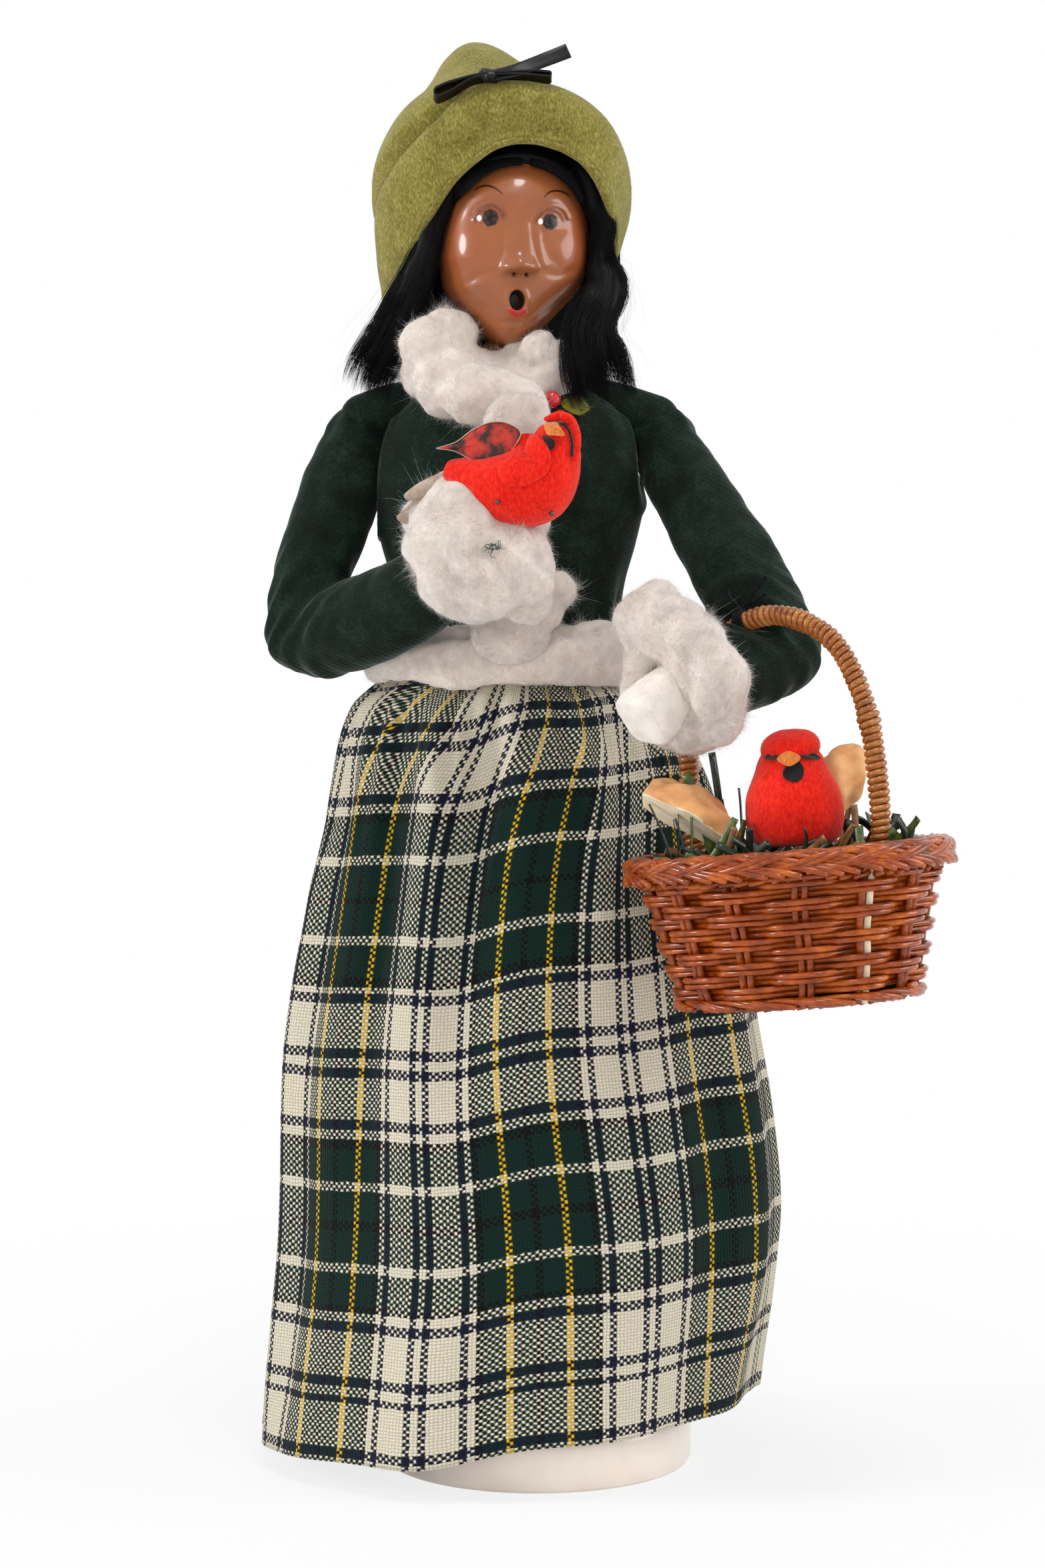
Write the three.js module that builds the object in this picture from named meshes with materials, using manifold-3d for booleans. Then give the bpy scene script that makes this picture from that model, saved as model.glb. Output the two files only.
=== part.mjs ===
// A standing caroler doll: a cast base, a wire and paper body, a modelled head and sewn clothes.
// One hand holds a stuffed bird, the other arm carries a filled wicker basket.
// Millimetres, +Z up, front towards -Y, origin on the floor under the middle of the base.
import * as THREE from "three";
import { mergeVertices } from "three/addons/utils/BufferGeometryUtils.js";
import Module from "manifold-3d";

const wasm = await Module();
wasm.setup();

const SEAT_GAP = 0.3; // between pieces that touch
const RUN_GAP = 0.6; // between pieces that move past each other

// Base and legs
const BASE_RADIUS = 36.5;
const BASE_HEIGHT = 14;
const BASE_SHOULDER = 4.5; // rounding of the top edge
const BASE_CHAMFER = 1.2; // bottom edge
const LEG_WIRE_RADIUS = 1.5;
const LEG_SOCKET_DEPTH = 10;
const LEG_SPREAD_FOOT = 9; // each leg from the middle, at the base
const LEG_SPREAD_HIP = 7;
const BODY_SHIFT = -6.5; // the body leans to the doll's right of the base

// Heights, as a chain of lengths from the floor
const HEM_HEIGHT = 11; // mean height of the skirt's hem
const HEM_TILT = 6; // hem higher on the doll's left, lower on the right
const SKIRT_LENGTH = 180;
const TORSO_LENGTH = 49; // waist to shoulder line
const NECK_LENGTH = 9.5; // shoulder line to the neck's foot
const CHIN_RISE = 10.3; // neck's foot to the chin
const WAIST_Z = HEM_HEIGHT + SKIRT_LENGTH;
const SHOULDER_Z = WAIST_Z + TORSO_LENGTH;
const NECK_Z = SHOULDER_Z + NECK_LENGTH;

// Wound paper core of the body: rows of rise from the waist, half width, half depth
const CORE_ROWS = [
  [-20, 16.5, 12.5],
  [0, 18, 14],
  [33, 19, 14.2],
  [52, 16, 11.5],
  [57, 9, 8],
];
const CORE_SEAM = 0.5; // room round the core

// Skirt: rows of share of the drop, half width, half depth, middle
const SKIRT_WALL = 1.3;
const SKIRT_FOLDS = 9;
const SKIRT_FOLD_DEPTH = 2.6;
const SKIRT_TOP_EASE = 2.6; // waistband and room between the core and the skirt
const SKIRT_ROWS = [
  [0.03, 26.8, 21.5, 0],
  [0.075, 36, 27, 0],
  [0.18, 43.5, 29.5, 1.8],
  [0.3, 48, 31, 2.4],
  [0.5, 54.5, 36.5, 2.8],
  [0.75, 58, 43, 4.5],
  [1, 58, 46.5, -0.5],
];
const WAISTBAND_HEIGHT = 7;

// Jacket: rows of rise from the waist, half width, half depth
const JACKET_ROWS = [
  [-7, 26, 21],
  [2, 25.3, 20.5],
  [12, 26, 20.3],
  [24, 29.5, 21.5],
  [37, 31.5, 22],
  [49, 28.5, 20],
  [56, 22, 16],
  [61, 14.5, 12],
];
const COLLAR_HALF = [6.9, 9.6]; // half thickness, half height
const HEM_FUR_HALF = [3, 6.8];
const FRONT_FUR_HALF = [6.5, 3.6];
const FRONT_FUR_X = 3.6; // strip to the doll's left of the body's middle
const FRONT_FUR_RISES = [7.5, 20, 33, 44, 50]; // its line, from the waist up

// Arms
const SHOULDER_SPAN = 34.5; // each shoulder from the body's middle
const SHOULDER_RADIUS = 10.2;
const ELBOW_RADIUS = 8.4;
const SLEEVE_SWELL = 1; // fullness of the upper sleeve
const WRIST_RADIUS = 6.3;
const ARM_WIRE_RADIUS = 1.1;
const RIGHT_ELBOW = new THREE.Vector3(-12.5, -9, -46); // from the shoulder
const RIGHT_WRIST = new THREE.Vector3(31, -31, 15.5); // from the elbow
const LEFT_ELBOW = new THREE.Vector3(25.5, -42.5, -49);
const LEFT_WRIST = new THREE.Vector3(-22, -19, -5.5);
const SHOULDER_LIFT = 30; // degrees that an arm swings forward
const RIGHT_ELBOW_BEND = [-25, 5]; // degrees, straighter and tighter
const LEFT_ELBOW_BEND = [-20, 1];
const HAND_LENGTH = 18;
const HAND_HALF = [7.2, 5.8];
const CUFF_HALF = [5.2, 11]; // half thickness, half length
const CUFF_SHIFT = { "-1": 11, 1: 4 }; // middle of the ring past the right and left wrist

// Head: rows of height from its middle, half width, front, back
const HEAD_ROWS = [
  [21, 8.5, 8, 9.5],
  [16, 13.3, 12.8, 14],
  [9, 16.5, 16.4, 18],
  [2, 17.5, 17.8, 19],
  [-5, 17.2, 18.2, 18],
  [-11, 15.7, 18, 15],
  [-16, 13, 17, 11.5],
  [-20, 9, 15, 8],
  [-22.6, 4.5, 11.5, 4],
];
const HEAD_TOP = 23.3;
const HEAD_CHIN = -23.5;
const HEAD_Z = NECK_Z + CHIN_RISE - HEAD_CHIN;
const HEAD_SHIFT = new THREE.Vector3(1, -1, 0);
const HEAD_ROLL = THREE.MathUtils.degToRad(4);
const HEAD_YAW = THREE.MathUtils.degToRad(8);
const NECK_RADIUS = 6.5;
const CHIN_ROOM = 18.6; // radius round the neck that the chin and jaw sweep
const NECK_WIRE_RADIUS = 1.5;
const NECK_WIRE_SOCKET = 12; // depth in the body and in the head
const HAIR_THICKNESS = 2.6;
const FACE_HALF = [18.2, 20.5]; // opening in the hair
// Locks of hair from the temple down: points from the head's middle and the half width there
const RIGHT_LOCK_ROWS = [
  [-19, -10, 9.5, 4.5],
  [-21.5, -11, -3, 6],
  [-25, -12, -17, 8.5],
  [-31.5, -11, -27, 9.5],
];
const LEFT_LOCK_ROWS = [
  [19, -10, 9.5, 4.5],
  [21, -12, -3, 6],
  [20.5, -17, -15, 8.8],
  [15, -25.5, -26.5, 8.4],
];
const LOCK_THICKNESS = { "-1": 4.4, 1: 4 };

// Felt hat
const FELT = 2.4;
const CROWN_HALF = [25.4, 28];
const CROWN_BULGE = 2.2;
const CROWN_TILT = THREE.MathUtils.degToRad(50);
const CROWN_MIDDLE = new THREE.Vector3(-1.6, 4, 1.5);
const CROWN_BEND = new THREE.Vector3(-1, 11, 27);
const CROWN_PEAK = new THREE.Vector3(-11, 12, 47.5);
const BRIM_REACH = [-0.04, 0.4]; // shares of the crown's rise
const BRIM_HALF_SWEEP = THREE.MathUtils.degToRad(128);
const BRIM_THICKNESS = 2.7;
const BRIM_FLARE = 1.5;
const BOW_TURN = THREE.MathUtils.degToRad(-101);
const RIBBON_WIDTH = 5;
const RIBBON_THICKNESS = 0.6;

// Basket, in its own frame: X along the handle's span, Z up from its bottom
const BASKET_BOTTOM = [26, 22];
const BASKET_RIM = [33.4, 28.6];
const BASKET_HEIGHT = 31; // bottom to the rim's middle
const BASKET_FLOOR = 2.4;
const RIM_RADIUS = 2.7;
const STAKES = 13; // odd, so the weaver changes side every round
const STAKE_RADIUS = 1;
const WEAVER_TURNS = 8;
const WEAVER_HALF = [0.75, 1.1]; // half thickness, half height
const BASKET_TILT = THREE.MathUtils.degToRad(-6); // right side up
const HANDLE_RADIUS = 1.1;
const HANDLE_SPAN = 24.6; // each leg from the middle
const HANDLE_RISE = 85.5; // bottom of the basket to the top of the handle
const HANDLE_FOOT = 19; // height of the legs' ends
const WRAP_TURNS = 24;
const WRAP_HALF = [0.4, 2.1]; // half thickness, half width
const TIE_RADIUS = 0.4;
const BASKET_YAW = THREE.MathUtils.degToRad(-39); // its right end is turned to the front
const HANG_SHARE = 0.36; // where the handle crosses the left forearm
const HANG_OFFSET = 6.5; // basket's middle from there, along the handle's span
const HANG_DENT = 1.8; // how far the handle presses into the sleeve

// Stuffed birds
const HAND_BIRD = new THREE.Vector3(18.5, -14, 18.5); // from the right wrist
const HAND_BIRD_SPINE = [
  [-15.5, 2.5, 2, 2.8],
  [-8, 1, 0.2, 7.6],
  [0, 0, 0, 9.4],
  [6.4, 0, 1, 5.5],
];
const HAND_BIRD_HEAD = new THREE.Vector3(3.4, 0, 7);
const HAND_BIRD_HEAD_RADIUS = 7.4;
const BASKET_BIRD_SEAT = [6, -4.5];
const BASKET_BIRD_HEIGHT = 22.5;
const BASKET_BIRD_RADIUS = 10.4;

const UP = new THREE.Vector3(0, 0, 1);
const ACROSS = new THREE.Vector3(1, 0, 0);
const FULL = 2 * Math.PI;

const colours = {
  cast: 0xf2eee2,
  steel: 0x8a8d90,
  paper: 0xd9cdb4,
  velvet: 0x12352a,
  fur: 0xf4f3ef,
  plaid: 0x31463b,
  clay: 0x7a4526,
  hair: 0x0d0c0d,
  felt: 0x77803a,
  ribbon: 0x101012,
  knit: 0xf1efea,
  red: 0xc3161b,
  darkRed: 0x6f1716,
  orange: 0xd9772e,
  kraft: 0x8d7358,
  wicker: 0x8a4a1e,
  cane: 0xa15a24,
  green: 0x37502c,
  leaf: 0x8a9330,
  bread: 0xd79a66,
  foam: 0x5b6a3a,
};

function solidOf(geometry) {
  const bare = geometry.index ? geometry.toNonIndexed() : geometry.clone();
  bare.deleteAttribute("normal");
  bare.deleteAttribute("uv");
  const merged = mergeVertices(bare, 1e-4);
  const index = merged.index.array;
  const faces = [];
  for (let i = 0; i < index.length; i += 3) {
    const [a, b, c] = [index[i], index[i + 1], index[i + 2]];
    if (a !== b && b !== c && c !== a) {
      faces.push(a, b, c);
    }
  }
  return new wasm.Manifold(new wasm.Mesh({
    numProp: 3,
    vertProperties: new Float32Array(merged.attributes.position.array),
    triVerts: new Uint32Array(faces),
  }));
}

function geometryOf(solid) {
  const mesh = solid.getMesh();
  const geometry = new THREE.BufferGeometry();
  geometry.setAttribute("position", new THREE.BufferAttribute(mesh.vertProperties, 3));
  geometry.setIndex(new THREE.BufferAttribute(mesh.triVerts, 1));
  const flat = geometry.toNonIndexed();
  flat.computeVertexNormals();
  return flat;
}

function cut(geometry, ...tools) {
  const left = tools.reduce((solid, tool) => solid.subtract(solidOf(tool)), solidOf(geometry));
  return geometryOf(left);
}

function join(geometry, ...others) {
  return geometryOf(others.reduce((solid, other) => solid.add(solidOf(other)), solidOf(geometry)));
}

function middleOf(points) {
  const sum = new THREE.Vector3();
  points.forEach((point) => sum.add(point));
  return sum.divideScalar(points.length);
}

// A closed surface through rings of points, capped at its ends or closed on itself.
function loft(rings, { closed = false, tips = [] } = {}) {
  const count = rings[0].length;
  const points = rings.flat();
  const faces = [];
  const spans = closed ? rings.length : rings.length - 1;
  for (let r = 0; r < spans; r += 1) {
    const near = r * count;
    const far = ((r + 1) % rings.length) * count;
    for (let i = 0; i < count; i += 1) {
      const next = (i + 1) % count;
      faces.push(near + i, near + next, far + next, near + i, far + next, far + i);
    }
  }
  if (!closed) {
    const last = (rings.length - 1) * count;
    const start = points.push(tips[0] ?? middleOf(rings[0])) - 1;
    const end = points.push(tips[1] ?? middleOf(rings[rings.length - 1])) - 1;
    for (let i = 0; i < count; i += 1) {
      const next = (i + 1) % count;
      faces.push(start, next, i, end, last + i, last + next);
    }
  }
  let volume = 0;
  for (let i = 0; i < faces.length; i += 3) {
    const [a, b, c] = [points[faces[i]], points[faces[i + 1]], points[faces[i + 2]]];
    volume += a.dot(b.clone().cross(c));
  }
  if (volume < 0) {
    faces.reverse();
  }
  const geometry = new THREE.BufferGeometry();
  geometry.setAttribute("position", new THREE.Float32BufferAttribute(points.flatMap((p) => p.toArray()), 3));
  geometry.setIndex(faces);
  geometry.computeVertexNormals();
  return geometry;
}

function oval(halfWidth, halfHeight, sides) {
  return Array.from({ length: sides }, (_, i) => {
    const turn = (i / sides) * FULL;
    return [halfWidth * Math.cos(turn), halfHeight * Math.sin(turn)];
  });
}

// A section carried along a curve, kept upright to a given direction.
function sweep(curve, steps, sectionAt, { closed = false, up = UP, tips = [] } = {}) {
  const rings = [];
  for (let i = 0; i <= (closed ? steps - 1 : steps); i += 1) {
    const share = i / steps;
    const at = curve.getPointAt(share);
    const ahead = curve.getTangentAt(share);
    const side = ahead.clone().cross(up).normalize();
    const rise = side.clone().cross(ahead);
    rings.push(sectionAt(share).map(([x, y]) => at.clone().addScaledVector(side, x).addScaledVector(rise, y)));
  }
  return loft(rings, { closed, tips });
}

// Smooth values between the rows of a table whose first column rises.
function rowAt(rows, at) {
  const last = rows.length - 1;
  const k = Math.max(0, Math.min(last - 1, rows.findIndex((row) => row[0] > at) - 1));
  const k0 = at >= rows[last][0] ? last - 1 : k;
  const [low, high] = [rows[k0], rows[k0 + 1]];
  const step = high[0] - low[0];
  const share = Math.max(0, Math.min(1, (at - low[0]) / step));
  const slope = (i, column) => {
    const [a, b] = [rows[Math.max(0, i - 1)], rows[Math.min(last, i + 1)]];
    return ((b[column] - a[column]) / (b[0] - a[0])) * step;
  };
  return low.slice(1).map((value, i) => {
    const [m0, m1] = [slope(k0, i + 1), slope(k0 + 1, i + 1)];
    const [s2, s3] = [share ** 2, share ** 3];
    return (2 * s3 - 3 * s2 + 1) * value + (s3 - 2 * s2 + share) * m0
      + (3 * s2 - 2 * s3) * high[i + 1] + (s3 - s2) * m1;
  });
}

// Upright oval rings through rows of height, half width and half depth.
function stackRings(rows, sides, grow = 0) {
  return rows.map(([z, halfWidth, halfDepth]) => oval(halfWidth + grow, halfDepth + grow, sides)
    .map(([x, y]) => new THREE.Vector3(x, y, z)));
}

// Moves a shape drawn up +Y from the origin to start at one point and head for another.
function aim(geometry, from, to) {
  const turn = new THREE.Quaternion().setFromUnitVectors(
    new THREE.Vector3(0, 1, 0), to.clone().sub(from).normalize());
  return geometry.clone().applyQuaternion(turn).translate(from.x, from.y, from.z);
}

function rod(from, to, radius, sides = 7) {
  const length = from.distanceTo(to);
  return aim(new THREE.CylinderGeometry(radius, radius, length, sides).translate(0, length / 2, 0), from, to);
}

function ball(at, radius, [width, height] = [14, 9]) {
  return new THREE.SphereGeometry(radius, width, height).translate(at.x, at.y, at.z);
}

// Uneven swelling of fur round a full turn.
function lump(turn, phase) {
  return 1 + 0.08 * Math.sin(5 * turn + phase) + 0.05 * Math.sin(8 * turn + 2.3 * phase);
}

// A soft ring of fur round Z, flat on its inside where it lies on an oval bore; it may flare upwards.
function furRing([boreX, boreY], [thick, high], steps, phase, sides = 8, flare = 0) {
  const rings = [];
  for (let i = 0; i < steps; i += 1) {
    const turn = (i / steps) * FULL;
    const swell = thick * lump(turn, phase);
    rings.push(oval(swell, high * lump(turn, phase + 2), sides).map(([out, z]) => {
      const rise = Math.max(0, swell * 0.75 + out);
      return new THREE.Vector3(
        (boreX + rise) * Math.cos(turn), (boreY + rise) * Math.sin(turn), z + flare * (rise - thick));
    }));
  }
  return loft(rings, { closed: true });
}

// A stuffed form: a smooth spine of points with a radius at each.
function stuffed(spine, grow = 0, sides = 12, steps = 9) {
  const curve = new THREE.CatmullRomCurve3(spine.map(([x, y, z]) => new THREE.Vector3(x, y, z)));
  const radii = spine.map((row, i) => [i / (spine.length - 1), row[3]]);
  const rings = [];
  for (let i = 0; i <= steps; i += 1) {
    const share = i / steps;
    const at = curve.getPoint(share);
    const ahead = curve.getTangent(share);
    const side = ahead.clone().cross(new THREE.Vector3(0, 1, 0)).normalize();
    const rise = side.clone().cross(ahead);
    const [radius] = rowAt(radii, share);
    rings.push(oval(radius + grow, radius + grow, sides)
      .map(([x, y]) => at.clone().addScaledVector(side, x).addScaledVector(rise, y)));
  }
  const first = spine[0][3] * 0.5 + grow;
  const last = spine[spine.length - 1][3] * 0.5 + grow;
  return loft(rings, { tips: [
    curve.getPoint(0).addScaledVector(curve.getTangent(0), -first),
    curve.getPoint(1).addScaledVector(curve.getTangent(1), last),
  ] });
}

// A thin flap cut from a sheet, drawn as half of a leaf outline on each side of +X.
function flap(length, width, thickness) {
  const outline = new THREE.Shape();
  outline.moveTo(0, 0);
  outline.bezierCurveTo(length * 0.2, width * 0.75, length * 0.7, width * 0.7, length, 0);
  outline.bezierCurveTo(length * 0.7, -width * 0.7, length * 0.2, -width * 0.75, 0, 0);
  return new THREE.ExtrudeGeometry(outline, { depth: thickness, bevelEnabled: false, curveSegments: 7 });
}

function place(geometry, [rx, ry, rz], [x, y, z]) {
  const turn = new THREE.Euler(...[rx, ry, rz].map(THREE.MathUtils.degToRad), "XYZ");
  return geometry.clone().applyQuaternion(new THREE.Quaternion().setFromEuler(turn)).translate(x, y, z);
}

function addTo(group, name, geometry, colour, roughness = 0.8, metalness = 0) {
  const material = new THREE.MeshStandardMaterial({ color: colour, roughness, metalness });
  const mesh = new THREE.Mesh(geometryOf(solidOf(geometry)), material);
  mesh.name = name;
  group.add(mesh);
  return mesh;
}

const doll = new THREE.Group();
doll.name = "caroler_doll";
const figure = new THREE.Group();
figure.name = "figure";
figure.position.set(BODY_SHIFT, 0, 0);
doll.add(figure);

// Base and legs
const foot = (side) => new THREE.Vector3(side * LEG_SPREAD_FOOT, 0, BASE_HEIGHT);
const hip = (side) => new THREE.Vector3(BODY_SHIFT + side * LEG_SPREAD_HIP, 0, WAIST_Z + CORE_ROWS[0][0]);
const legLine = (side, below, above) => {
  const ahead = hip(side).sub(foot(side)).normalize();
  return [foot(side).addScaledVector(ahead, -below), hip(side).addScaledVector(ahead, above)];
};

function baseShape() {
  const profile = new THREE.Path();
  profile.moveTo(0, 0);
  profile.lineTo(BASE_RADIUS - BASE_CHAMFER, 0);
  profile.lineTo(BASE_RADIUS, BASE_CHAMFER);
  profile.lineTo(BASE_RADIUS, BASE_HEIGHT - BASE_SHOULDER);
  profile.absarc(BASE_RADIUS - BASE_SHOULDER, BASE_HEIGHT - BASE_SHOULDER, BASE_SHOULDER,
    0, Math.PI / 2, false);
  profile.lineTo(0, BASE_HEIGHT);
  const body = new THREE.LatheGeometry(profile.getPoints(2), 28).rotateX(Math.PI / 2);
  const sockets = [-1, 1].map((side) => rod(
    ...legLine(side, LEG_SOCKET_DEPTH, 0), LEG_WIRE_RADIUS + SEAT_GAP));
  return cut(body, ...sockets);
}

function coreSolid(grow = 0) {
  return loft(stackRings(CORE_ROWS.map(([rise, ...half]) => [WAIST_Z + rise, ...half]), 16, grow));
}

const shoulderY = NECK_WIRE_RADIUS + ARM_WIRE_RADIUS + 2 * SEAT_GAP; // behind the neck wire
const shoulder = (side) => new THREE.Vector3(side * SHOULDER_SPAN, shoulderY, SHOULDER_Z);
const neckFoot = new THREE.Vector3(0, 0, NECK_Z);
const coreTop = WAIST_Z + CORE_ROWS[CORE_ROWS.length - 1][0];
const neckWireEnds = [
  new THREE.Vector3(0, 0, coreTop - NECK_WIRE_SOCKET),
  new THREE.Vector3(0, 0, NECK_Z + CHIN_RISE + NECK_WIRE_SOCKET),
];

function shoulderWire(grow = 0) {
  const reach = SHOULDER_SPAN + SHOULDER_RADIUS * 0.35 + grow;
  return rod(new THREE.Vector3(-reach, shoulderY, SHOULDER_Z), new THREE.Vector3(reach, shoulderY, SHOULDER_Z),
    ARM_WIRE_RADIUS + grow);
}

function coreShape() {
  const legs = [-1, 1].map((side) => rod(...legLine(side, 0, LEG_SOCKET_DEPTH), LEG_WIRE_RADIUS + SEAT_GAP)
    .translate(-BODY_SHIFT, 0, 0));
  const neck = rod(neckWireEnds[0].clone().setZ(neckWireEnds[0].z - SEAT_GAP), neckFoot,
    NECK_WIRE_RADIUS + SEAT_GAP);
  return cut(coreSolid(), shoulderWire(SEAT_GAP), neck, ...legs);
}

// Skirt
const coreWaist = rowAt(CORE_ROWS, 0);
const skirtTop = coreWaist.map((half) => half + CORE_SEAM + SKIRT_TOP_EASE + SKIRT_WALL);
const skirtTable = [[0, ...skirtTop, 0], ...SKIRT_ROWS];

function skirtPoint(turn, drop, inset) {
  const [halfWidth, halfDepth, middle] = rowAt(skirtTable, drop);
  const wave = 0.62 * Math.sin(SKIRT_FOLDS * turn + 0.6) + 0.38 * Math.sin((SKIRT_FOLDS + 4) * turn + 2.1);
  const fold = SKIRT_FOLD_DEPTH * wave * Math.min(1, drop * 5) * (0.55 + 0.45 * drop);
  const hem = HEM_HEIGHT + HEM_TILT * Math.cos(turn);
  return new THREE.Vector3(
    middle + (halfWidth + fold - inset) * Math.cos(turn),
    (halfDepth + fold - inset) * Math.sin(turn),
    THREE.MathUtils.lerp(WAIST_Z, hem, drop));
}

const skirtDrops = [0, 0.03, 0.075, 0.14, 0.23, 0.34, 0.46, 0.6, 0.74, 0.87, 1];

function skirtRing(drop, inset, around = 40) {
  return Array.from({ length: around }, (_, i) => skirtPoint((i / around) * FULL, drop, inset));
}

function skirtShape() {
  const outer = skirtDrops.map((drop) => skirtRing(drop, 0));
  const inner = skirtDrops.map((drop) => skirtRing(drop, SKIRT_WALL)).reverse();
  return loft([...outer, ...inner], { closed: true });
}

// The gathered top of the skirt with room round it, to shape what lies on it.
function skirtRoom(room, around) {
  return loft(skirtDrops.slice(0, 5).map((drop) => skirtRing(drop, -room, around))).translate(0, 0, room);
}

function waistbandShape() {
  const grow = CORE_SEAM + SKIRT_TOP_EASE - SEAT_GAP;
  const rows = [WAIST_Z - WAISTBAND_HEIGHT, WAIST_Z + SEAT_GAP].map((z) => [z, ...coreWaist]);
  return cut(loft(stackRings(rows, 24, grow)), coreSolid(SEAT_GAP));
}

// Arms
const elbow = { "-1": shoulder(-1).add(RIGHT_ELBOW), 1: shoulder(1).add(LEFT_ELBOW) };
const wrist = { "-1": elbow[-1].clone().add(RIGHT_WRIST), 1: elbow[1].clone().add(LEFT_WRIST) };
const forearmAhead = (side) => wrist[side].clone().sub(elbow[side]).normalize();
const upperAhead = (side) => elbow[side].clone().sub(shoulder(side)).normalize();
const bendAxis = (side) => upperAhead(side).cross(forearmAhead(side)).normalize();
const bendRange = { "-1": RIGHT_ELBOW_BEND, 1: LEFT_ELBOW_BEND };

function turnedAbout(geometry, point, axis, degrees) {
  const turn = new THREE.Quaternion().setFromAxisAngle(axis, THREE.MathUtils.degToRad(degrees));
  return geometry.clone().translate(-point.x, -point.y, -point.z).applyQuaternion(turn)
    .translate(point.x, point.y, point.z);
}

// A soft tube with a round end at its start, tapering to a flat end.
function limb(from, to, [startRadius, endRadius, swell]) {
  const length = from.distanceTo(to);
  const rows = 4;
  const profile = [];
  for (let i = 0; i < rows; i += 1) {
    const turn = (i / rows) * (Math.PI / 2);
    profile.push(new THREE.Vector2(startRadius * Math.sin(turn), -startRadius * Math.cos(turn)));
  }
  for (let i = 0; i <= rows; i += 1) {
    const share = i / rows;
    const radius = THREE.MathUtils.lerp(startRadius, endRadius, share) + swell * Math.sin(Math.PI * share);
    profile.push(new THREE.Vector2(radius, share * length));
  }
  profile.push(new THREE.Vector2(0, length));
  return aim(new THREE.LatheGeometry(profile, 12), from, to);
}

const FOREARM = [ELBOW_RADIUS, WRIST_RADIUS, 0.5];
const UPPER_ARM = [SHOULDER_RADIUS, ELBOW_RADIUS + 1, SLEEVE_SWELL];
const forearmSolid = (side) => limb(elbow[side], wrist[side], FOREARM);
const sleeveEnd = (side) => elbow[side].clone().addScaledVector(upperAhead(side), -ELBOW_RADIUS * 0.3);
const upperArmSolid = (side) => limb(shoulder(side), sleeveEnd(side), UPPER_ARM);

// The room that a limb needs as it turns about its round end: the end itself and the tube at each angle.
function limbRoom(from, to, [startRadius, endRadius, swell], axis, degrees) {
  const room = RUN_GAP + swell;
  const length = from.distanceTo(to);
  const tube = aim(new THREE.CylinderGeometry(endRadius + room, startRadius + room, length, 10)
    .translate(0, length / 2, 0), from, to);
  return [ball(from, startRadius + RUN_GAP, [14, 8]),
    ...degrees.map((angle) => turnedAbout(tube, from, axis, angle))];
}

// A straight wire between two points, short of each by a gap.
function armWire(from, to, fromGap, toGap, grow) {
  const ahead = to.clone().sub(from).normalize();
  return rod(from.clone().addScaledVector(ahead, fromGap - grow),
    to.clone().addScaledVector(ahead, grow - toGap), ARM_WIRE_RADIUS + grow);
}

const wireStart = 2 * ARM_WIRE_RADIUS + SEAT_GAP;
const upperWire = (side) => armWire(shoulder(side), elbow[side], wireStart, ELBOW_RADIUS + 2, 0);
const upperBore = (side) => armWire(shoulder(side), elbow[side], wireStart, ELBOW_RADIUS - 1, SEAT_GAP);
const handEnd = (side) => wrist[side].clone().addScaledVector(forearmAhead(side), HAND_LENGTH);
const foreWire = (side, grow = 0) => armWire(elbow[side], handEnd(side), 2, HAND_LENGTH * 0.45, grow);

function upperSleeve(side) {
  const bends = limbRoom(elbow[side], wrist[side], FOREARM, bendAxis(side), [...bendRange[side], 0]);
  return cut(upperArmSolid(side), ...bends, upperBore(side), shoulderWire(SEAT_GAP));
}

function foreSleeve(side) {
  return cut(forearmSolid(side), foreWire(side, SEAT_GAP));
}

function handSolid(side) {
  const ahead = forearmAhead(side);
  const start = wrist[side].clone().addScaledVector(ahead, SEAT_GAP);
  const line = new THREE.LineCurve3(start, handEnd(side));
  const shares = [[0, 0.82], [0.35, 0.95], [0.75, 1], [0.95, 0.86], [1, 0.7]];
  return sweep(line, 5, (share) => {
    const [size] = rowAt(shares, share);
    return oval(HAND_HALF[0] * size, HAND_HALF[1] * size, 10);
  });
}

function cuffSolid(side, grow = 0) {
  const along = forearmAhead(side);
  const middle = wrist[side].clone().addScaledVector(along, CUFF_SHIFT[side]);
  const bore = Math.max(HAND_HALF[0], WRIST_RADIUS + 0.7) + SEAT_GAP;
  const ring = furRing([bore, bore], CUFF_HALF.map((half) => half + grow), 20, side + 2).rotateX(-Math.PI / 2);
  return aim(ring, middle, middle.clone().add(along));
}

function jacketSkin(grow = 0) {
  return loft(stackRings(JACKET_ROWS.map(([rise, ...half]) => [WAIST_Z + rise, ...half]), 24, grow));
}

function jacketShape() {
  const neckHole = rod(new THREE.Vector3(0, 0, SHOULDER_Z), new THREE.Vector3(0, 0, NECK_Z + 10),
    NECK_RADIUS + 1.5, 16);
  const arms = [-1, 1].flatMap((side) => limbRoom(
    shoulder(side), elbow[side], UPPER_ARM, ACROSS, [0, -SHOULDER_LIFT / 2, -SHOULDER_LIFT]));
  return cut(jacketSkin(), coreSolid(CORE_SEAM), skirtRoom(SEAT_GAP + 0.4, 22), neckHole,
    shoulderWire(SEAT_GAP), ...arms);
}

function hemFurShape() {
  const bore = rowAt(JACKET_ROWS, -HEM_FUR_HALF[1]).map((half) => half + SEAT_GAP);
  const ring = furRing(bore, HEM_FUR_HALF, 24, 1.3, 7).translate(0, 0, WAIST_Z - 0.5);
  return cut(ring, skirtRoom(SEAT_GAP + 0.4, 22));
}

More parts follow.
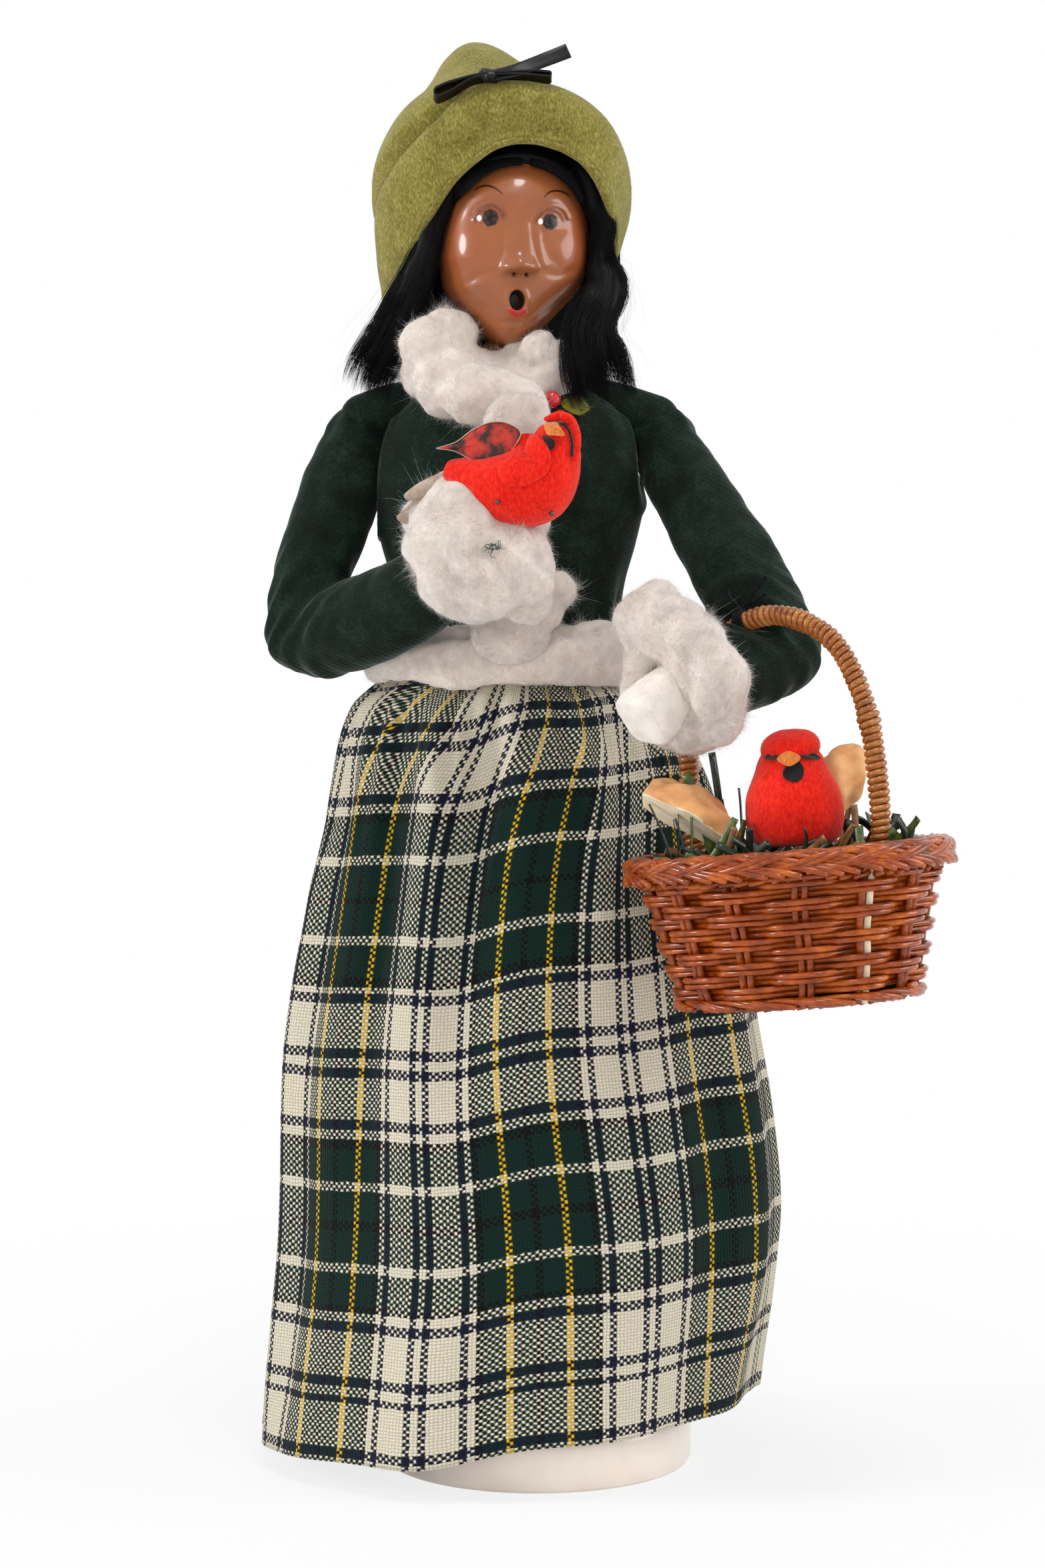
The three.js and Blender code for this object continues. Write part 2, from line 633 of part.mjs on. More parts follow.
function collarShape() {
  const bore = NECK_RADIUS + 3.5;
  const ring = furRing([bore, bore], COLLAR_HALF, 22, 0.4, 7, 0.35).translate(0, 0, NECK_Z + 2.8);
  const chinZ = NECK_Z + CHIN_RISE - RUN_GAP;
  const chinRoom = rod(new THREE.Vector3(0, 0, chinZ), new THREE.Vector3(0, 0, chinZ + 30), CHIN_ROOM, 18);
  return cut(ring, jacketSkin(SEAT_GAP), chinRoom);
}

function frontFurShape() {
  const depthAt = (rise) => -rowAt(JACKET_ROWS, rise)[1] - FRONT_FUR_HALF[1] * 0.6;
  const line = new THREE.CatmullRomCurve3(FRONT_FUR_RISES.map((rise) => new THREE.Vector3(
    FRONT_FUR_X, depthAt(rise), WAIST_Z + rise)));
  const strip = sweep(line, 12, (share) => {
    const swell = lump(share * 4, 0.9) * (0.7 + 0.3 * Math.sin(Math.PI * share));
    return oval(FRONT_FUR_HALF[0] * swell, FRONT_FUR_HALF[1] * swell, 10);
  }, { up: new THREE.Vector3(0, 1, 0) });
  return cut(strip, jacketSkin(SEAT_GAP));
}

addTo(doll, "base", baseShape(), colours.cast, 0.35);
addTo(doll, "leg_wire_right", rod(...legLine(-1, LEG_SOCKET_DEPTH - SEAT_GAP, LEG_SOCKET_DEPTH - SEAT_GAP),
  LEG_WIRE_RADIUS), colours.steel, 0.4, 0.8);
addTo(doll, "leg_wire_left", rod(...legLine(1, LEG_SOCKET_DEPTH - SEAT_GAP, LEG_SOCKET_DEPTH - SEAT_GAP),
  LEG_WIRE_RADIUS), colours.steel, 0.4, 0.8);
addTo(figure, "torso_core", coreShape(), colours.paper);
addTo(figure, "neck_wire", rod(...neckWireEnds, NECK_WIRE_RADIUS), colours.steel, 0.4, 0.8);
addTo(figure, "shoulder_wire", shoulderWire(), colours.steel, 0.4, 0.8);
addTo(figure, "waistband", waistbandShape(), colours.plaid);
addTo(figure, "skirt", skirtShape(), colours.plaid);
addTo(figure, "jacket_bodice", jacketShape(), colours.velvet);
addTo(figure, "hem_fur", hemFurShape(), colours.fur);
addTo(figure, "collar_fur", collarShape(), colours.fur);
addTo(figure, "front_fur", frontFurShape(), colours.fur);

// Arms in place
for (const side of [-1, 1]) {
  const name = side < 0 ? "right" : "left";
  addTo(figure, `upper_sleeve_${name}`, upperSleeve(side), colours.velvet);
  addTo(figure, `upper_arm_wire_${name}`, upperWire(side), colours.steel, 0.4, 0.8);
  addTo(figure, `forearm_wire_${name}`, foreWire(side), colours.steel, 0.4, 0.8);
}
addTo(figure, "lower_sleeve_right", foreSleeve(-1), colours.velvet);

// Bird in the right hand, seated in the fur of the cuff
const handBird = wrist[-1].clone().add(HAND_BIRD);
const handBirdSolid = (grow = 0) => join(stuffed(HAND_BIRD_SPINE, grow, 12, 7),
  ball(HAND_BIRD_HEAD, HAND_BIRD_HEAD_RADIUS + grow, [12, 8])).translate(...handBird.toArray());
const onBird = (geometry, turn, at) => place(geometry, turn, handBird.clone()
  .add(new THREE.Vector3(...at)).toArray());
const wingNear = onBird(flap(12, 11, 0.9), [90, 0, 8], [-7, -8.7, 2.4]);
const wingFar = onBird(flap(20, 10, 0.9), [90, 0, 186], [0, -1.5, 9]);
const birdTail = onBird(flap(14, 10, 0.9), [75, 0, 192], [-12.5, 5, 5]);
const birdCrest = onBird(flap(12, 5, 0.9), [90, 0, -58], [5.4, -1, 15.6]);
const birdBeak = aim(new THREE.ConeGeometry(1.8, 5, 6).translate(0, 2.5, 0),
  handBird.clone().add(new THREE.Vector3(5, -4.2, 11)), handBird.clone().add(new THREE.Vector3(6.4, -8, 14.4)));

addTo(figure, "hand_bird_body", handBirdSolid(), colours.red);
addTo(figure, "hand_bird_wing_near", cut(wingNear, handBirdSolid(SEAT_GAP)), colours.red);
addTo(figure, "hand_bird_wing_far", cut(wingFar, handBirdSolid(RUN_GAP)), colours.darkRed);
addTo(figure, "hand_bird_tail", cut(birdTail, handBirdSolid(SEAT_GAP), cuffSolid(-1, RUN_GAP)), colours.kraft);
addTo(figure, "hand_bird_beak", cut(birdBeak, handBirdSolid(SEAT_GAP)), colours.orange);
addTo(figure, "hand_bird_crest", cut(birdCrest, handBirdSolid(SEAT_GAP)), colours.red);
addTo(figure, "hand_right", cut(handSolid(-1), foreWire(-1, SEAT_GAP), handBirdSolid(SEAT_GAP)), colours.knit);
addTo(figure, "hand_left", cut(handSolid(1), foreWire(1, SEAT_GAP)), colours.knit);
addTo(figure, "cuff_fur_right", cut(cuffSolid(-1), handBirdSolid(SEAT_GAP)), colours.fur);

// Head, hair and hat share one frame
const headGroup = new THREE.Group();
headGroup.name = "head_and_hat";
headGroup.position.set(HEAD_SHIFT.x, HEAD_SHIFT.y, HEAD_Z);
headGroup.rotation.set(0, HEAD_ROLL, HEAD_YAW);
headGroup.updateMatrix();
figure.add(headGroup);
const intoHead = headGroup.matrix.clone().invert();

function headSolid(grow = 0) {
  const rings = HEAD_ROWS.map(([z, halfWidth, front, back]) => oval(1, 1, 20).map(([x, y]) => new THREE.Vector3(
    x * (halfWidth + grow), y * ((y < 0 ? front : back) + grow), z * (1 + grow / HEAD_TOP))));
  return loft(rings, { tips: [
    new THREE.Vector3(0, 0, HEAD_TOP + grow),
    new THREE.Vector3(0, HEAD_ROWS[HEAD_ROWS.length - 1][2] * -0.35, HEAD_CHIN - grow),
  ] });
}

function pebble([halfX, halfY, halfZ], [x, y, z], detail = [9, 6]) {
  return new THREE.SphereGeometry(1, ...detail).scale(halfX, halfY, halfZ).translate(x, y, z);
}

function headShape() {
  const neck = rod(neckFoot, neckFoot.clone().setZ(HEAD_Z - 4), NECK_RADIUS, 16).applyMatrix4(intoHead);
  const wire = rod(neckFoot.clone().setZ(NECK_Z - 1), neckWireEnds[1].clone().setZ(neckWireEnds[1].z + RUN_GAP),
    NECK_WIRE_RADIUS + RUN_GAP, 10).applyMatrix4(intoHead);
  const nose = join(pebble([2.5, 2.6, 2.3], [0, -18.6, -7]), pebble([1.6, 1.7, 6], [0, -17.6, -2.5]));
  const mouth = pebble([2, 4, 3.1], [0, -17.4, -13.6]);
  const eyes = [-1, 1].map((side) => pebble([3.6, 1.1, 2.2], [side * 6.7, -17.4, 4.6], [8, 4]));
  return cut(join(headSolid(), neck, nose), wire, mouth, ...eyes);
}

function hairCapShape() {
  const face = new THREE.CylinderGeometry(1, 1, 30, 20).scale(FACE_HALF[0], 1, FACE_HALF[1])
    .translate(0, -20.5, -2);
  const below = new THREE.BoxGeometry(60, 60, 30).translate(0, 0, -27);
  return cut(headSolid(HAIR_THICKNESS), headSolid(SEAT_GAP), face, below);
}

// A flat wavy lock of hair along points, with its width at each.
function hairLock(points, thickness, outward) {
  const curve = new THREE.CatmullRomCurve3(points.map(([x, y, z]) => new THREE.Vector3(x, y, z)));
  const widths = points.map((row, i) => [i / (points.length - 1), row[3]]);
  return sweep(curve, 9, (share) => {
    const [width] = rowAt(widths, share);
    return oval(width, thickness * (1 - 0.35 * share), 8);
  }, { up: new THREE.Vector3(...outward) });
}

function crownPoint(turn, rise, grow) {
  const bend = new THREE.QuadraticBezierCurve3(CROWN_MIDDLE, CROWN_BEND, CROWN_PEAK);
  const middle = rise < 0
    ? CROWN_MIDDLE.clone().addScaledVector(CROWN_BEND.clone().sub(CROWN_MIDDLE), 2 * rise)
    : bend.getPoint(rise);
  const up = Math.max(0, rise);
  const shrink = Math.sqrt(1 - up ** 1.7) * (1 - 0.22 * up * up);
  const tilt = CROWN_TILT * (1 - up);
  const bulge = CROWN_BULGE * Math.sin(Math.PI * Math.min(1, up * 1.5));
  const x = ((CROWN_HALF[0] + bulge) * shrink + grow) * Math.cos(turn);
  const slope = ((CROWN_HALF[1] + bulge) * shrink + grow) * Math.sin(turn);
  return middle.add(new THREE.Vector3(x, slope * Math.cos(tilt), -slope * Math.sin(tilt)));
}

function crownSolid(grow, rises, tipRise) {
  const around = 24;
  const rings = rises.map((rise) => Array.from({ length: around },
    (_, i) => crownPoint((i / around) * FULL, rise, grow)));
  const tip = CROWN_PEAK.clone().add(new THREE.Vector3(0, 0, tipRise));
  return loft(rings, { tips: [undefined, tip] });
}

function crownShape() {
  const skin = crownSolid(0, [0, 0.13, 0.3, 0.48, 0.66, 0.82, 0.92, 0.98], 0);
  const room = crownSolid(-FELT, [-0.06, 0.13, 0.35, 0.6, 0.82, 0.93], -FELT * 2);
  return cut(skin, room);
}

function brimShape() {
  const steps = 22;
  const rings = [];
  for (let i = 0; i <= steps; i += 1) {
    const swing = (i / steps) * 2 - 1;
    const turn = -Math.PI / 2 + swing * BRIM_HALF_SWEEP;
    const narrow = 1 - 0.45 * Math.abs(swing) ** 5;
    const [low, high] = BRIM_REACH;
    const loop = [[0, 0], [0.5, 0], [1, 0], [1.06, 0.5], [1, 1], [0.5, 1], [0, 1], [-0.06, 0.5]];
    rings.push(loop.map(([along, out]) => {
      const share = along * narrow;
      const lift = SEAT_GAP + BRIM_FLARE * share;
      return crownPoint(turn, low + (high - low) * share, lift + BRIM_THICKNESS * out);
    }));
  }
  return loft(rings);
}

// A strip of ribbon bent along points in the XZ plane, its width along Y.
function ribbon(points, width = RIBBON_WIDTH) {
  const curve = new THREE.CatmullRomCurve3(points.map(([x, z]) => new THREE.Vector3(x, 0, z)));
  return sweep(curve, 8, () => [
    [-width / 2, -RIBBON_THICKNESS / 2], [width / 2, -RIBBON_THICKNESS / 2],
    [width / 2, RIBBON_THICKNESS / 2], [-width / 2, RIBBON_THICKNESS / 2],
  ], { up: new THREE.Vector3(0, 0, 1) });
}

function ribbonLoop(length, height) {
  const rings = Array.from({ length: 16 }, (_, i) => {
    const turn = (i / 16) * FULL;
    const section = [[0, -1], [RIBBON_THICKNESS, -1], [RIBBON_THICKNESS, 1], [0, 1]];
    return section.map(([out, wide]) => new THREE.Vector3(
      (length / 2 + out) * Math.cos(turn), (wide * RIBBON_WIDTH) / 2, (height / 2 + out) * Math.sin(turn)));
  });
  return loft(rings, { closed: true });
}

addTo(headGroup, "head", headShape(), colours.clay, 0.25);
addTo(headGroup, "hair_cap", hairCapShape(), colours.hair, 0.6);
const headRoom = headSolid(HAIR_THICKNESS + SEAT_GAP);
const crownRoom = brimShape();
addTo(headGroup, "hair_lock_right", cut(hairLock(RIGHT_LOCK_ROWS, LOCK_THICKNESS[-1], [-0.6, -0.8, 0]),
  headRoom, crownRoom), colours.hair, 0.6);
addTo(headGroup, "hair_lock_left", cut(hairLock(LEFT_LOCK_ROWS, LOCK_THICKNESS[1], [0.4, -0.92, 0]),
  headRoom, crownRoom), colours.hair, 0.6);
addTo(headGroup, "hat_crown", crownShape(), colours.felt, 0.95);
addTo(headGroup, "hat_brim", brimShape(), colours.felt, 0.95);

const bowSeat = crownPoint(BOW_TURN, BRIM_REACH[1] * 1.05, SEAT_GAP + BRIM_FLARE + BRIM_THICKNESS * 0.5)
  .add(new THREE.Vector3(0, -3.6, 2));
const onBow = (geometry, turn, [x, y, z]) => place(geometry, turn,
  [bowSeat.x + x, bowSeat.y + y, bowSeat.z + z]);
addTo(headGroup, "bow_knot", onBow(pebble([2, 2.4, 1.9], [0, 0, 0]), [0, 0, 0], [0, 0, 0]),
  colours.ribbon, 0.3);
addTo(headGroup, "bow_loop_right", onBow(ribbonLoop(12, 2.6), [35, 14, 0], [-8.8, 0, -0.6]),
  colours.ribbon, 0.3);
addTo(headGroup, "bow_loop_left", onBow(ribbonLoop(8, 2.2), [35, -8, 0], [6.9, 0, 0.4]), colours.ribbon, 0.3);
addTo(headGroup, "bow_tail", onBow(ribbon([[0, 0], [5, 1.6], [10, 2.4], [17, 6]]), [35, 0, 0], [2.4, 2, 3.6]),
  colours.ribbon, 0.3);

// Basket, hung from the left forearm by its handle
const hang = elbow[1].clone().lerp(wrist[1], HANG_SHARE);
const WRAP_SIDES = 8; // straight steps in one turn of the cane
const wrapMiddle = (HANDLE_RADIUS + SEAT_GAP) / Math.cos(Math.PI / WRAP_SIDES) + WRAP_HALF[0];
const wrapRadius = wrapMiddle + WRAP_HALF[0];
const TIE_SIDES = 12;
const tieMiddle = (wrapRadius + SEAT_GAP) / Math.cos(Math.PI / TIE_SIDES) + TIE_RADIUS;
const hangRise = ELBOW_RADIUS + wrapRadius - HANG_DENT;
const basketGroup = new THREE.Group();
basketGroup.name = "basket";
basketGroup.rotation.set(0, BASKET_TILT, BASKET_YAW, "ZYX");

function handleCurve() {
  const shoulderZ = THREE.MathUtils.lerp(HANDLE_FOOT, HANDLE_RISE, 0.42);
  const half = [
    [HANDLE_SPAN - 1.2, HANDLE_FOOT],
    [HANDLE_SPAN + 0.6, shoulderZ],
    [HANDLE_SPAN * 0.93, THREE.MathUtils.lerp(shoulderZ, HANDLE_RISE, 0.5)],
    [HANDLE_SPAN * 0.62, THREE.MathUtils.lerp(shoulderZ, HANDLE_RISE, 0.85)],
  ];
  const points = [
    ...half.map(([x, z]) => [-x, z]), [0, HANDLE_RISE], ...half.map(([x, z]) => [x, z]).reverse(),
  ];
  return new THREE.CatmullRomCurve3(points.map(([x, z]) => new THREE.Vector3(x, 0, z)));
}

const handle = handleCurve();
const handlePoints = handle.getSpacedPoints(200);
const hangPoint = handlePoints.reduce((best, point) => (
  point.z > HANDLE_RISE / 2 && Math.abs(point.x + HANG_OFFSET) < Math.abs(best.x + HANG_OFFSET) ? point : best));
const hangInBasket = hangPoint.clone().applyEuler(basketGroup.rotation);
basketGroup.position.copy(hang).setZ(hang.z + hangRise).sub(hangInBasket);
figure.add(basketGroup);

const wallAt = (turn, z, inset) => {
  const share = z / BASKET_HEIGHT;
  return new THREE.Vector3(
    (THREE.MathUtils.lerp(BASKET_BOTTOM[0], BASKET_RIM[0], share) - inset) * Math.cos(turn),
    (THREE.MathUtils.lerp(BASKET_BOTTOM[1], BASKET_RIM[1], share) - inset) * Math.sin(turn), z);
};
const stakeTop = BASKET_HEIGHT - RIM_RADIUS - SEAT_GAP;
const weaverSwing = STAKE_RADIUS + WEAVER_HALF[0] + 0.75; // how far it stands in or out of the stakes

function basketFrameShape() {
  const floor = loft([0, BASKET_FLOOR].map((z) => Array.from({ length: 26 },
    (_, i) => wallAt((i / 26) * FULL, z, -STAKE_RADIUS))));
  const stakes = Array.from({ length: STAKES }, (_, i) => {
    const turn = (i / STAKES) * FULL;
    return rod(wallAt(turn, BASKET_FLOOR / 2, 0), wallAt(turn, stakeTop, 0), STAKE_RADIUS, 6);
  });
  return join(floor, ...stakes);
}

// Prints the least distance between rings of a winding that lie about a turn or more apart.
function reportGap(name, rings, ringsPerTurn) {
  let least = Infinity;
  for (let i = 0; i < rings.length; i += 1) {
    for (let j = i + Math.ceil(ringsPerTurn * 0.75); j < rings.length; j += 1) {
      for (const a of rings[i]) {
        for (const b of rings[j]) {
          least = Math.min(least, a.distanceTo(b));
        }
      }
    }
  }
  console.log(`${name}: least gap to itself ${least.toFixed(2)} mm`);
}

function weaverShape() {
  const perTurn = STAKES * 2;
  const count = WEAVER_TURNS * perTurn;
  const low = BASKET_FLOOR + WEAVER_HALF[1] + SEAT_GAP;
  const high = stakeTop - WEAVER_HALF[1];
  const rings = Array.from({ length: count + 1 }, (_, i) => {
    const turn = (i / perTurn) * FULL;
    const swing = weaverSwing * Math.cos((STAKES / 2) * turn);
    const z = THREE.MathUtils.lerp(low, high, i / count);
    const [thick, tall] = WEAVER_HALF;
    return [[-thick, -tall], [thick, -tall], [thick, tall], [-thick, tall]]
      .map(([out, up]) => wallAt(turn, z + up, -swing - out));
  });
  reportGap("basket_weaver", rings, perTurn);
  return loft(rings);
}

// Braided rim: three lobes that wind round the oval.
function rimShape() {
  const steps = 54;
  const twists = 9;
  const rings = Array.from({ length: steps }, (_, i) => {
    const turn = (i / steps) * FULL;
    const spin = (i / steps) * FULL * twists;
    return oval(1, 1, 7).map(([x, y]) => {
      const lobe = RIM_RADIUS * (0.88 + 0.12 * Math.cos(3 * Math.atan2(y, x) + spin));
      return wallAt(turn, BASKET_HEIGHT, -x * lobe).setZ(BASKET_HEIGHT + y * lobe);
    });
  });
  return loft(rings, { closed: true });
}

function handleSolid(grow = 0, sides = 6) {
  return sweep(handle, 18, () => oval(HANDLE_RADIUS + grow, HANDLE_RADIUS + grow, sides),
    { up: new THREE.Vector3(0, 1, 0) });
}

// Flat cane wound round the handle from above the rim on one side to the other.
function wrapShape() {
  const count = WRAP_TURNS * WRAP_SIDES;
  const length = handle.getLength();
  const bare = (BASKET_HEIGHT + RIM_RADIUS + 6 - HANDLE_FOOT) / length;
  const rings = Array.from({ length: count + 1 }, (_, i) => {
    const share = THREE.MathUtils.lerp(bare, 1 - bare, i / count);
    const turn = (i / WRAP_SIDES) * FULL;
    return [[-1, -1], [1, -1], [1, 1], [-1, 1]].map(([out, wide]) => {
      const at = share + (wide * WRAP_HALF[1]) / length;
      const ahead = handle.getTangentAt(at);
      const side = new THREE.Vector3(0, 1, 0);
      const rise = ahead.clone().cross(side);
      const radius = wrapMiddle + out * WRAP_HALF[0];
      return handle.getPointAt(at).addScaledVector(side, radius * Math.cos(turn))
        .addScaledVector(rise, radius * Math.sin(turn));
    });
  });
  reportGap("handle_wrap", rings, WRAP_SIDES);
  return loft(rings);
}

const fillTop = BASKET_HEIGHT - RIM_RADIUS - 1.2;
const wallRoom = weaverSwing + WEAVER_HALF[0] + SEAT_GAP;

function fillerShape() {
  const rows = [BASKET_FLOOR + SEAT_GAP, fillTop];
  const plug = loft(rows.map((z) => Array.from({ length: 26 },
    (_, i) => wallAt((i / 26) * FULL, z, wallRoom))));
  return cut(plug, handleSolid(SEAT_GAP));
}

const bedTop = BASKET_HEIGHT + RIM_RADIUS + 1.2;
const basketBirdSpine = [
  [BASKET_BIRD_SEAT[0], BASKET_BIRD_SEAT[1], 1.4, 6],
  [BASKET_BIRD_SEAT[0], BASKET_BIRD_SEAT[1], BASKET_BIRD_HEIGHT * 0.36, BASKET_BIRD_RADIUS],
  [BASKET_BIRD_SEAT[0], BASKET_BIRD_SEAT[1] - 0.5, BASKET_BIRD_HEIGHT * 0.68, BASKET_BIRD_RADIUS * 0.82],
  [BASKET_BIRD_SEAT[0] + 0.8, BASKET_BIRD_SEAT[1] - 0.8, BASKET_BIRD_HEIGHT * 0.93, 4],
];
const basketBirdSolid = (grow = 0) => stuffed(basketBirdSpine, grow, 12, 8).translate(0, 0, bedTop);

function breadRoll(grow = 0) {
  const spine = [[-11, 0, 0, 3.6], [-4, 0, 0.5, 6.4], [4, 0, 0.5, 6], [10, 0, 0, 3]];
  const back = new THREE.BoxGeometry(60, 20, 60).translate(0, 11.5 + grow, 0);
  return cut(stuffed(spine, grow, 10, 7), back);
}

const breadFront = (grow) => place(breadRoll(grow), [-20, 35, 28], [-11.5, -18.5, bedTop + 6.5]);
const breadBack = (grow) => place(breadRoll(grow).scale(0.85, 0.85, 0.85), [10, -62, 45], [6, 14, bedTop + 8]);

// A low mound of cut greenery with blades that stand out of it.
function greeneryShape() {
  const rows = [[fillTop + SEAT_GAP, 0.6], [BASKET_HEIGHT, 0], [bedTop - 1.5, 2], [bedTop + 0.6, 9]];
  const mound = loft(rows.map(([z, inset]) => Array.from({ length: 20 }, (_, i) => wallAt(
    (i / 20) * FULL, BASKET_HEIGHT, RIM_RADIUS + SEAT_GAP + 1 + inset).setZ(z))));
  const blades = [
    [-21, -11, -30, -15], [-4, -21, 0, -18], [-1, -17, -25, 5], [14, -18, 20, -12],
    [19, -10, 30, 10], [20, 6, 22, 20], [-8, 4, -18, 15], [-18, 8, -28, 5], [14, 18, 15, 25], [-3, 20, -8, 28],
  ].map(([x, y, leanX, leanY]) => place(new THREE.BoxGeometry(1.7, 0.6, 14).translate(0, 0, 5),
    [-leanY, leanX, leanX * 3], [x, y, bedTop - 1.5]));
  return cut(join(mound, ...blades), handleSolid(SEAT_GAP + WRAP_HALF[0] * 2 + 0.3), basketBirdSolid(SEAT_GAP),
    breadFront(SEAT_GAP), breadBack(SEAT_GAP));
}

addTo(basketGroup, "basket_frame", basketFrameShape(), colours.wicker, 0.45);
addTo(basketGroup, "basket_weaver", weaverShape(), colours.wicker, 0.45);
addTo(basketGroup, "basket_rim", rimShape(), colours.wicker, 0.45);
addTo(basketGroup, "basket_handle", handleSolid(), colours.cane, 0.45);
addTo(basketGroup, "handle_wrap", wrapShape(), colours.cane, 0.45);
addTo(basketGroup, "basket_filler", fillerShape(), colours.foam);
addTo(basketGroup, "greenery", greeneryShape(), colours.green);
addTo(basketGroup, "bread_roll_front", breadFront(0), colours.bread);
addTo(basketGroup, "bread_roll_back", breadBack(0), colours.bread);
addTo(basketGroup, "basket_bird_body", basketBirdSolid(), colours.red);
addTo(basketGroup, "basket_bird_crest", cut(place(pebble([7.5, 6.5, 3], [0, 0, 0]), [18, 0, 0],
  [BASKET_BIRD_SEAT[0] + 1, BASKET_BIRD_SEAT[1] - 1.5, bedTop + BASKET_BIRD_HEIGHT - 0.5]),
basketBirdSolid(SEAT_GAP)), colours.red);
addTo(basketGroup, "basket_bird_beak", cut(aim(new THREE.ConeGeometry(2, 5, 6).translate(0, 2.5, 0),
  new THREE.Vector3(BASKET_BIRD_SEAT[0] - 1.2, BASKET_BIRD_SEAT[1] - 7, bedTop + BASKET_BIRD_HEIGHT * 0.7),
  new THREE.Vector3(BASKET_BIRD_SEAT[0] - 3.2, BASKET_BIRD_SEAT[1] - 12, bedTop + BASKET_BIRD_HEIGHT * 0.66)),
basketBirdSolid(SEAT_GAP)), colours.orange);

// Black thread round the handle where it lies on the sleeve, knotted on top with two loose ends.
function tieShape() {
  const middle = hang.clone().setZ(hang.z + hangRise);
  const share = handlePoints.indexOf(hangPoint) / (handlePoints.length - 1);
  const ahead = handle.getTangentAt(share).applyEuler(basketGroup.rotation);
  const side = ahead.clone().cross(UP).normalize();
  const rise = side.clone().cross(ahead);
  const rings = Array.from({ length: TIE_SIDES }, (_, i) => {
    const turn = (i / TIE_SIDES) * FULL;
    const out = side.clone().multiplyScalar(Math.cos(turn)).addScaledVector(rise, Math.sin(turn));
    return oval(TIE_RADIUS, TIE_RADIUS, 4).map(([a, b]) => middle.clone()
      .addScaledVector(out, tieMiddle + a).addScaledVector(ahead, b));
  });
  const top = middle.clone().addScaledVector(rise, tieMiddle);
  const knot = ball(top, TIE_RADIUS * 2.4, [6, 4]);
  const ends = [[0.8, 0.55], [-0.35, 0.8]].map(([along, up]) => rod(top, top.clone()
    .addScaledVector(ahead, 8 * along).addScaledVector(UP, 7 * up), TIE_RADIUS, 5));
  return join(loft(rings, { closed: true }), knot, ...ends);
}

// The left sleeve is dented where the tied handle presses on it.
function dentedSleeve() {
  basketGroup.updateMatrix();
  const reach = (tieMiddle + TIE_RADIUS + SEAT_GAP) / Math.cos(Math.PI / 10);
  return cut(foreSleeve(1), handleSolid(reach - HANDLE_RADIUS, 10).applyMatrix4(basketGroup.matrix));
}

addTo(figure, "handle_tie", tieShape(), colours.ribbon, 0.5);
addTo(figure, "lower_sleeve_left", dentedSleeve(), colours.velvet);
// The fur over the left hand gives way to a roll that reaches it.
addTo(figure, "cuff_fur_left", cut(cuffSolid(1), breadFront(SEAT_GAP).applyMatrix4(basketGroup.matrix)),
  colours.fur);

// Holly on the front of the collar, on the doll's left
const holly = new THREE.Vector3(10, -20.45, NECK_Z - 1.6);
addTo(figure, "holly_berry_upper", ball(holly, 1.9, [10, 7]), colours.red, 0.3);
addTo(figure, "holly_berry_lower", ball(holly.clone().add(new THREE.Vector3(1.6, 0.6, -4)), 1.7, [10, 7]),
  colours.red, 0.3);
addTo(figure, "holly_leaf", place(flap(9, 5, 0.7), [82, 40, 0], [holly.x + 1.8, holly.y + 1.2, holly.z - 1]),
  colours.leaf, 0.6);

export default doll;
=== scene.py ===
"""Looks of the caroler doll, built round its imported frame. Shapes are written in millimetres."""
import math

import bmesh
import bpy
import numpy as np
from mathutils import Matrix, Vector


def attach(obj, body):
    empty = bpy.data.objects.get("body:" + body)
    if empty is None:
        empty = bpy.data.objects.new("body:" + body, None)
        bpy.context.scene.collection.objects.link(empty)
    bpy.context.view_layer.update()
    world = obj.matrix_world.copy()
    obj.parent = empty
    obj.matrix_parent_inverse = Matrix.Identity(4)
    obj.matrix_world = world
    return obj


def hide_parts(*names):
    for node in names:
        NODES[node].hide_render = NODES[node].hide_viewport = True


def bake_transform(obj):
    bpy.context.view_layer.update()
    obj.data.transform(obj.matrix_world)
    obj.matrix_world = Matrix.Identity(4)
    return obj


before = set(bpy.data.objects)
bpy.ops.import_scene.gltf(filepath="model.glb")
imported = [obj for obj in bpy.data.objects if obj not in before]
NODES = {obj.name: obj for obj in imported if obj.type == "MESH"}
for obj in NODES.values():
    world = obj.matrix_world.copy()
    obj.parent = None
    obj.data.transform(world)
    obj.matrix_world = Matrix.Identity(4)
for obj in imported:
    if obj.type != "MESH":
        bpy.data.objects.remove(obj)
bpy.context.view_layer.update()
MM = 0.001
FULL = 2 * math.pi
RNG = np.random.default_rng(7)


# ---- numbers and curves
def unit(v):
    v = np.asarray(v, float)
    return v / np.maximum(np.linalg.norm(v, axis=-1, keepdims=True), 1e-12)


def smooth(low, high, x):
    """0 at low, 1 at high, with soft ends; low may be the higher number."""
    t = np.clip((np.asarray(x, float) - low) / (high - low), 0, 1)
    return t * t * (3 - 2 * t)


def bell(x, middle, width):
    """1 at the middle, falling off to both sides."""
    return np.exp(-(((np.asarray(x, float) - middle) / width) ** 2))


def circle(count):
    """So many angles, evenly spaced round a full turn."""
    return np.arange(count) / count * FULL


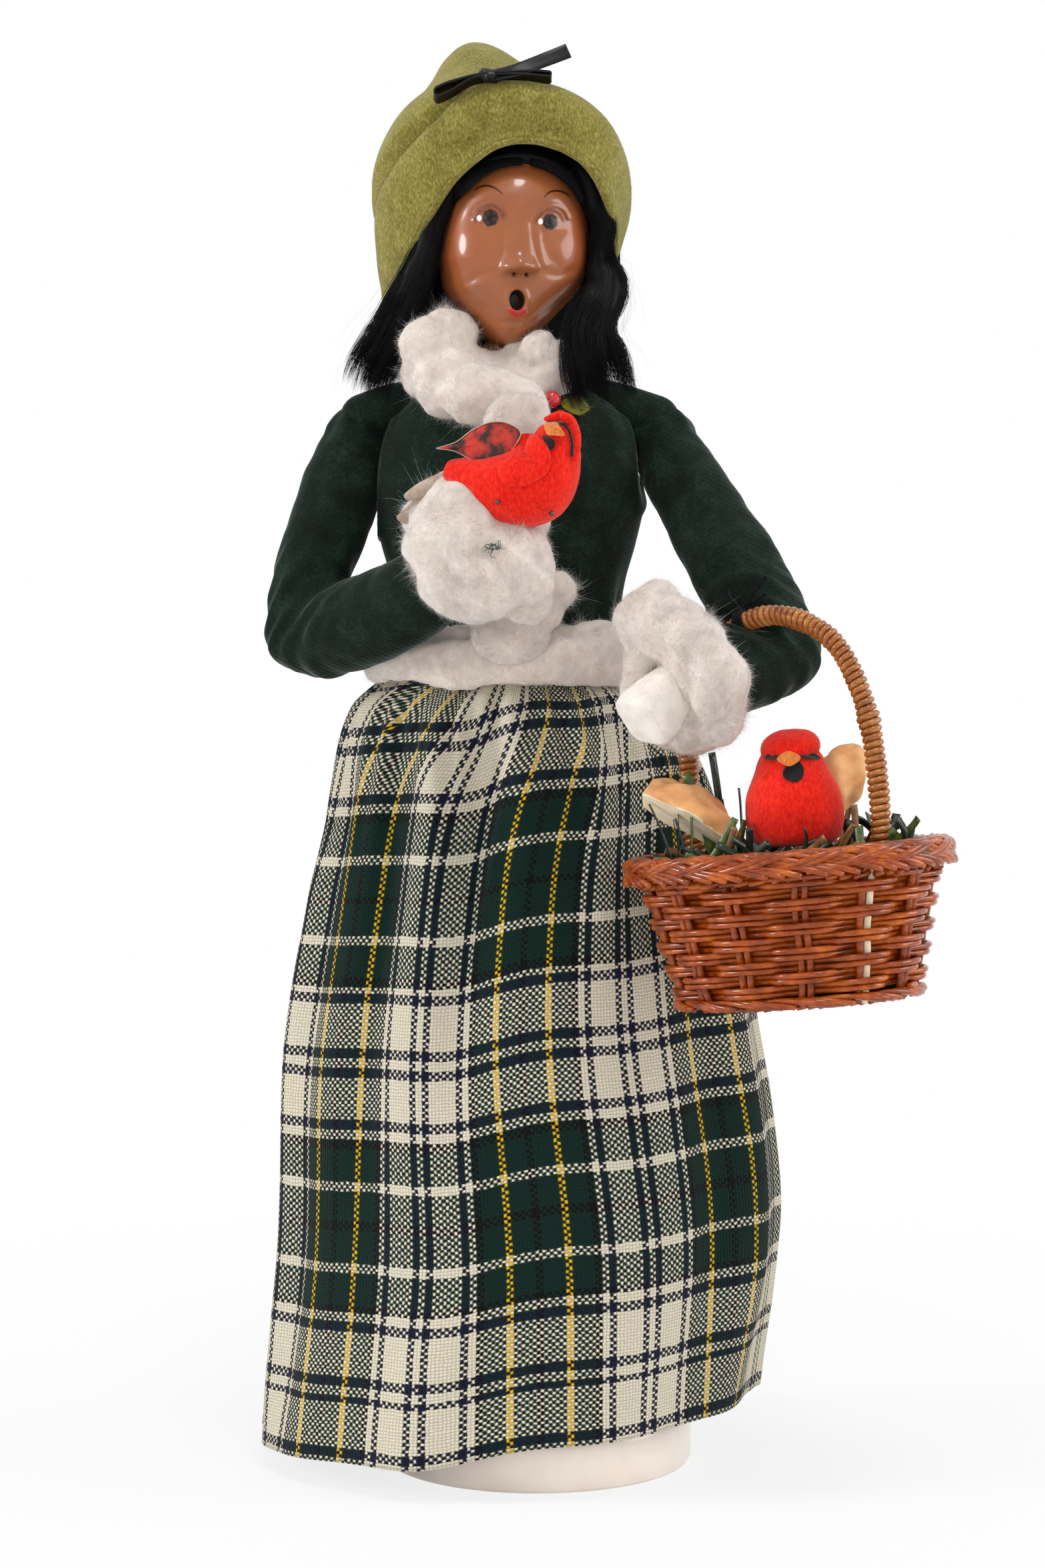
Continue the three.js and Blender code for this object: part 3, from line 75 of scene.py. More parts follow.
def noise(points, scale, seed=0):
    """Smooth value noise from -1 to 1 at points of any shape (..., 3)."""
    p = np.asarray(points, float) * scale + seed * 13.7
    cell = np.floor(p).astype(np.int64)
    part = p - cell
    part = part * part * (3 - 2 * part)
    total = np.zeros(p.shape[:-1])
    for corner in range(8):
        step = np.array([(corner >> axis) & 1 for axis in range(3)])
        c = cell + step
        h = (c[..., 0] * 73856093) ^ (c[..., 1] * 19349663) ^ (c[..., 2] * 83492791)
        h = ((h ^ (h >> 13)) * 1274126177) & 0xFFFFFFFF
        h = ((h ^ (h >> 16)) * 668265263) & 0xFFFFFFFF
        value = ((h >> 8) & 0xFFFF) / 32767.5 - 1
        total += np.prod(np.where(step, part, 1 - part), axis=-1) * value
    return total


def layers(points, scale, octaves, seed):
    """Noise with finer and weaker noise on it."""
    return sum(noise(points, scale * 2 ** k, seed + k) * 0.5 ** k for k in range(octaves))


def row_at(rows, at):
    """Smooth values between the rows of a table whose first column rises."""
    rows = np.asarray(rows, float)
    at = np.asarray(at, float)
    keys, last = rows[:, 0], len(rows) - 1
    k = np.clip(np.searchsorted(keys, at, side="right") - 1, 0, last - 1)
    step = (keys[k + 1] - keys[k])[..., None]
    s = np.clip((at - keys[k]) / step[..., 0], 0, 1)[..., None]
    index = np.arange(last + 1)
    below, above = np.maximum(index - 1, 0), np.minimum(index + 1, last)
    slope = (rows[above, 1:] - rows[below, 1:]) / (keys[above] - keys[below])[:, None]
    a, b, m0, m1 = rows[k, 1:], rows[k + 1, 1:], slope[k] * step, slope[k + 1] * step
    return ((2 * s**3 - 3 * s**2 + 1) * a + (s**3 - 2 * s**2 + s) * m0
            + (3 * s**2 - 2 * s**3) * b + (s**3 - s**2) * m1)


def spline(points, count, even=True):
    """A centripetal curve through points, as count points, evenly spaced if asked."""
    p = np.asarray(points, float)
    ends = np.vstack([2 * p[:1] - p[1:2], p, 2 * p[-1:] - p[-2:-1]])
    spans, fine = [], 24
    s = np.linspace(0, 1, fine, endpoint=False)[:, None]
    for i in range(len(p) - 1):
        x0, x1, x2, x3 = ends[i:i + 4]
        d0, d1, d2 = (max(np.linalg.norm(b - a), 1e-6) ** 0.5
                      for a, b in ((x0, x1), (x1, x2), (x2, x3)))
        t1 = ((x1 - x0) / d0 - (x2 - x0) / (d0 + d1) + (x2 - x1) / d1) * d1
        t2 = ((x2 - x1) / d1 - (x3 - x1) / (d1 + d2) + (x3 - x2) / d2) * d1
        spans.append(x1 + t1 * s + (-3 * x1 + 3 * x2 - 2 * t1 - t2) * s**2
                     + (2 * x1 - 2 * x2 + t1 + t2) * s**3)
    line = np.vstack(spans + [p[-1:]])
    if not even:
        return line
    return resample(line, count)


def resample(line, count):
    """A line as so many points, evenly spaced."""
    far = np.concatenate([[0], np.cumsum(np.linalg.norm(np.diff(line, axis=0), axis=1))])
    at = np.linspace(0, far[-1], count)
    return np.stack([np.interp(at, far, line[:, k]) for k in range(3)], axis=1)


def turn_matrix(axis, degrees):
    return np.array(Matrix.Rotation(math.radians(degrees), 3, axis))


def euler(rx, ry, rz):
    """Rotation of a point about X last, as in an XYZ Euler: Rx Ry Rz."""
    return turn_matrix("X", rx) @ turn_matrix("Y", ry) @ turn_matrix("Z", rz)


# ---- meshes
class Soup:
    """Points and faces of one piece, in millimetres, with a material number on each face."""

    def __init__(self):
        self.points, self.faces, self.tags, self.count = [], [], [], 0

    def add(self, points, faces, tag=0):
        points = np.asarray(points, float).reshape(-1, 3)
        for face in faces if isinstance(faces, list) else [faces]:
            face = np.asarray(face, int)
            self.faces.append(face + self.count)
            self.tags.append(np.full(len(face), tag))
        self.points.append(points)
        self.count += len(points)
        return self

    def all_points(self):
        return np.vstack(self.points)


def grid_faces(rows, cols, wrap=True, wrap_rows=False):
    i = np.arange(rows if wrap_rows else rows - 1)[:, None]
    j = np.arange(cols if wrap else cols - 1)[None]
    n, m = (i + 1) % rows, (j + 1) % cols
    quad = np.broadcast_arrays(i * cols + j, i * cols + m, n * cols + m, n * cols + j)
    return np.stack(quad, -1).reshape(-1, 4)


def closed_loft(rings):
    """Points and faces of a surface through rings, closed with a point at each end."""
    rings = np.asarray(rings, float)
    rows, cols = rings.shape[:2]
    points = np.vstack([rings.reshape(-1, 3), rings[0].mean(0), rings[-1].mean(0)])
    j = np.arange(cols)
    m, top, end = (j + 1) % cols, rows * cols, (rows - 1) * cols
    caps = [np.stack([np.full(cols, top), m, j], 1),
            np.stack([np.full(cols, top + 1), end + j, end + m], 1)]
    return points, [grid_faces(rows, cols), *caps]


def lofted(rings):
    return Soup().add(*closed_loft(rings))


def frames(path, up):
    """Unit side and rise vectors along a path, kept to a direction."""
    ahead = unit(np.gradient(np.asarray(path, float), axis=0))
    side = unit(np.cross(ahead, np.asarray(up, float)))
    return ahead, side, np.cross(side, ahead)


def carried_frames(path):
    """Side and rise vectors along a path that turn as little as they can."""
    ahead = unit(np.gradient(path, axis=0))
    first = np.cross(ahead[0], [0.31, 0.17, 0.93])
    side = np.zeros_like(path)
    side[0] = unit(first)
    for i in range(1, len(path)):
        side[i] = unit(side[i - 1] - ahead[i] * (side[i - 1] @ ahead[i]))
    return ahead, side, np.cross(ahead, side)


def tube(path, radius, sides, closed=False, flat=1.0, up=None):
    """A tube along a path; flat is its thickness across rise, as a share of the radius."""
    path = np.asarray(path, float)
    _, side, rise = carried_frames(path) if up is None else frames(path, up)
    radius = np.broadcast_to(np.asarray(radius, float), len(path))
    turn = circle(sides)
    rings = (path[:, None] + radius[:, None, None] * (
        np.cos(turn)[None, :, None] * side[:, None]
        + flat * np.sin(turn)[None, :, None] * rise[:, None]))
    if closed:
        return rings.reshape(-1, 3), [grid_faces(len(path), sides, True, True)]
    return closed_loft(rings)


STRAND_TIP = 0.3  # share of its radius that a strand has at its end


def strands(paths, radius, sides=3):
    """Closed thin tubes along many paths of shape (strands, points, 3)."""
    count, steps, _ = paths.shape
    ahead = unit(np.gradient(paths, axis=1))
    side = unit(np.cross(ahead, unit(np.array([0.37, 0.21, 0.9]))))
    rise = np.cross(ahead, side)
    turn = circle(sides)
    taper = np.linspace(1, STRAND_TIP, steps - 1)
    size = np.broadcast_to(np.asarray(radius, float), count)[:, None] * taper
    rings = paths[:, :-1, None] + size[..., None, None] * (
        np.cos(turn)[:, None] * side[:, :-1, None] + np.sin(turn)[:, None] * rise[:, :-1, None])
    each = (steps - 1) * sides + 1
    points = np.concatenate([rings.reshape(count, -1, 3), paths[:, -1:]], axis=1)
    j = np.arange(sides)
    m, last = (j + 1) % sides, (steps - 2) * sides
    quads = grid_faces(steps - 1, sides)
    tips = np.stack([last + j, last + m, np.full(sides, each - 1)], 1)
    start = (np.arange(count) * each)[:, None, None]
    caps = j[::-1][None]
    return points.reshape(-1, 3), [(quads + start).reshape(-1, 4), (tips + start).reshape(-1, 3),
                                   (caps + start).reshape(-1, sides)]


def fill_mesh(mesh, points, faces, tags=None):
    sizes = np.concatenate([np.full(len(f), f.shape[1]) for f in faces]).astype(np.int32)
    loops = np.concatenate([f.ravel() for f in faces]).astype(np.int32)
    mesh.vertices.add(len(points))
    mesh.vertices.foreach_set("co", (points * MM).astype(np.float32).ravel())
    mesh.loops.add(len(loops))
    mesh.loops.foreach_set("vertex_index", loops)
    mesh.polygons.add(len(sizes))
    starts = np.concatenate([[0], np.cumsum(sizes)[:-1]]).astype(np.int32)
    mesh.polygons.foreach_set("loop_start", starts)
    mesh.polygons.foreach_set("use_smooth", np.ones(len(sizes), bool))
    if tags is not None:
        mesh.polygons.foreach_set("material_index", np.concatenate(tags).astype(np.int32))
    mesh.update(calc_edges=True)


def read(items, key, width=None):
    """One property of all items of a mesh: whole numbers, or rows of so many floats."""
    values = np.zeros(len(items) * (width or 1), np.float32 if width else np.int32)
    items.foreach_get(key, values)
    return values.reshape(-1, width).astype(float) if width else values


def outward(mesh):
    """Turns the faces of closed shapes to look outwards."""
    work = bmesh.new()
    work.from_mesh(mesh)
    bmesh.ops.recalc_face_normals(work, faces=work.faces)
    work.to_mesh(mesh)
    work.free()


def piece(name, soup, materials, body=None, stands_for=(), uv=None, uv_span=None, paint=None,
          turn_out=True):
    """One object of the doll. uv and paint hold a value for each point; uv_span is u's full turn."""
    mesh = bpy.data.meshes.new(name)
    fill_mesh(mesh, soup.all_points(), soup.faces, soup.tags)
    if paint is not None:
        colours = np.ones((len(paint), 4), np.float32)
        colours[:, :3] = paint
        mesh.attributes.new("paint", "FLOAT_COLOR", "POINT").data.foreach_set("color", colours.ravel())
    if turn_out:
        outward(mesh)
    if uv is not None:
        index, starts = read(mesh.loops, "vertex_index"), read(mesh.polygons, "loop_start")
        spread = np.asarray(uv, np.float32)[index]
        if uv_span:
            highest = np.maximum.reduceat(spread[:, 0], starts)
            sizes = np.diff(np.append(starts, len(index)))
            spread[:, 0] += uv_span * (np.repeat(highest, sizes) - spread[:, 0] > uv_span / 2)
        mesh.uv_layers.new(name="cloth").data.foreach_set("uv", spread.ravel())
    thing = bpy.data.objects.new(name, mesh)
    bpy.context.scene.collection.objects.link(thing)
    for m in materials if isinstance(materials, list) else [materials]:
        mesh.materials.append(m)
    if body:
        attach(thing, body)
    if stands_for:
        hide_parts(*stands_for)
    return thing


def fuse(soup, voxel, rounds):
    """One closed skin round overlapping shapes, with its normals."""
    mesh = bpy.data.meshes.new("fused")
    fill_mesh(mesh, soup.all_points(), soup.faces)
    outward(mesh)
    thing = bpy.data.objects.new("fused", mesh)
    bpy.context.scene.collection.objects.link(thing)
    remesh = thing.modifiers.new("remesh", "REMESH")
    remesh.mode, remesh.voxel_size, remesh.use_smooth_shade = "VOXEL", voxel * MM, True
    soften = thing.modifiers.new("soften", "SMOOTH")
    soften.factor, soften.iterations = 0.5, rounds
    made = thing.evaluated_get(bpy.context.evaluated_depsgraph_get()).to_mesh()
    points, normals = read(made.vertices, "co", 3) / MM, read(made.vertices, "normal", 3)
    loops = read(made.loops, "vertex_index")
    sizes, starts = read(made.polygons, "loop_total"), read(made.polygons, "loop_start")
    faces = [np.stack([loops[starts[sizes == n] + k] for k in range(n)], 1)
             for n in (3, 4) if (sizes == n).any()]
    thing.to_mesh_clear()
    bpy.data.objects.remove(thing)
    bpy.data.meshes.remove(mesh)
    return points, faces, normals


def normals_of(points, faces):
    """A unit normal for each point, from the faces round it."""
    total = np.zeros_like(points)
    for f in faces:
        across = np.cross(points[f[:, 1]] - points[f[:, 0]], points[f[:, 2]] - points[f[:, 0]])
        for k in range(f.shape[1]):
            np.add.at(total, f[:, k], across)
    return unit(total)


def scatter(points, normals, faces, count):
    """So many points on a skin, by area, with their normals."""
    tris = np.vstack([np.vstack([f[:, [0, k, k + 1]] for k in range(1, f.shape[1] - 1)]) for f in faces])
    a, b, c = (points[tris[:, k]] for k in range(3))
    area = np.linalg.norm(np.cross(b - a, c - a), axis=1)
    pick = RNG.choice(len(tris), count, p=area / area.sum())
    r1, r2 = np.sqrt(RNG.random(count)), RNG.random(count)
    w = np.stack([1 - r1, r1 * (1 - r2), r1 * r2], 1)[..., None]
    at = (w * points[tris[pick]]).sum(1)
    return at, unit((w * normals[tris[pick]]).sum(1))


def ball(centre, half, sides=24, rows=14):
    """Points and faces of an ellipsoid."""
    half = np.broadcast_to(np.asarray(half, float), 3)
    lift = (np.arange(rows) + 0.5) / rows * math.pi
    turn = circle(sides)
    rings = np.stack([np.sin(lift)[:, None] * np.cos(turn), np.sin(lift)[:, None] * np.sin(turn),
                      np.broadcast_to(np.cos(lift)[:, None], (rows, sides))], -1)
    return closed_loft(rings * half + np.asarray(centre, float))


# ---- materials
def tone(text):
    """A colour written as RRGGBB, as the linear values that a shader takes."""
    parts = [int(text[i:i + 2], 16) / 255 for i in (0, 2, 4)]
    return tuple(p / 12.92 if p <= 0.04045 else ((p + 0.055) / 1.055) ** 2.4 for p in parts) + (1.0,)


class Paint:
    """A material with short ways to add nodes. Inputs are set on the shader's own sockets."""

    def __init__(self, name, **inputs):
        self.material = bpy.data.materials.new(name)
        self.material.use_nodes = True
        self.tree = self.material.node_tree
        self.shader = self.tree.nodes["Principled BSDF"]
        for key, value in inputs.items():
            self.shader.inputs[key.replace("_", " ")].default_value = value
        self.place = self.tree.nodes.new("ShaderNodeTexCoord").outputs["Object"]

    def node(self, kind, values=None, **props):
        made = self.tree.nodes.new("ShaderNode" + kind)
        for key, value in props.items():
            setattr(made, key, value)
        for key, value in (values or {}).items():
            if isinstance(value, bpy.types.NodeSocket):
                self.tree.links.new(value, made.inputs[key])
            else:
                made.inputs[key].default_value = value
        return made

    def math(self, operation, *values):
        return self.node("Math", dict(enumerate(values)), operation=operation).outputs[0]

    def weigh(self, first, share, second, rest):
        """A weighted sum of two values."""
        return self.math("MULTIPLY_ADD", first, share, self.math("MULTIPLY", second, rest))

    def rows(self, value, pitch):
        """Waves along a value, so many radians to a unit of it."""
        return self.math("SINE", self.math("MULTIPLY", value, pitch))

    def noise(self, scale, detail=4.0, rough=0.55, stretch=None):
        vector = self.place
        if stretch:
            vector = self.node("Mapping", {"Vector": vector, "Scale": stretch}).outputs[0]
        return self.node("TexNoise", {"Vector": vector, "Scale": scale, "Detail": detail,
                                      "Roughness": rough}).outputs["Fac"]

    def mix(self, share, first, second, blend="MIX"):
        return self.node("Mix", {0: share, 6: first, 7: second}, data_type="RGBA", blend_type=blend).outputs[2]

    def ramp(self, share, stops, constant=False):
        made = self.node("ValToRGB", {"Fac": share})
        made.color_ramp.interpolation = "CONSTANT" if constant else "LINEAR"
        entries = made.color_ramp.elements
        entries.remove(entries[1])
        for k, (at, colour) in enumerate(stops):
            entry = entries.new(at) if k else entries[0]
            entry.position = at
            entry.color = colour if hasattr(colour, "__len__") else (colour, colour, colour, 1)
        return made.outputs["Color"]

    def colour(self, socket):
        self.tree.links.new(socket, self.shader.inputs["Base Color"])

    def rough(self, share, low, high):
        made = self.node("MapRange", {"Value": share, "To Min": low, "To Max": high})
        self.tree.links.new(made.outputs[0], self.shader.inputs["Roughness"])

    def bump(self, height, strength, depth):
        made = self.node("Bump", {"Height": height, "Strength": strength, "Distance": depth * MM})
        self.tree.links.new(made.outputs[0], self.shader.inputs["Normal"])


def mottled(name, dark, light, scale, rough, low=0.35, high=0.65, bump=None, stretch=None, **inputs):
    """A material whose colour and gloss wander between two values."""
    paint = Paint(name, **inputs)
    field = paint.noise(scale, stretch=stretch)
    paint.colour(paint.ramp(field, [(low, tone(dark)), (high, tone(light))]))
    paint.rough(field, *rough)
    if bump:
        fine, strength, depth = bump
        paint.bump(paint.noise(fine, 3, stretch=stretch), strength, depth)
    return paint.material


def plaid_material():
    """Wool tartan in plain weave: each cell shows its warp or its weft yarn."""
    white, navy, black, green, yellow = (tone(c) for c in ("ebe2cb", "141a30", "0d0c0d", "0c2822", "e0b41c"))
    colours = {"W": white, "N": navy, "K": black, "G": green, "Y": yellow}
    # Each run is a colour and its count of units.
    runs = {
        "warp": "W2 N2 W8 N2 W2 N2 W8 N2 W2 K2 G6 Y2 G6 K2 G6 Y2 G6 K2",
        "weft": "W2 N2 W10 N2 W2 N2 W10 N2 W2 K2 G7 W2 G7 K2 G7 W2 G7 K2",
    }
    finer = {"warp": 1.0, "weft": 1.4}  # threads to a unit of the coordinates
    paint = Paint("plaid", Roughness=0.95, Sheen_Weight=0.05, Sheen_Roughness=0.5, Specular_IOR_Level=0.15)
    uv = paint.node("UVMap", uv_map="cloth").outputs[0]

    def cloth_noise(scale, detail, rough):
        return paint.node("TexNoise", {"Vector": uv, "Scale": scale, "Detail": detail, "Roughness": rough}).outputs

    wander = cloth_noise(0.5, 3.0, 0.65)["Color"]
    shift = paint.node("VectorMath", {0: wander, 1: (0.5, 0.5, 0.5)}, operation="SUBTRACT").outputs[0]
    shift = paint.node("VectorMath", {0: shift, "Scale": 0.95}, operation="SCALE").outputs[0]
    moved = paint.node("VectorMath", {0: uv, 1: shift}, operation="ADD").outputs[0]
    split = paint.node("SeparateXYZ", {0: moved})
    yarns = {}
    for key, axis in (("warp", 0), ("weft", 1)):
        total = sum(int(run[1:]) for run in runs[key].split())
        at, stops = 0, []
        for run in runs[key].split():
            stops.append((at / total, colours[run[0]]))
            at += int(run[1:])
        threads = paint.math("MULTIPLY", split.outputs[axis], finer[key])
        whole = paint.math("FLOOR", threads)
        middle = paint.math("DIVIDE", paint.math("ADD", whole, 0.5), finer[key])
        share = paint.math("FRACT", paint.math("DIVIDE", middle, float(total)))
        part = paint.math("SUBTRACT", paint.math("FRACT", threads), 0.5)
        yarns[key] = (whole, paint.ramp(share, stops, constant=True), part)
    over = paint.math("PINGPONG", paint.math("ADD", yarns["warp"][0], yarns["weft"][0]), 1.0)
    upper = paint.mix(over, yarns["weft"][1], yarns["warp"][1])
    under = paint.mix(over, yarns["warp"][1], yarns["weft"][1])

    # Height of the yarn on top: round across, humped along.
    def arch(part, fall):
        return paint.math("SUBTRACT", 1.0, paint.math("MULTIPLY", paint.math("MULTIPLY", part, part), fall))

    def hump(across, along):
        return paint.math("MULTIPLY", arch(across, 3.6), arch(along, 2.6))

    u, v = yarns["warp"][2], yarns["weft"][2]
    height = paint.node("Mix", {0: over, 2: hump(v, u), 3: hump(u, v)}).outputs[0]
    fibre, hair = cloth_noise(3.2, 5.0, 0.7)["Fac"], cloth_noise(6.5, 4.0, 0.75)["Fac"]
    pale = paint.node("RGBToBW", {0: upper}).outputs[0]
    shows = paint.math("MULTIPLY_ADD", pale, -0.42, paint.math("MULTIPLY_ADD", hair, 1.1, height))
    covers = paint.node("MapRange", {"Value": shows, "From Min": 0.5, "From Max": 0.95},
                        interpolation_type="SMOOTHSTEP").outputs[0]
    cloth = paint.mix(covers, under, upper)
    shade = paint.ramp(paint.weigh(fibre, 0.55, height, 0.7), [(0.1, 0.45), (0.95, 1.0)])
    paint.colour(paint.mix(1.0, cloth, shade, "MULTIPLY"))
    paint.bump(paint.math("MULTIPLY_ADD", fibre, 0.45, height), 0.75, 0.35)
    return paint.material


def velvet_material():
    """Short dark pile in slanting rows."""
    paint = Paint("velvet", Roughness=0.9, Sheen_Weight=0.3, Sheen_Roughness=0.3,
                  Sheen_Tint=(0.58, 0.7, 0.62, 1), Specular_IOR_Level=0.12)
    nap = paint.noise(140, 5, 0.62)
    grain = paint.noise(1500, 2, 0.6)
    both = paint.weigh(grain, 0.42, nap, 0.62)
    paint.colour(paint.ramp(both, [(0.34, tone("09110c")), (0.52, tone("121e18")), (0.72, tone("22342a"))]))
    split = paint.node("SeparateXYZ", {0: paint.place})
    slant = paint.math("ADD", split.outputs[2], paint.math("MULTIPLY", split.outputs[0], 0.5))
    rows = paint.rows(slant, 6300.0)
    paint.bump(paint.math("MULTIPLY_ADD", rows, 0.3, grain), 0.5, 0.16)
    return paint.material


def fur_material(name, dark, tint):
    """White fleece that lets light through."""
    paint = Paint(name, Roughness=1.0, Sheen_Weight=0.25, Sheen_Roughness=0.6, Specular_IOR_Level=0.1,
                  Subsurface_Weight=0.6, Subsurface_Scale=0.0025, Subsurface_Radius=(1.0, 0.9, 0.8))
    field = paint.noise(210, 5, 0.6)
    paint.colour(paint.ramp(field, [(0.3, tone(dark)), (0.62, tone(tint))]))
    paint.bump(paint.noise(900, 5, 0.7, stretch=(1, 1, 0.35)), 0.5, 0.3)
    return paint.material


def knit_material():
    """White knit in crossing ribs."""
    paint = Paint("knit", Roughness=0.9, Sheen_Weight=0.2, Sheen_Roughness=0.5)
    split = paint.node("SeparateXYZ", {0: paint.place})
    turned = paint.math("ADD", split.outputs[2], paint.math("MULTIPLY", split.outputs[0], 0.8))
    ribs = paint.rows(turned, 9000.0)
    loops = paint.rows(paint.math("SUBTRACT", split.outputs[0], split.outputs[2]), 7000.0)
    both = paint.math("MULTIPLY_ADD", loops, 0.4, ribs)
    field = paint.noise(260, 4)
    paint.colour(paint.ramp(field, [(0.3, tone("dcd2c8")), (0.65, tone("eee8e0"))]))
    paint.bump(both, 0.3, 0.12)
    return paint.material


def clay_material():
    """Painted and lacquered clay; the paint is held on the points of the mesh."""
    paint = Paint("clay", Roughness=0.3, Coat_Weight=0.5, Coat_Roughness=0.1, Specular_IOR_Level=0.25)
    colours = paint.node("Attribute", attribute_name="paint").outputs["Color"]
    pale = paint.node("RGBToBW", {0: colours}).outputs[0]
    gloss = paint.node("MapRange", {"Value": pale, "From Min": 0.03, "From Max": 0.07,
                                    "To Min": 0.03, "To Max": 0.5})
    paint.tree.links.new(gloss.outputs[0], paint.shader.inputs["Coat Weight"])
    field = paint.noise(320, 4)
    paint.colour(paint.mix(0.22, colours, paint.ramp(field, [(0.35, 0.72), (0.65, 1.0)]), "MULTIPLY"))
    paint.rough(field, 0.26, 0.4)
    paint.bump(paint.noise(420, 2), 0.1, 0.1)
    return paint.material


def felt_material(name, dark, middle, light, fuzz, **inputs):
    """Pressed wool: fine streaks, a soft sheen and a rough surface."""
    paint = Paint(name, Roughness=0.95, Sheen_Weight=0.3, Sheen_Roughness=0.55, Specular_IOR_Level=0.1, **inputs)
    streak = paint.noise(fuzz, 4, 0.7, stretch=(1, 1, 0.45))
    field = paint.weigh(streak, 0.8, paint.noise(200, 3), 0.2)
    paint.colour(paint.ramp(field, [(0.33, tone(dark)), (0.5, tone(middle)), (0.68, tone(light))]))
    paint.bump(paint.noise(fuzz * 0.8, 4, 0.7), 0.55, 0.28)
    return paint.material


def rod_material(name, dark, middle, light):
    """Varnished willow or cane: streaks along the grain and a glossy coat."""
    paint = Paint(name, Coat_Weight=0.6, Coat_Roughness=0.07, Specular_IOR_Level=0.2)
    field = paint.weigh(paint.noise(160, 3), 0.55, paint.noise(900, 3, stretch=(0.5, 0.5, 1.6)), 0.45)
    paint.colour(paint.ramp(field, [(0.32, tone(dark)), (0.5, tone(middle)), (0.68, tone(light))]))
    paint.rough(field, 0.28, 0.42)
    paint.bump(paint.noise(1300, 3), 0.25, 0.08)
    return paint.material


PLAID = plaid_material()
VELVET = velvet_material()
# Lit and shaded copies of the fur: the mass is painted darker as shade between the fibres, and the fibres paler as lit.
SHADED_FUR = fur_material("fur", "d2c4b9", "e4d7cc")
LIT_FIBRE = fur_material("lit_fur_fibre", "f0e5db", "faf2e9")
KNIT = knit_material()
CLAY = clay_material()
FELT = felt_material("olive_felt", "564f1b", "7e7533", "a99f5b", fuzz=2300, Sheen_Tint=(0.9, 0.9, 0.6, 1))
RED = felt_material("red_felt", "bd1209", "e21d12", "f0361f", fuzz=1500, Sheen_Tint=(1, 0.5, 0.4, 1))
BLACK_FELT = felt_material("black_felt", "0b0909", "151112", "241c1c", fuzz=1500)
ORANGE = felt_material("orange_felt", "b9561c", "d5742d", "e58e45", fuzz=1500)
WICKER = rod_material("wicker", "551c01", "993f04", "c66413")
CANE = rod_material("cane", "6e3410", "a05e26", "c68848")
HAIR = mottled("hair", "050405", "0c0a0b", 500, rough=(0.5, 0.68), stretch=(1, 1, 0.2),
               Specular_IOR_Level=0.18)
SATIN = mottled("satin", "030304", "0a0a0c", 420, rough=(0.3, 0.45), bump=(2600, 0.3, 0.05),
                Specular_IOR_Level=0.3)
CAST = mottled("cast", "f4e6d9", "fff3e6", 60, rough=(0.2, 0.3), bump=(260, 0.06, 0.1),
               Coat_Weight=0.35, Coat_Roughness=0.15)
STEEL = mottled("steel", "6f7276", "9a9da1", 300, rough=(0.28, 0.45), bump=(900, 0.1, 0.05),
                Metallic=0.95)
PIN = mottled("pin", "3a4036", "5b6257", 300, rough=(0.4, 0.55), Metallic=0.5)
PAPER = mottled("paper", "bfae90", "dccfb4", 180, rough=(0.85, 0.95), bump=(700, 0.5, 0.2))
CRUST = mottled("crust", "cf8a50", "e7b37c", 150, low=0.3, high=0.62, rough=(0.72, 0.9), bump=(1100, 0.35, 0.2))
CRUMB = mottled("crumb", "e6d3b0", "f2e6ca", 300, rough=(0.85, 0.95), bump=(900, 0.3, 0.2))
STRIP_DARK, STRIP_LIGHT, STRIP_BROWN = (
    mottled(name, dark, light, 500, rough=rough, bump=(3000, 0.4, 0.1))
    for name, dark, light, rough in (("strip_dark", "16221a", "24352a", (0.25, 0.4)),
                                     ("strip_light", "33451c", "55692c", (0.25, 0.4)),
                                     ("strip_brown", "6a4626", "9a7040", (0.35, 0.5))))
FILL = mottled("fill", "17130c", "2f2a18", 400, rough=(0.8, 0.95), bump=(800, 0.6, 0.4))
BERRY = mottled("berry", "b5121b", "d81f28", 260, rough=(0.18, 0.3), Coat_Weight=0.5, Coat_Roughness=0.1)
LEAF = mottled("leaf", "5a5a12", "8d8a26", 420, rough=(0.6, 0.8), bump=(1500, 0.4, 0.1))
THREAD = mottled("thread", "050506", "101013", 1500, rough=(0.7, 0.9), bump=(3500, 0.5, 0.05),
                 Specular_IOR_Level=0.2)
GREEN_THREAD = mottled("green_thread", "1c3d30", "335a48", 1500, rough=(0.6, 0.8), bump=(3500, 0.5, 0.05))
WING = mottled("printed_wing", "250b07", "bf2a16", 240, low=0.38, high=0.55, rough=(0.3, 0.5),
               bump=(900, 0.2, 0.1))
KRAFT = mottled("kraft", "8f7c6c", "b9a795", 300, rough=(0.5, 0.7), bump=(900, 0.25, 0.1))


# ---- camera, light and floor
CAMERA_AT, CAMERA_TO = np.array([-3.3, -850.0, 220.0]), np.array([-3.3, 0.0, 159.1])
FOCAL_PX, IMAGE_WIDTH, IMAGE_HEIGHT, SENSOR = 5470, 1568, 2352, 36
camera = bpy.data.objects.new("camera", bpy.data.cameras.new("camera"))
bpy.context.scene.collection.objects.link(camera)
camera.location = Vector(CAMERA_AT * MM)
camera.rotation_euler = Vector((CAMERA_TO - CAMERA_AT) * MM).to_track_quat("-Z", "Y").to_euler()
camera.data.sensor_width = SENSOR
camera.data.lens = SENSOR * FOCAL_PX / IMAGE_HEIGHT
camera.data.clip_start, camera.data.clip_end = 0.01, 20
bpy.context.scene.camera = camera
bpy.context.scene.view_settings.view_transform = "Standard"


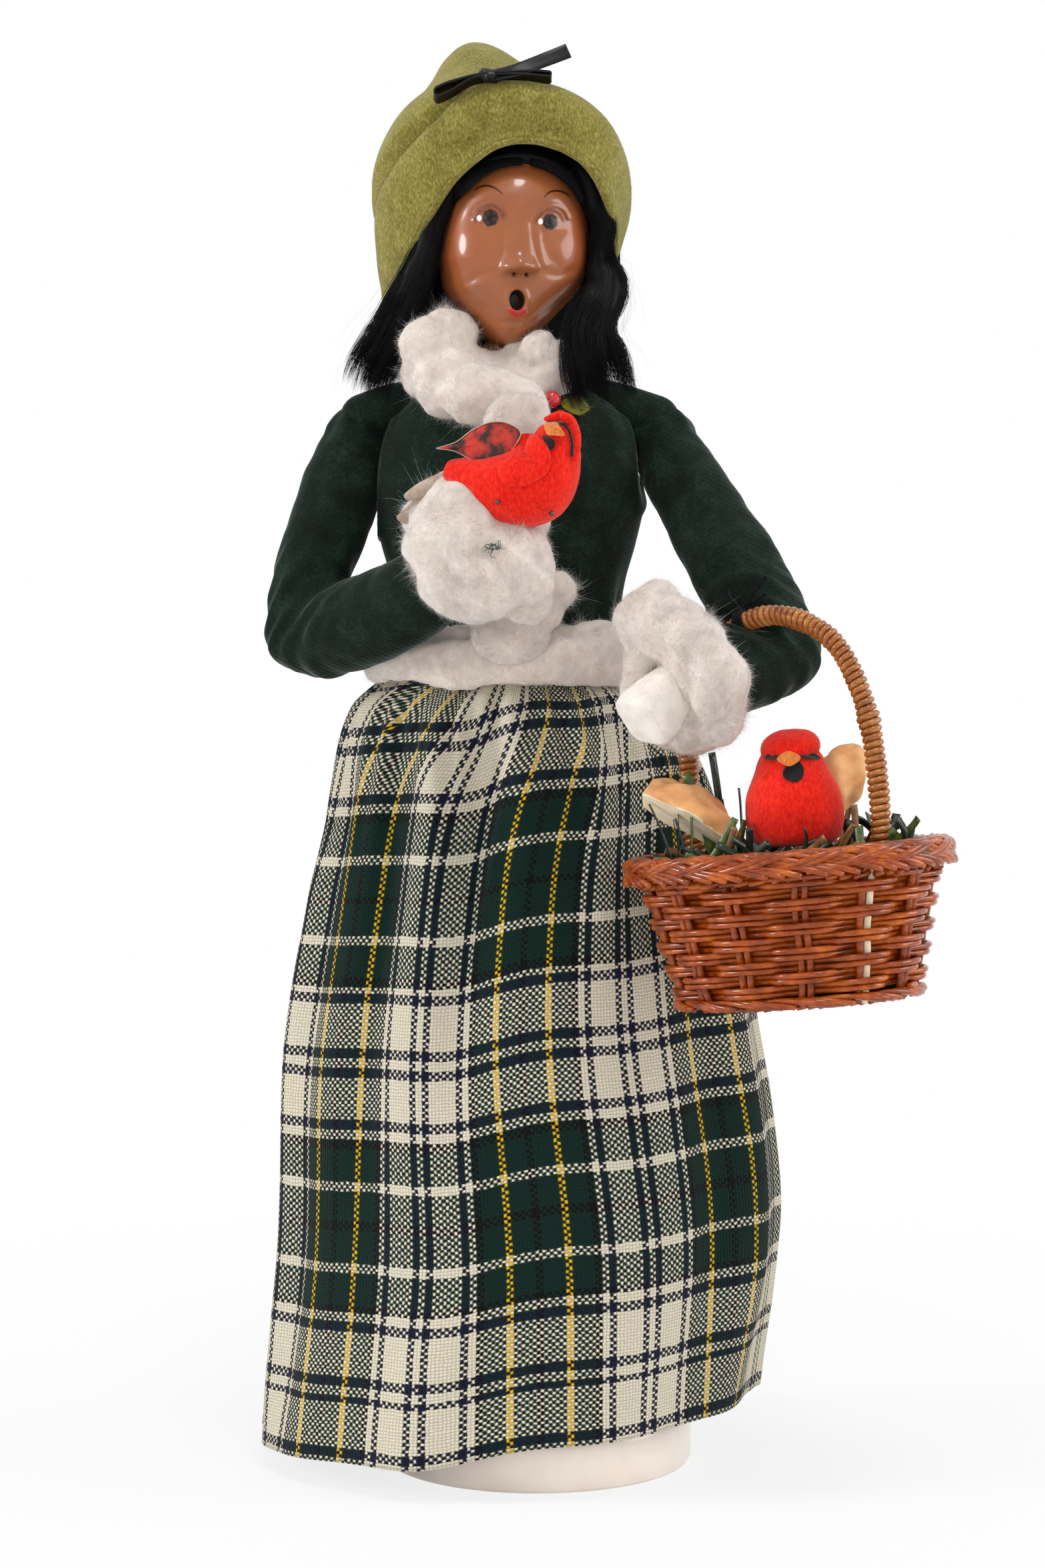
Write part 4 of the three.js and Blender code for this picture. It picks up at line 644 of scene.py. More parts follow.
def lamp(name, at, aim, size, power, mirrored=True):
    """A round lamp; a mirrored one also shows in glossy surfaces."""
    data = bpy.data.lights.new(name, "AREA")
    data.shape, data.size, data.energy = "DISK", size, power
    thing = bpy.data.objects.new(name, data)
    bpy.context.scene.collection.objects.link(thing)
    thing.location = Vector(at)
    thing.rotation_euler = (Vector(aim) - Vector(at)).to_track_quat("-Z", "Y").to_euler()
    thing.visible_glossy = mirrored


lamp("key", (-1.2, -0.2, 0.6), (0, 0, 0.2), 0.4, 8.0)
lamp("soft_right", (1.15, -0.15, 0.5), (0, 0, 0.2), 0.75, 6.6)
lamp("top", (0.12, -0.5, 1.4), (0, 0, 0.2), 0.35, 5.5)
lamp("front", (-0.2, -1.5, 0.36), (0, 0, 0.15), 1.0, 6.6, mirrored=False)

world = bpy.data.worlds.new("studio")
bpy.context.scene.world = world
world.use_nodes = True
light = world.node_tree.nodes["Background"]
level = world.node_tree.nodes.new("ShaderNodeMapRange")
level.inputs["To Min"].default_value, level.inputs["To Max"].default_value = 0.4, 1.0


def seen_rays(tree):
    """1 for the rays that see a surface: from the camera, a gloss or through a clear piece."""
    rays = tree.nodes.new("ShaderNodeLightPath")
    before = rays.outputs["Is Camera Ray"]
    for key in ("Is Glossy Ray", "Is Transmission Ray"):
        most = tree.nodes.new("ShaderNodeMath")
        most.operation = "MAXIMUM"
        tree.links.new(before, most.inputs[0])
        tree.links.new(rays.outputs[key], most.inputs[1])
        before = most.outputs[0]
    return before


world.node_tree.links.new(seen_rays(world.node_tree), level.inputs["Value"])
world.node_tree.links.new(level.outputs[0], light.inputs["Strength"])
light.inputs["Color"].default_value = (1, 1, 1, 1)

floor_paint = Paint("floor", Roughness=0.9, Base_Color=(0.9, 0.9, 0.9, 1))
glow = floor_paint.node("Emission", {"Strength": 1.0})
away = floor_paint.node("VectorMath", {0: floor_paint.place}, operation="LENGTH").outputs["Value"]
pure = floor_paint.node("MapRange", {"Value": away, "From Min": 0.06, "From Max": 0.34,
                                     "To Min": 0.8, "To Max": 1.0}, interpolation_type="SMOOTHSTEP").outputs[0]
share = floor_paint.math("MULTIPLY", seen_rays(floor_paint.tree), pure)
blend_floor = floor_paint.node("MixShader", {0: share, 1: floor_paint.shader.outputs[0], 2: glow.outputs[0]})
floor_paint.tree.links.new(blend_floor.outputs[0], floor_paint.tree.nodes["Material Output"].inputs[0])
FLOOR_HALF = 2500
floor_soup = Soup().add([[x * FLOOR_HALF, y * FLOOR_HALF, 0] for x, y in ((-1, -1), (1, -1), (1, 1), (-1, 1))],
                        np.array([[0, 1, 2, 3]]))
floor = piece("floor", floor_soup, floor_paint.material, turn_out=False)


# ---- places
SHIFT = np.array([-6.5, 0.0, 0.0])
WAIST_Z, NECK_Z = 191.0, 249.5
SHOULDER = {"right": np.array([-41, 3.2, 240.0]), "left": np.array([28, 3.2, 240.0])}
ELBOW = {"right": np.array([-53.5, -5.8, 194.0]), "left": np.array([53.5, -39.3, 191.0])}
WRIST = {"right": np.array([-22.5, -36.8, 209.5]), "left": np.array([31.5, -58.3, 185.5])}


VIEW_ACROSS, VIEW_AHEAD = np.array([1.0, 0, 0]), unit(CAMERA_TO - CAMERA_AT)
VIEW_UP = np.cross(VIEW_ACROSS, VIEW_AHEAD)
# Enlarged crops of the photograph that outlines were read from: scale, left and top.
HEAD_CROP, BIRD_CROP, BASKET_CROP = (2.6125, 500, 40), (2.613, 400, 560), (2.30, 860, 860)


def at_pixel(px, py, depth):
    """The point on the plane y = depth that the camera sees at a pixel of its image."""
    ray = (VIEW_AHEAD + VIEW_ACROSS * (px - IMAGE_WIDTH / 2) / FOCAL_PX
           + VIEW_UP * (IMAGE_HEIGHT / 2 - py) / FOCAL_PX)
    return CAMERA_AT + ray * (depth - CAMERA_AT[1]) / ray[1]


def on_image(points):
    """The pixel, across and down, at which the camera sees each point."""
    off = points - CAMERA_AT
    far = off @ VIEW_AHEAD
    return (IMAGE_WIDTH / 2 + FOCAL_PX * off[..., 0] / far,
            IMAGE_HEIGHT / 2 - FOCAL_PX * (off @ VIEW_UP) / far)


def on_photo(points, crop, depth=0.0):
    """Points of a crop of the photograph, each on a plane of its own or on one for all."""
    scale, left, top = crop
    return np.array([at_pixel(left + x / scale, top + y / scale, d[0] if d else depth) for x, y, *d in points])


def lathe(profile, sides):
    """Rings of a turned shape from its radii and heights."""
    turn = circle(sides)
    return np.stack([profile[:, :1] * np.cos(turn), profile[:, :1] * np.sin(turn),
                     np.broadcast_to(profile[:, 1:], (len(profile), sides))], -1)


# ---- base and inner pieces
BASE_RADIUS, BASE_HEIGHT, BASE_SHOULDER = 36.5, 14.0, 4.5
corner = np.linspace(0, math.pi / 2, 12)
profile = np.vstack([
    [[2, 0], [BASE_RADIUS - 1.4, 0], [BASE_RADIUS - 0.5, 0.25], [BASE_RADIUS, 1.2],
     [BASE_RADIUS, 5], [BASE_RADIUS, BASE_HEIGHT - BASE_SHOULDER - 0.4]],
    np.stack([BASE_RADIUS - BASE_SHOULDER + BASE_SHOULDER * np.cos(corner),
              BASE_HEIGHT - BASE_SHOULDER + BASE_SHOULDER * np.sin(corner)], 1),
    [[24, BASE_HEIGHT], [2, BASE_HEIGHT]]])
piece("cast_base", lofted(lathe(profile, 128)), CAST, "doll", ["base"])

# Height from the waist, half width and half depth of the wound core.
CORE_ROWS = [[-20, 16.5, 12.5], [0, 18, 14], [33, 19, 14.2], [52, 16, 11.5], [57, 9, 8]]
WOUND_STEP, WOUND_PITCH = 0.35, 7.5
rise, turn = np.linspace(CORE_ROWS[0][0], CORE_ROWS[-1][0], 140), circle(64)
half = row_at(CORE_ROWS, rise)
wound = WOUND_STEP * ((rise[:, None] / WOUND_PITCH + turn / FULL) % 1.0)
core = np.stack([(half[:, :1] + wound - 0.3) * np.cos(turn), (half[:, 1:] + wound - 0.3) * np.sin(turn),
                 np.broadcast_to(WAIST_Z + rise[:, None], (len(rise), len(turn)))], -1) + SHIFT
piece("wound_core", lofted(core), PAPER, "doll", ["torso_core"])
for name in ("leg_wire_right", "leg_wire_left", "neck_wire", "shoulder_wire", "upper_arm_wire_right",
             "upper_arm_wire_left", "forearm_wire_right", "forearm_wire_left"):
    NODES[name].data.materials.clear()
    NODES[name].data.materials.append(STEEL)


# ---- skirt
HEM_HEIGHT, HEM_TILT, CLOTH = 11.0, 6.0, 0.8
# Share of the drop, half width, half depth and shift across.
SKIRT_TABLE = [[0, 22.4, 18.4, 0], [0.03, 26.8, 21.5, 0], [0.075, 36, 27, 0], [0.18, 43.5, 29.5, 1.8],
               [0.3, 48, 31, 2.4], [0.5, 54.5, 36.5, 2.8], [0.75, 58, 43, 4.5], [1, 58, 46.5, -0.5]]
SKIRT_COLS, SKIRT_ROWS = 330, 140
# Folds that the photograph shows: angle at the top and at the hem, width, depth, start and end of the drop.
FOLDS = [
    [232, 226, 6, -2.6, 0.03, 0.75], [246, 240, 7, 2.2, 0.02, 0.5], [262, 247, 7, -3.4, 0.03, 0.72],
    [276, 262, 6, 2.0, 0.02, 0.4], [297, 283, 7, 2.4, 0.02, 0.5], [308, 300, 6, -2.2, 0.02, 0.4],
    [205, 202, 6, -2.6, 0.1, 1.1], [196, 196, 8, 2.4, 0.2, 1.1], [324, 318, 8, -2.0, 0.35, 1.1],
    [340, 338, 9, 2.0, 0.3, 1.1], [254, 250, 10, 1.6, 0.75, 1.2],
]
# Laps, steep on the wearer's right-hand side: angle at the top and at the hem, start, end, height.
LAPS = [[272, 232, 0.03, 0.52, 2.7], [252, 250, 0.02, 0.24, 1.9], [239, 238, 0.02, 0.22, 1.7],
        [305, 303, 0.02, 0.32, 1.9], [323, 322, 0.02, 0.3, 1.6]]
TARTAN_TURN = 52.65  # degrees of one repeat
WARP_REPEAT, WEFT_PITCH = 64, 1.035
# The yellow line at the front: its thread, its degrees round the skirt, and how it wanders down the drop.
LINE_THREAD, LINE_DEGREES, LINE_REACH = 47, 272.8, (287, 52)
WAIST_PULL, WAIST_PULL_REACH = 15, (236, 23)  # degrees by which the gathers pull the cloth, and where
LINE_ROWS = [[0, 296], [0.07, 291], [0.2, 277.5], [0.33, 271.8], [0.54, 270], [0.78, 272.8], [1, 278]]


def skirt_point(turn, drop, inset):
    """A point of the cloth, by its angle round the skirt, its share of the drop and its depth in the cloth."""
    table = row_at(SKIRT_TABLE, drop)
    degrees = np.degrees(turn) % 360
    wave = 0.62 * np.sin(9 * turn + 0.6) + 0.38 * np.sin(13 * turn + 2.1)
    fold = 2.6 * wave * np.minimum(1, drop * 5) * (0.55 + 0.45 * drop)
    behind = smooth(185, 160, degrees) + smooth(355, 359, degrees) + (degrees < 20)
    fold = fold * (0.35 + 0.65 * np.clip(behind, 0, 1))
    for top, low, width, depth, start, end in FOLDS:
        middle = top + (low - top) * drop
        fold = fold + depth * bell(degrees, middle, width) * smooth(start, start + 0.12, drop) \
            * smooth(end, end - 0.3, drop)
    for top, low, start, end, height in LAPS:
        past = degrees - top - (low - top) * drop
        fold = fold + height * smooth(-1.7, 1.3, past) * np.exp(-np.maximum(0, past) / 10) \
            * smooth(start, start + 0.05, drop) * smooth(end, end * 0.45, drop)
    gather = np.sin(31 * turn + 1.3 * np.sin(5 * turn)) * 0.55 + np.sin(47 * turn + 0.7) * 0.3
    fold = fold + 1.15 * gather * smooth(0.36, 0.02, drop) * smooth(-0.01, 0.03, drop)
    hem = HEM_HEIGHT + HEM_TILT * np.cos(turn) - 1.2 * bell(degrees, 252, 16) + 1.4 * bell(degrees, 275, 14)
    reach = np.stack([table[..., 2] + (table[..., 0] + fold - inset) * np.cos(turn),
                      (table[..., 1] + fold - inset) * np.sin(turn),
                      WAIST_Z + (hem - WAIST_Z) * drop], -1)
    crumple = 0.35 * layers(reach * [1, 1, 0.5], 0.07, 2, 3)
    reach[..., 0] += crumple * np.cos(turn)
    reach[..., 1] += crumple * np.sin(turn)
    return reach + SHIFT


turn = math.pi / 2 + circle(SKIRT_COLS)
drop = np.concatenate([np.linspace(0, 0.12, 24, endpoint=False), np.linspace(0.12, 1, SKIRT_ROWS - 24)])
TURN, DROP = np.meshgrid(turn, drop)
outer, inner = skirt_point(TURN, DROP, 0), skirt_point(TURN, DROP, CLOTH)
rings = np.concatenate([outer, inner[::-1]])
shift = (row_at(LINE_ROWS, DROP)[..., 0] - LINE_DEGREES) * bell(np.degrees(TURN), *LINE_REACH)
shift = shift + WAIST_PULL * bell(np.degrees(TURN), *WAIST_PULL_REACH) * smooth(0.19, 0.02, DROP)
far = np.linalg.norm(np.diff(outer, axis=0), axis=2)
up_from_hem = np.concatenate([np.cumsum(far[::-1], axis=0)[::-1], np.zeros((1, SKIRT_COLS))])
uv = np.stack([LINE_THREAD + (np.degrees(TURN) - LINE_DEGREES - shift) / TARTAN_TURN * WARP_REPEAT,
               1 + up_from_hem / WEFT_PITCH], -1)
uv = np.concatenate([uv, uv[::-1]]).reshape(-1, 2)
skirt_soup = Soup().add(rings, grid_faces(2 * SKIRT_ROWS, SKIRT_COLS, True, True))
skirt = piece("plaid_skirt", skirt_soup, PLAID, "doll", ["skirt", "waistband"], uv=uv,
              uv_span=360 / TARTAN_TURN * WARP_REPEAT)


# ---- jacket and sleeves
# Height from the waist, half width and half depth of the jacket.
JACKET_ROWS = [[-7, 26, 21], [2, 25.3, 20.5], [12, 26, 20.3], [24, 29.5, 21.5], [37, 31.5, 22],
               [49, 29.6, 20.6], [56, 24.6, 17], [61.5, 16, 12.6]]


def along(side):
    """The ways that an upper arm and a forearm point."""
    return unit(ELBOW[side] - SHOULDER[side]), unit(WRIST[side] - ELBOW[side])


def from_line(points, a, b):
    """Distance of points from the line between two others, and the share along it."""
    ab = b - a
    t = np.clip(((points - a) @ ab) / (ab @ ab), 0, 1)
    return np.linalg.norm(points - a - t[..., None] * ab, axis=-1), t


rise = np.linspace(-7, 61, 110)
turn = circle(180)
half = row_at(JACKET_ROWS, rise)
RISE, TURN = np.meshgrid(rise, turn, indexing="ij")
bodice = np.stack([half[:, :1] * np.cos(TURN), half[:, 1:] * np.sin(TURN), WAIST_Z + RISE], -1) + SHIFT
middle = np.stack([np.full_like(RISE, SHIFT[0]), np.zeros_like(RISE), WAIST_Z + RISE], -1)
outwards = unit(bodice - middle)
for side in ("right", "left"):
    for _ in range(30):  # the armhole gives way to the sleeve
        gap, t = from_line(bodice, SHOULDER[side], ELBOW[side])
        bodice -= outwards * (0.4 * (gap < 9.4 - 0.6 * t))[..., None]
    gap, t = from_line(bodice, SHOULDER[side], ELBOW[side])
    ridge = bell(gap, 11.4, 1.2) * (t < 0.45)
    bodice += outwards * (0.7 * ridge)[..., None]
bodice += outwards * (0.45 * layers(bodice * [1, 1, 0.6], 0.06, 3, 5)
                      + 0.5 * bell(RISE, 8, 9) * np.sin(TURN * 14 + 0.1 * RISE))[..., None]
velvet = lofted(bodice)
YOKES = [[[-22, 0, 249.0], [-33, 0.5, 247.0], [-40, 2, 244.2]], [[9, 0, 250.0], [19, 0.5, 247.0], [27.5, 2, 243.8]]]
YOKE_RADII = (4.6, 5.8)
for yoke in YOKES:
    velvet.add(*tube(spline(yoke, 24), np.linspace(*YOKE_RADII, 24), 28))
    velvet.add(*ball(np.array(yoke[-1]), YOKE_RADII[1]))
piece("velvet_bodice", velvet, VELVET, "doll", ["jacket_bodice"])

# Sleeves: how the upper arm bows and the forearm sags, and radii along them.
UPPER_BOW = {"right": np.array([-2.2, -0.8, 0.6]), "left": np.array([1.0, 0.5, 0.3])}
UPPER_RADII = {"right": [[0, 5.0], [0.1, 7.8], [0.3, 9.3], [0.65, 9.2], [1, 9.3]],
               "left": [[0, 5.0], [0.1, 7.6], [0.3, 9.2], [0.6, 10.3], [0.85, 10.2], [1, 9.5]]}
FORE_SAG = {"right": np.array([1.5, 0, -3.2]), "left": np.array([0, 0, -0.6])}
FORE_RADII = {"right": [[0, 9.6], [0.4, 10.4], [1, 8.8]], "left": [[0, 9.4], [0.5, 9.6], [1, 8.4]]}
FORE_PAST = {"right": 5.0, "left": 0.0}
HANDLE_DENT, DENT_HALF = np.array([45.58, -46.14, 197.9]), np.array([18, -14.6, 0])
for side in ("right", "left"):
    upper, fore = along(side)
    bow = UPPER_BOW[side]
    line = spline([SHOULDER[side] - upper * 3.5, SHOULDER[side] * 0.66 + ELBOW[side] * 0.34 + bow * 0.5,
                   SHOULDER[side] * 0.3 + ELBOW[side] * 0.7 + bow * 0.9, ELBOW[side]], 60)
    sleeve = Soup().add(*tube(line, row_at(UPPER_RADII[side], np.linspace(0, 1, 60))[:, 0], 32))
    sleeve.add(*ball(SHOULDER[side] + upper * 1.5, 8.4)).add(*ball(ELBOW[side], 9.3))
    sag = FORE_SAG[side]
    line = spline([ELBOW[side] + 0.25 * sag, (ELBOW[side] + WRIST[side]) / 2 + sag,
                   WRIST[side] + fore * FORE_PAST[side] + 0.5 * sag], 40)
    sleeve.add(*tube(line, row_at(FORE_RADII[side], np.linspace(0, 1, 40))[:, 0], 32))
    points, faces, normals = fuse(sleeve, 0.75, 5)
    crease = unit(fore - upper)  # towards the inside of the bend
    bend = ELBOW[side] + crease * 5.5
    d = np.linalg.norm(points - bend, axis=1)
    wrinkle = layers(points, 0.085, 3, 11) * 0.55
    ripple = np.sin((points - ELBOW[side]) @ unit(fore + upper) * 1.25 + 2.2 * noise(points, 0.09, 4))
    spoke = unit(np.cross(upper, [0, 1, 0]))
    spokes = (points - SHOULDER[side]) @ np.stack([spoke, np.cross(upper, spoke)], 1)
    pucker = np.sin(8 * np.arctan2(*spokes.T)) * bell((points - SHOULDER[side]) @ upper, 0, 6)
    points = points + normals * (wrinkle + 0.3 * pucker + 0.75 * ripple * bell(d, 0, 13)
                                 + 1.1 * noise(points, 0.16, 21) * bell(d, 6, 9))[:, None]
    if side == "left":
        bar = HANDLE_DENT + [0, 0, 0.5]
        gap, _ = from_line(points, bar - DENT_HALF, bar + DENT_HALF)
        points = points - normals * (smooth(4.2, 2.2, gap) * 1.9)[:, None]
    made = piece(f"velvet_sleeve_{side}", Soup().add(points, faces), VELVET, None,
                 [f"upper_sleeve_{side}", f"lower_sleeve_{side}"])
    reach = unit(fore + upper) * 7
    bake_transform(made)


# ---- fur
def fur_ring(bore, half, steps, phase, flare=0.0):
    """A soft ring round Z, flat on its inside, with uneven swelling."""
    turn = circle(steps)
    swell, high = (h * (1 + 0.08 * np.sin(5 * turn + p) + 0.05 * np.sin(8 * turn + 2.3 * p))
                   for h, p in zip(half, (phase, phase + 2)))
    sides = 28
    a = circle(sides)
    rise = np.maximum(0, swell[:, None] * 0.75 + swell[:, None] * np.cos(a))
    z = high[:, None] * np.sin(a) + flare * (rise - half[0])
    rings = np.stack([(bore[0] + rise) * np.cos(turn)[:, None], (bore[1] + rise) * np.sin(turn)[:, None], z], -1)
    return rings.reshape(-1, 3), [grid_faces(steps, sides, True, True)]


def add_blobs(soup, rows):
    """Soft lumps where the photograph shows them, by pixel, depth and half sizes."""
    for px, py, depth, half in rows:
        soup.add(*ball(at_pixel(px, py, depth), half))
    return soup


FIBRE_LENGTH, FIBRE_RADIUS, FUR_VOXEL, LOOSE_SHARE, LONG_SHARE = 2.3, 0.032, 0.7, 0.6, 0.02


def fur_piece(name, soup, body, stands_for, count, lumps=1.0):
    """Cotton-like fur: a billowing mass under matted tufts of fine fibre, some of which stand out of it."""
    points, faces, normals = fuse(soup, FUR_VOXEL, 5)
    points = points + normals * (lumps * (0.9 * noise(points, 0.14, 2) + 0.4 * noise(points, 0.36, 3)
                                          + 0.16 * noise(points * [1, 1, 0.6], 0.9, 4)))[:, None]
    normals = normals_of(points, faces)
    made = Soup().add(points, faces)
    at, n = scatter(points, normals, faces, count)
    flow = np.stack([noise(at, 0.26, 40 + k) for k in range(3)], 1)
    lean = unit(1.8 * flow + 0.55 * RNG.normal(size=(count, 3)))
    loose = (RNG.random(count) < LOOSE_SHARE)[:, None]
    curl = unit(RNG.normal(size=(count, 3)))
    shaggy = 1 + 1.4 * smooth(0.1, 0.6, noise(at, 0.22, 50))[:, None]
    far = (FIBRE_LENGTH * shaggy * (0.2 + 0.5 * RNG.random((count, 1))
                                    + 0.8 * (RNG.random((count, 1)) < LONG_SHARE)))[:, None]
    t = np.linspace(0, 1, 4)[None, :, None]
    ahead = unit(lean + n * np.where(loose, 1.0, 0.3))[:, None]
    bends = np.where(loose, 0.8, 0.45)[:, None] * t**2 * curl[:, None]
    paths = at[:, None] - 0.15 * n[:, None] + far * (t * ahead + bends - 0.2 * t**2 * n[:, None])
    made.add(*strands(paths, FIBRE_RADIUS * (0.45 + 0.7 * RNG.random(count))), 1)
    # The mass takes the shaded copy of the fur and the fibres the lit one.
    return piece(name, made, [SHADED_FUR, LIT_FIBRE], body, stands_for)


COLLAR_BLOBS = [(640, 520, -15, (6, 6, 7)), (672, 575, -19, (8, 5, 8)), (724, 590, -23, (10, 5, 7)),
                (775, 610, -25, (7, 4, 7)), (640, 560, -12, (6, 6, 6)), (672, 502, -12, (7, 5, 6)),
                (812, 530, -15, (5, 4, 5.5))]
ring, faces = fur_ring((10, 10), (6.9, 9.6), 90, 0.4, 0.35)
# Higher and flatter over the doll's left shoulder, and lower under the chin.
ring[:, 2] *= 1 - 0.45 * smooth(4, 12, ring[:, 0]) * (ring[:, 2] < 0)
ring[:, 0] -= 0.4 * np.maximum(0, ring[:, 0] - 9)
under_chin = smooth(12, 5, abs(ring[:, 0])) * smooth(0, -8, ring[:, 1]) * smooth(-2, 8, ring[:, 2])
ring -= under_chin[:, None] * (ring * [0, 0.3, 0] + [0, 0, 0.8])
soup = Soup().add(ring + SHIFT + [0, 0, NECK_Z + 2.8], faces)
fur_piece("fur_collar", add_blobs(soup, COLLAR_BLOBS), "doll", ["collar_fur"], 34000)

FRONT_LINE = [(-2.9, -22.5, 198.5), (-2.9, -23, 211), (-2.9, -24, 224), (-2.4, -23.5, 236), (-2.2, -22.5, 243)]
FRONT_BLOBS = [(790, 900, -27, (9, 4.5, 8)), (765, 955, -28, (9, 4.5, 7)), (838, 885, -27, (4, 3.5, 4)),
               (775, 625, -26, (7.5, 4, 7))]
radii = 5.6 * (1 + 0.12 * np.sin(np.arange(60) * 0.7)) * (0.7 + 0.3 * np.sin(np.linspace(0, math.pi, 60)))
soup = Soup().add(*tube(spline(FRONT_LINE, 60), radii, 24, flat=0.55, up=(0, 1, 0)))
fur_piece("fur_front", add_blobs(soup, FRONT_BLOBS), "doll", ["front_fur"], 18000, 0.8)

bore = row_at(JACKET_ROWS, -6.8) + 0.3
soup = Soup()
for wider, half, phase, low in ((0, (3.0, 6.8), 1.3, 0.5), (3.5, (2.6, 5.2), 2.6, 2.6)):
    ring, faces = fur_ring(bore + wider, half, 110, phase)
    soup.add(ring + SHIFT + [0, 0, WAIST_Z - low], faces)
fur_piece("fur_hem", soup, "doll", ["hem_fur"], 34000)

CUFF_AT, CUFF_LONG = {"right": 14.0, "left": -0.5}, {"right": 9.5, "left": 6.5}
CUFF_PHASE = {"right": 1.0, "left": 3.0}
CUFF_BLOBS = {
    "right": [(640, 778, -42, (5.5, 5, 5)), (690, 780, -52, (9, 6, 8)), (740, 838, -52, (9.5, 7, 9)),
              (790, 850, -48, (7, 6, 9)), (790, 900, -44, (6, 5, 6))],
    "left": [(1005, 945, -58, (9, 7, 8)), (1046, 1008, -60, (8, 8, 9)), (1068, 1075, -61, (7, 6, 6)),
             (968, 930, -54, (7, 7, 7)), (987, 905, -54, (5, 6, 5)), (1085, 1060, -57, (5, 6, 5)),
             (1030, 1095, -62, (5, 5, 5))],
}
for side in ("right", "left"):
    _, fore = along(side)
    ring, faces = fur_ring((7.5, 7.5), (5.2, CUFF_LONG[side]), 80, CUFF_PHASE[side])
    third = unit(np.cross(fore, [0.2, 0.1, 1.0]))
    spin = np.stack([third, np.cross(fore, third), fore], 1)
    soup = Soup().add(ring @ spin.T + WRIST[side] + fore * CUFF_AT[side], faces)
    fur_piece(f"fur_cuff_{side}", add_blobs(soup, CUFF_BLOBS[side]), f"{side}_forearm", [f"cuff_fur_{side}"], 32000)


# ---- mittens
MITTEN_WAY = {"right": along("right")[1], "left": unit(np.array([-0.65, -0.45, -0.6]))}
MITTEN_LONG, MITTEN_HALF, MITTEN_SQUARE = {"right": 17.0, "left": 14.5}, (6.6, 6.1), 0.55
MITTEN_ROWS = [[0, 0.82], [0.35, 0.95], [0.75, 1.02], [0.93, 0.98], [0.985, 0.86], [1, 0.55]]  # share along, size
turn = circle(48)
share = np.concatenate([np.linspace(0, 0.86, 30), 0.86 + 0.14 * np.sin(np.linspace(0.1, 1, 12) * math.pi / 2)])
flat = np.stack([half * np.sign(c) * np.abs(c) ** MITTEN_SQUARE
                 for half, c in zip(MITTEN_HALF, (np.cos(turn), np.sin(turn)))], 1)
size = row_at(MITTEN_ROWS, share)
for side, fore in MITTEN_WAY.items():
    third = unit(np.cross(fore, [0.35, 0.2, 1.0]))
    other = np.cross(fore, third)
    rings = (WRIST[side] + fore * 0.3)[None, None] + share[:, None, None] * MITTEN_LONG[side] * fore \
        + size[:, :, None] * (flat[None, :, :1] * third + flat[None, :, 1:] * other)
    rings = rings + 0.12 * noise(rings, 0.4, 8)[..., None] * third
    piece(f"mitten_{side}", lofted(rings), KNIT, f"{side}_forearm",
          [f"hand_{side}"])


# ---- head
HEAD_AT, HEAD_TURN = np.array([-5.5, -1.0, 283.3]), euler(0, 4, 8)
# Height from the head's middle, half width, half depth at the front and at the back.
HEAD_ROWS = [[-23.45, 1.2, 6, 0.6], [-22.6, 4.5, 11.5, 4], [-20, 9, 15, 8], [-16, 13, 17, 11.5],
             [-11, 15.7, 18, 15], [-5, 17.2, 18.2, 18], [2, 17.5, 17.8, 19], [9, 16.5, 16.4, 18],
             [16, 13.3, 12.8, 14], [21, 8.5, 8, 9.5], [23.2, 1.5, 1.5, 1.5]]


def to_world(local):
    return np.asarray(local, float) @ HEAD_TURN.T + HEAD_AT


def to_head(world):
    return (world - HEAD_AT) @ HEAD_TURN


DRAWING = (600, 180, 3.575)  # left and top pixel of the drawing of the face, and its units to a pixel


def on_drawing(world):
    """Where points fall on the drawing of the face."""
    left, top, scale = DRAWING
    across, down = on_image(world)
    return (across - left) * scale, (down - top) * scale


def near(points):
    """Distance on the drawing of the face from a stroke, and the share along it."""
    line = spline([[a, b, 0] for a, b in points], 24)[:, :2]
    best, share = np.full(X.shape, 1e9), np.zeros(X.shape)
    for k, (a, b) in enumerate(zip(line[:-1], line[1:])):
        dx, dy = b - a
        t = np.clip(((X - a[0]) * dx + (Y - a[1]) * dy) / (dx * dx + dy * dy), 0, 1)
        d = np.hypot(X - a[0] - t * dx, Y - a[1] - t * dy)
        share = np.where(d < best, (k + t) / (len(line) - 1), share)
        best = np.minimum(best, d)
    return best, share


def spot(at, half):
    """1 at a place on the drawing of the face, falling off round it."""
    return np.exp(-((X - at[0]) / half[0]) ** 2 - ((Y - at[1]) / half[1]) ** 2)


JAW_HEIGHTS, JAW_WIDTHS = [-22.7, -17.6, -10.4, -4], [0.75, 0.785, 0.95, 1]  # heights, and shares of the width
front = np.linspace(math.pi, FULL, 320, endpoint=False)
back = np.linspace(0, math.pi, 70, endpoint=False)
TURN, Z = np.meshgrid(np.concatenate([back, front]), np.concatenate([
    np.linspace(-23.45, -21, 14, endpoint=False), np.linspace(-21, 20, 230), np.linspace(20.3, 23.2, 12)]))
half = row_at(HEAD_ROWS, Z)
deep = np.where(np.sin(TURN) < 0, half[..., 1], half[..., 2])
local = np.stack([half[..., 0] * np.cos(TURN), deep * np.sin(TURN), Z], -1)
jaw = smooth(10, 2, local[..., 1])
local[..., 0] *= 1 - jaw * (1 - np.interp(Z, JAW_HEIGHTS, JAW_WIDTHS))
local[..., 0] -= 0.9 * jaw * smooth(-6, -14, Z)
X, Y = on_drawing(to_world(local))
ahead = smooth(-1.0, -6.0, local[..., 1])

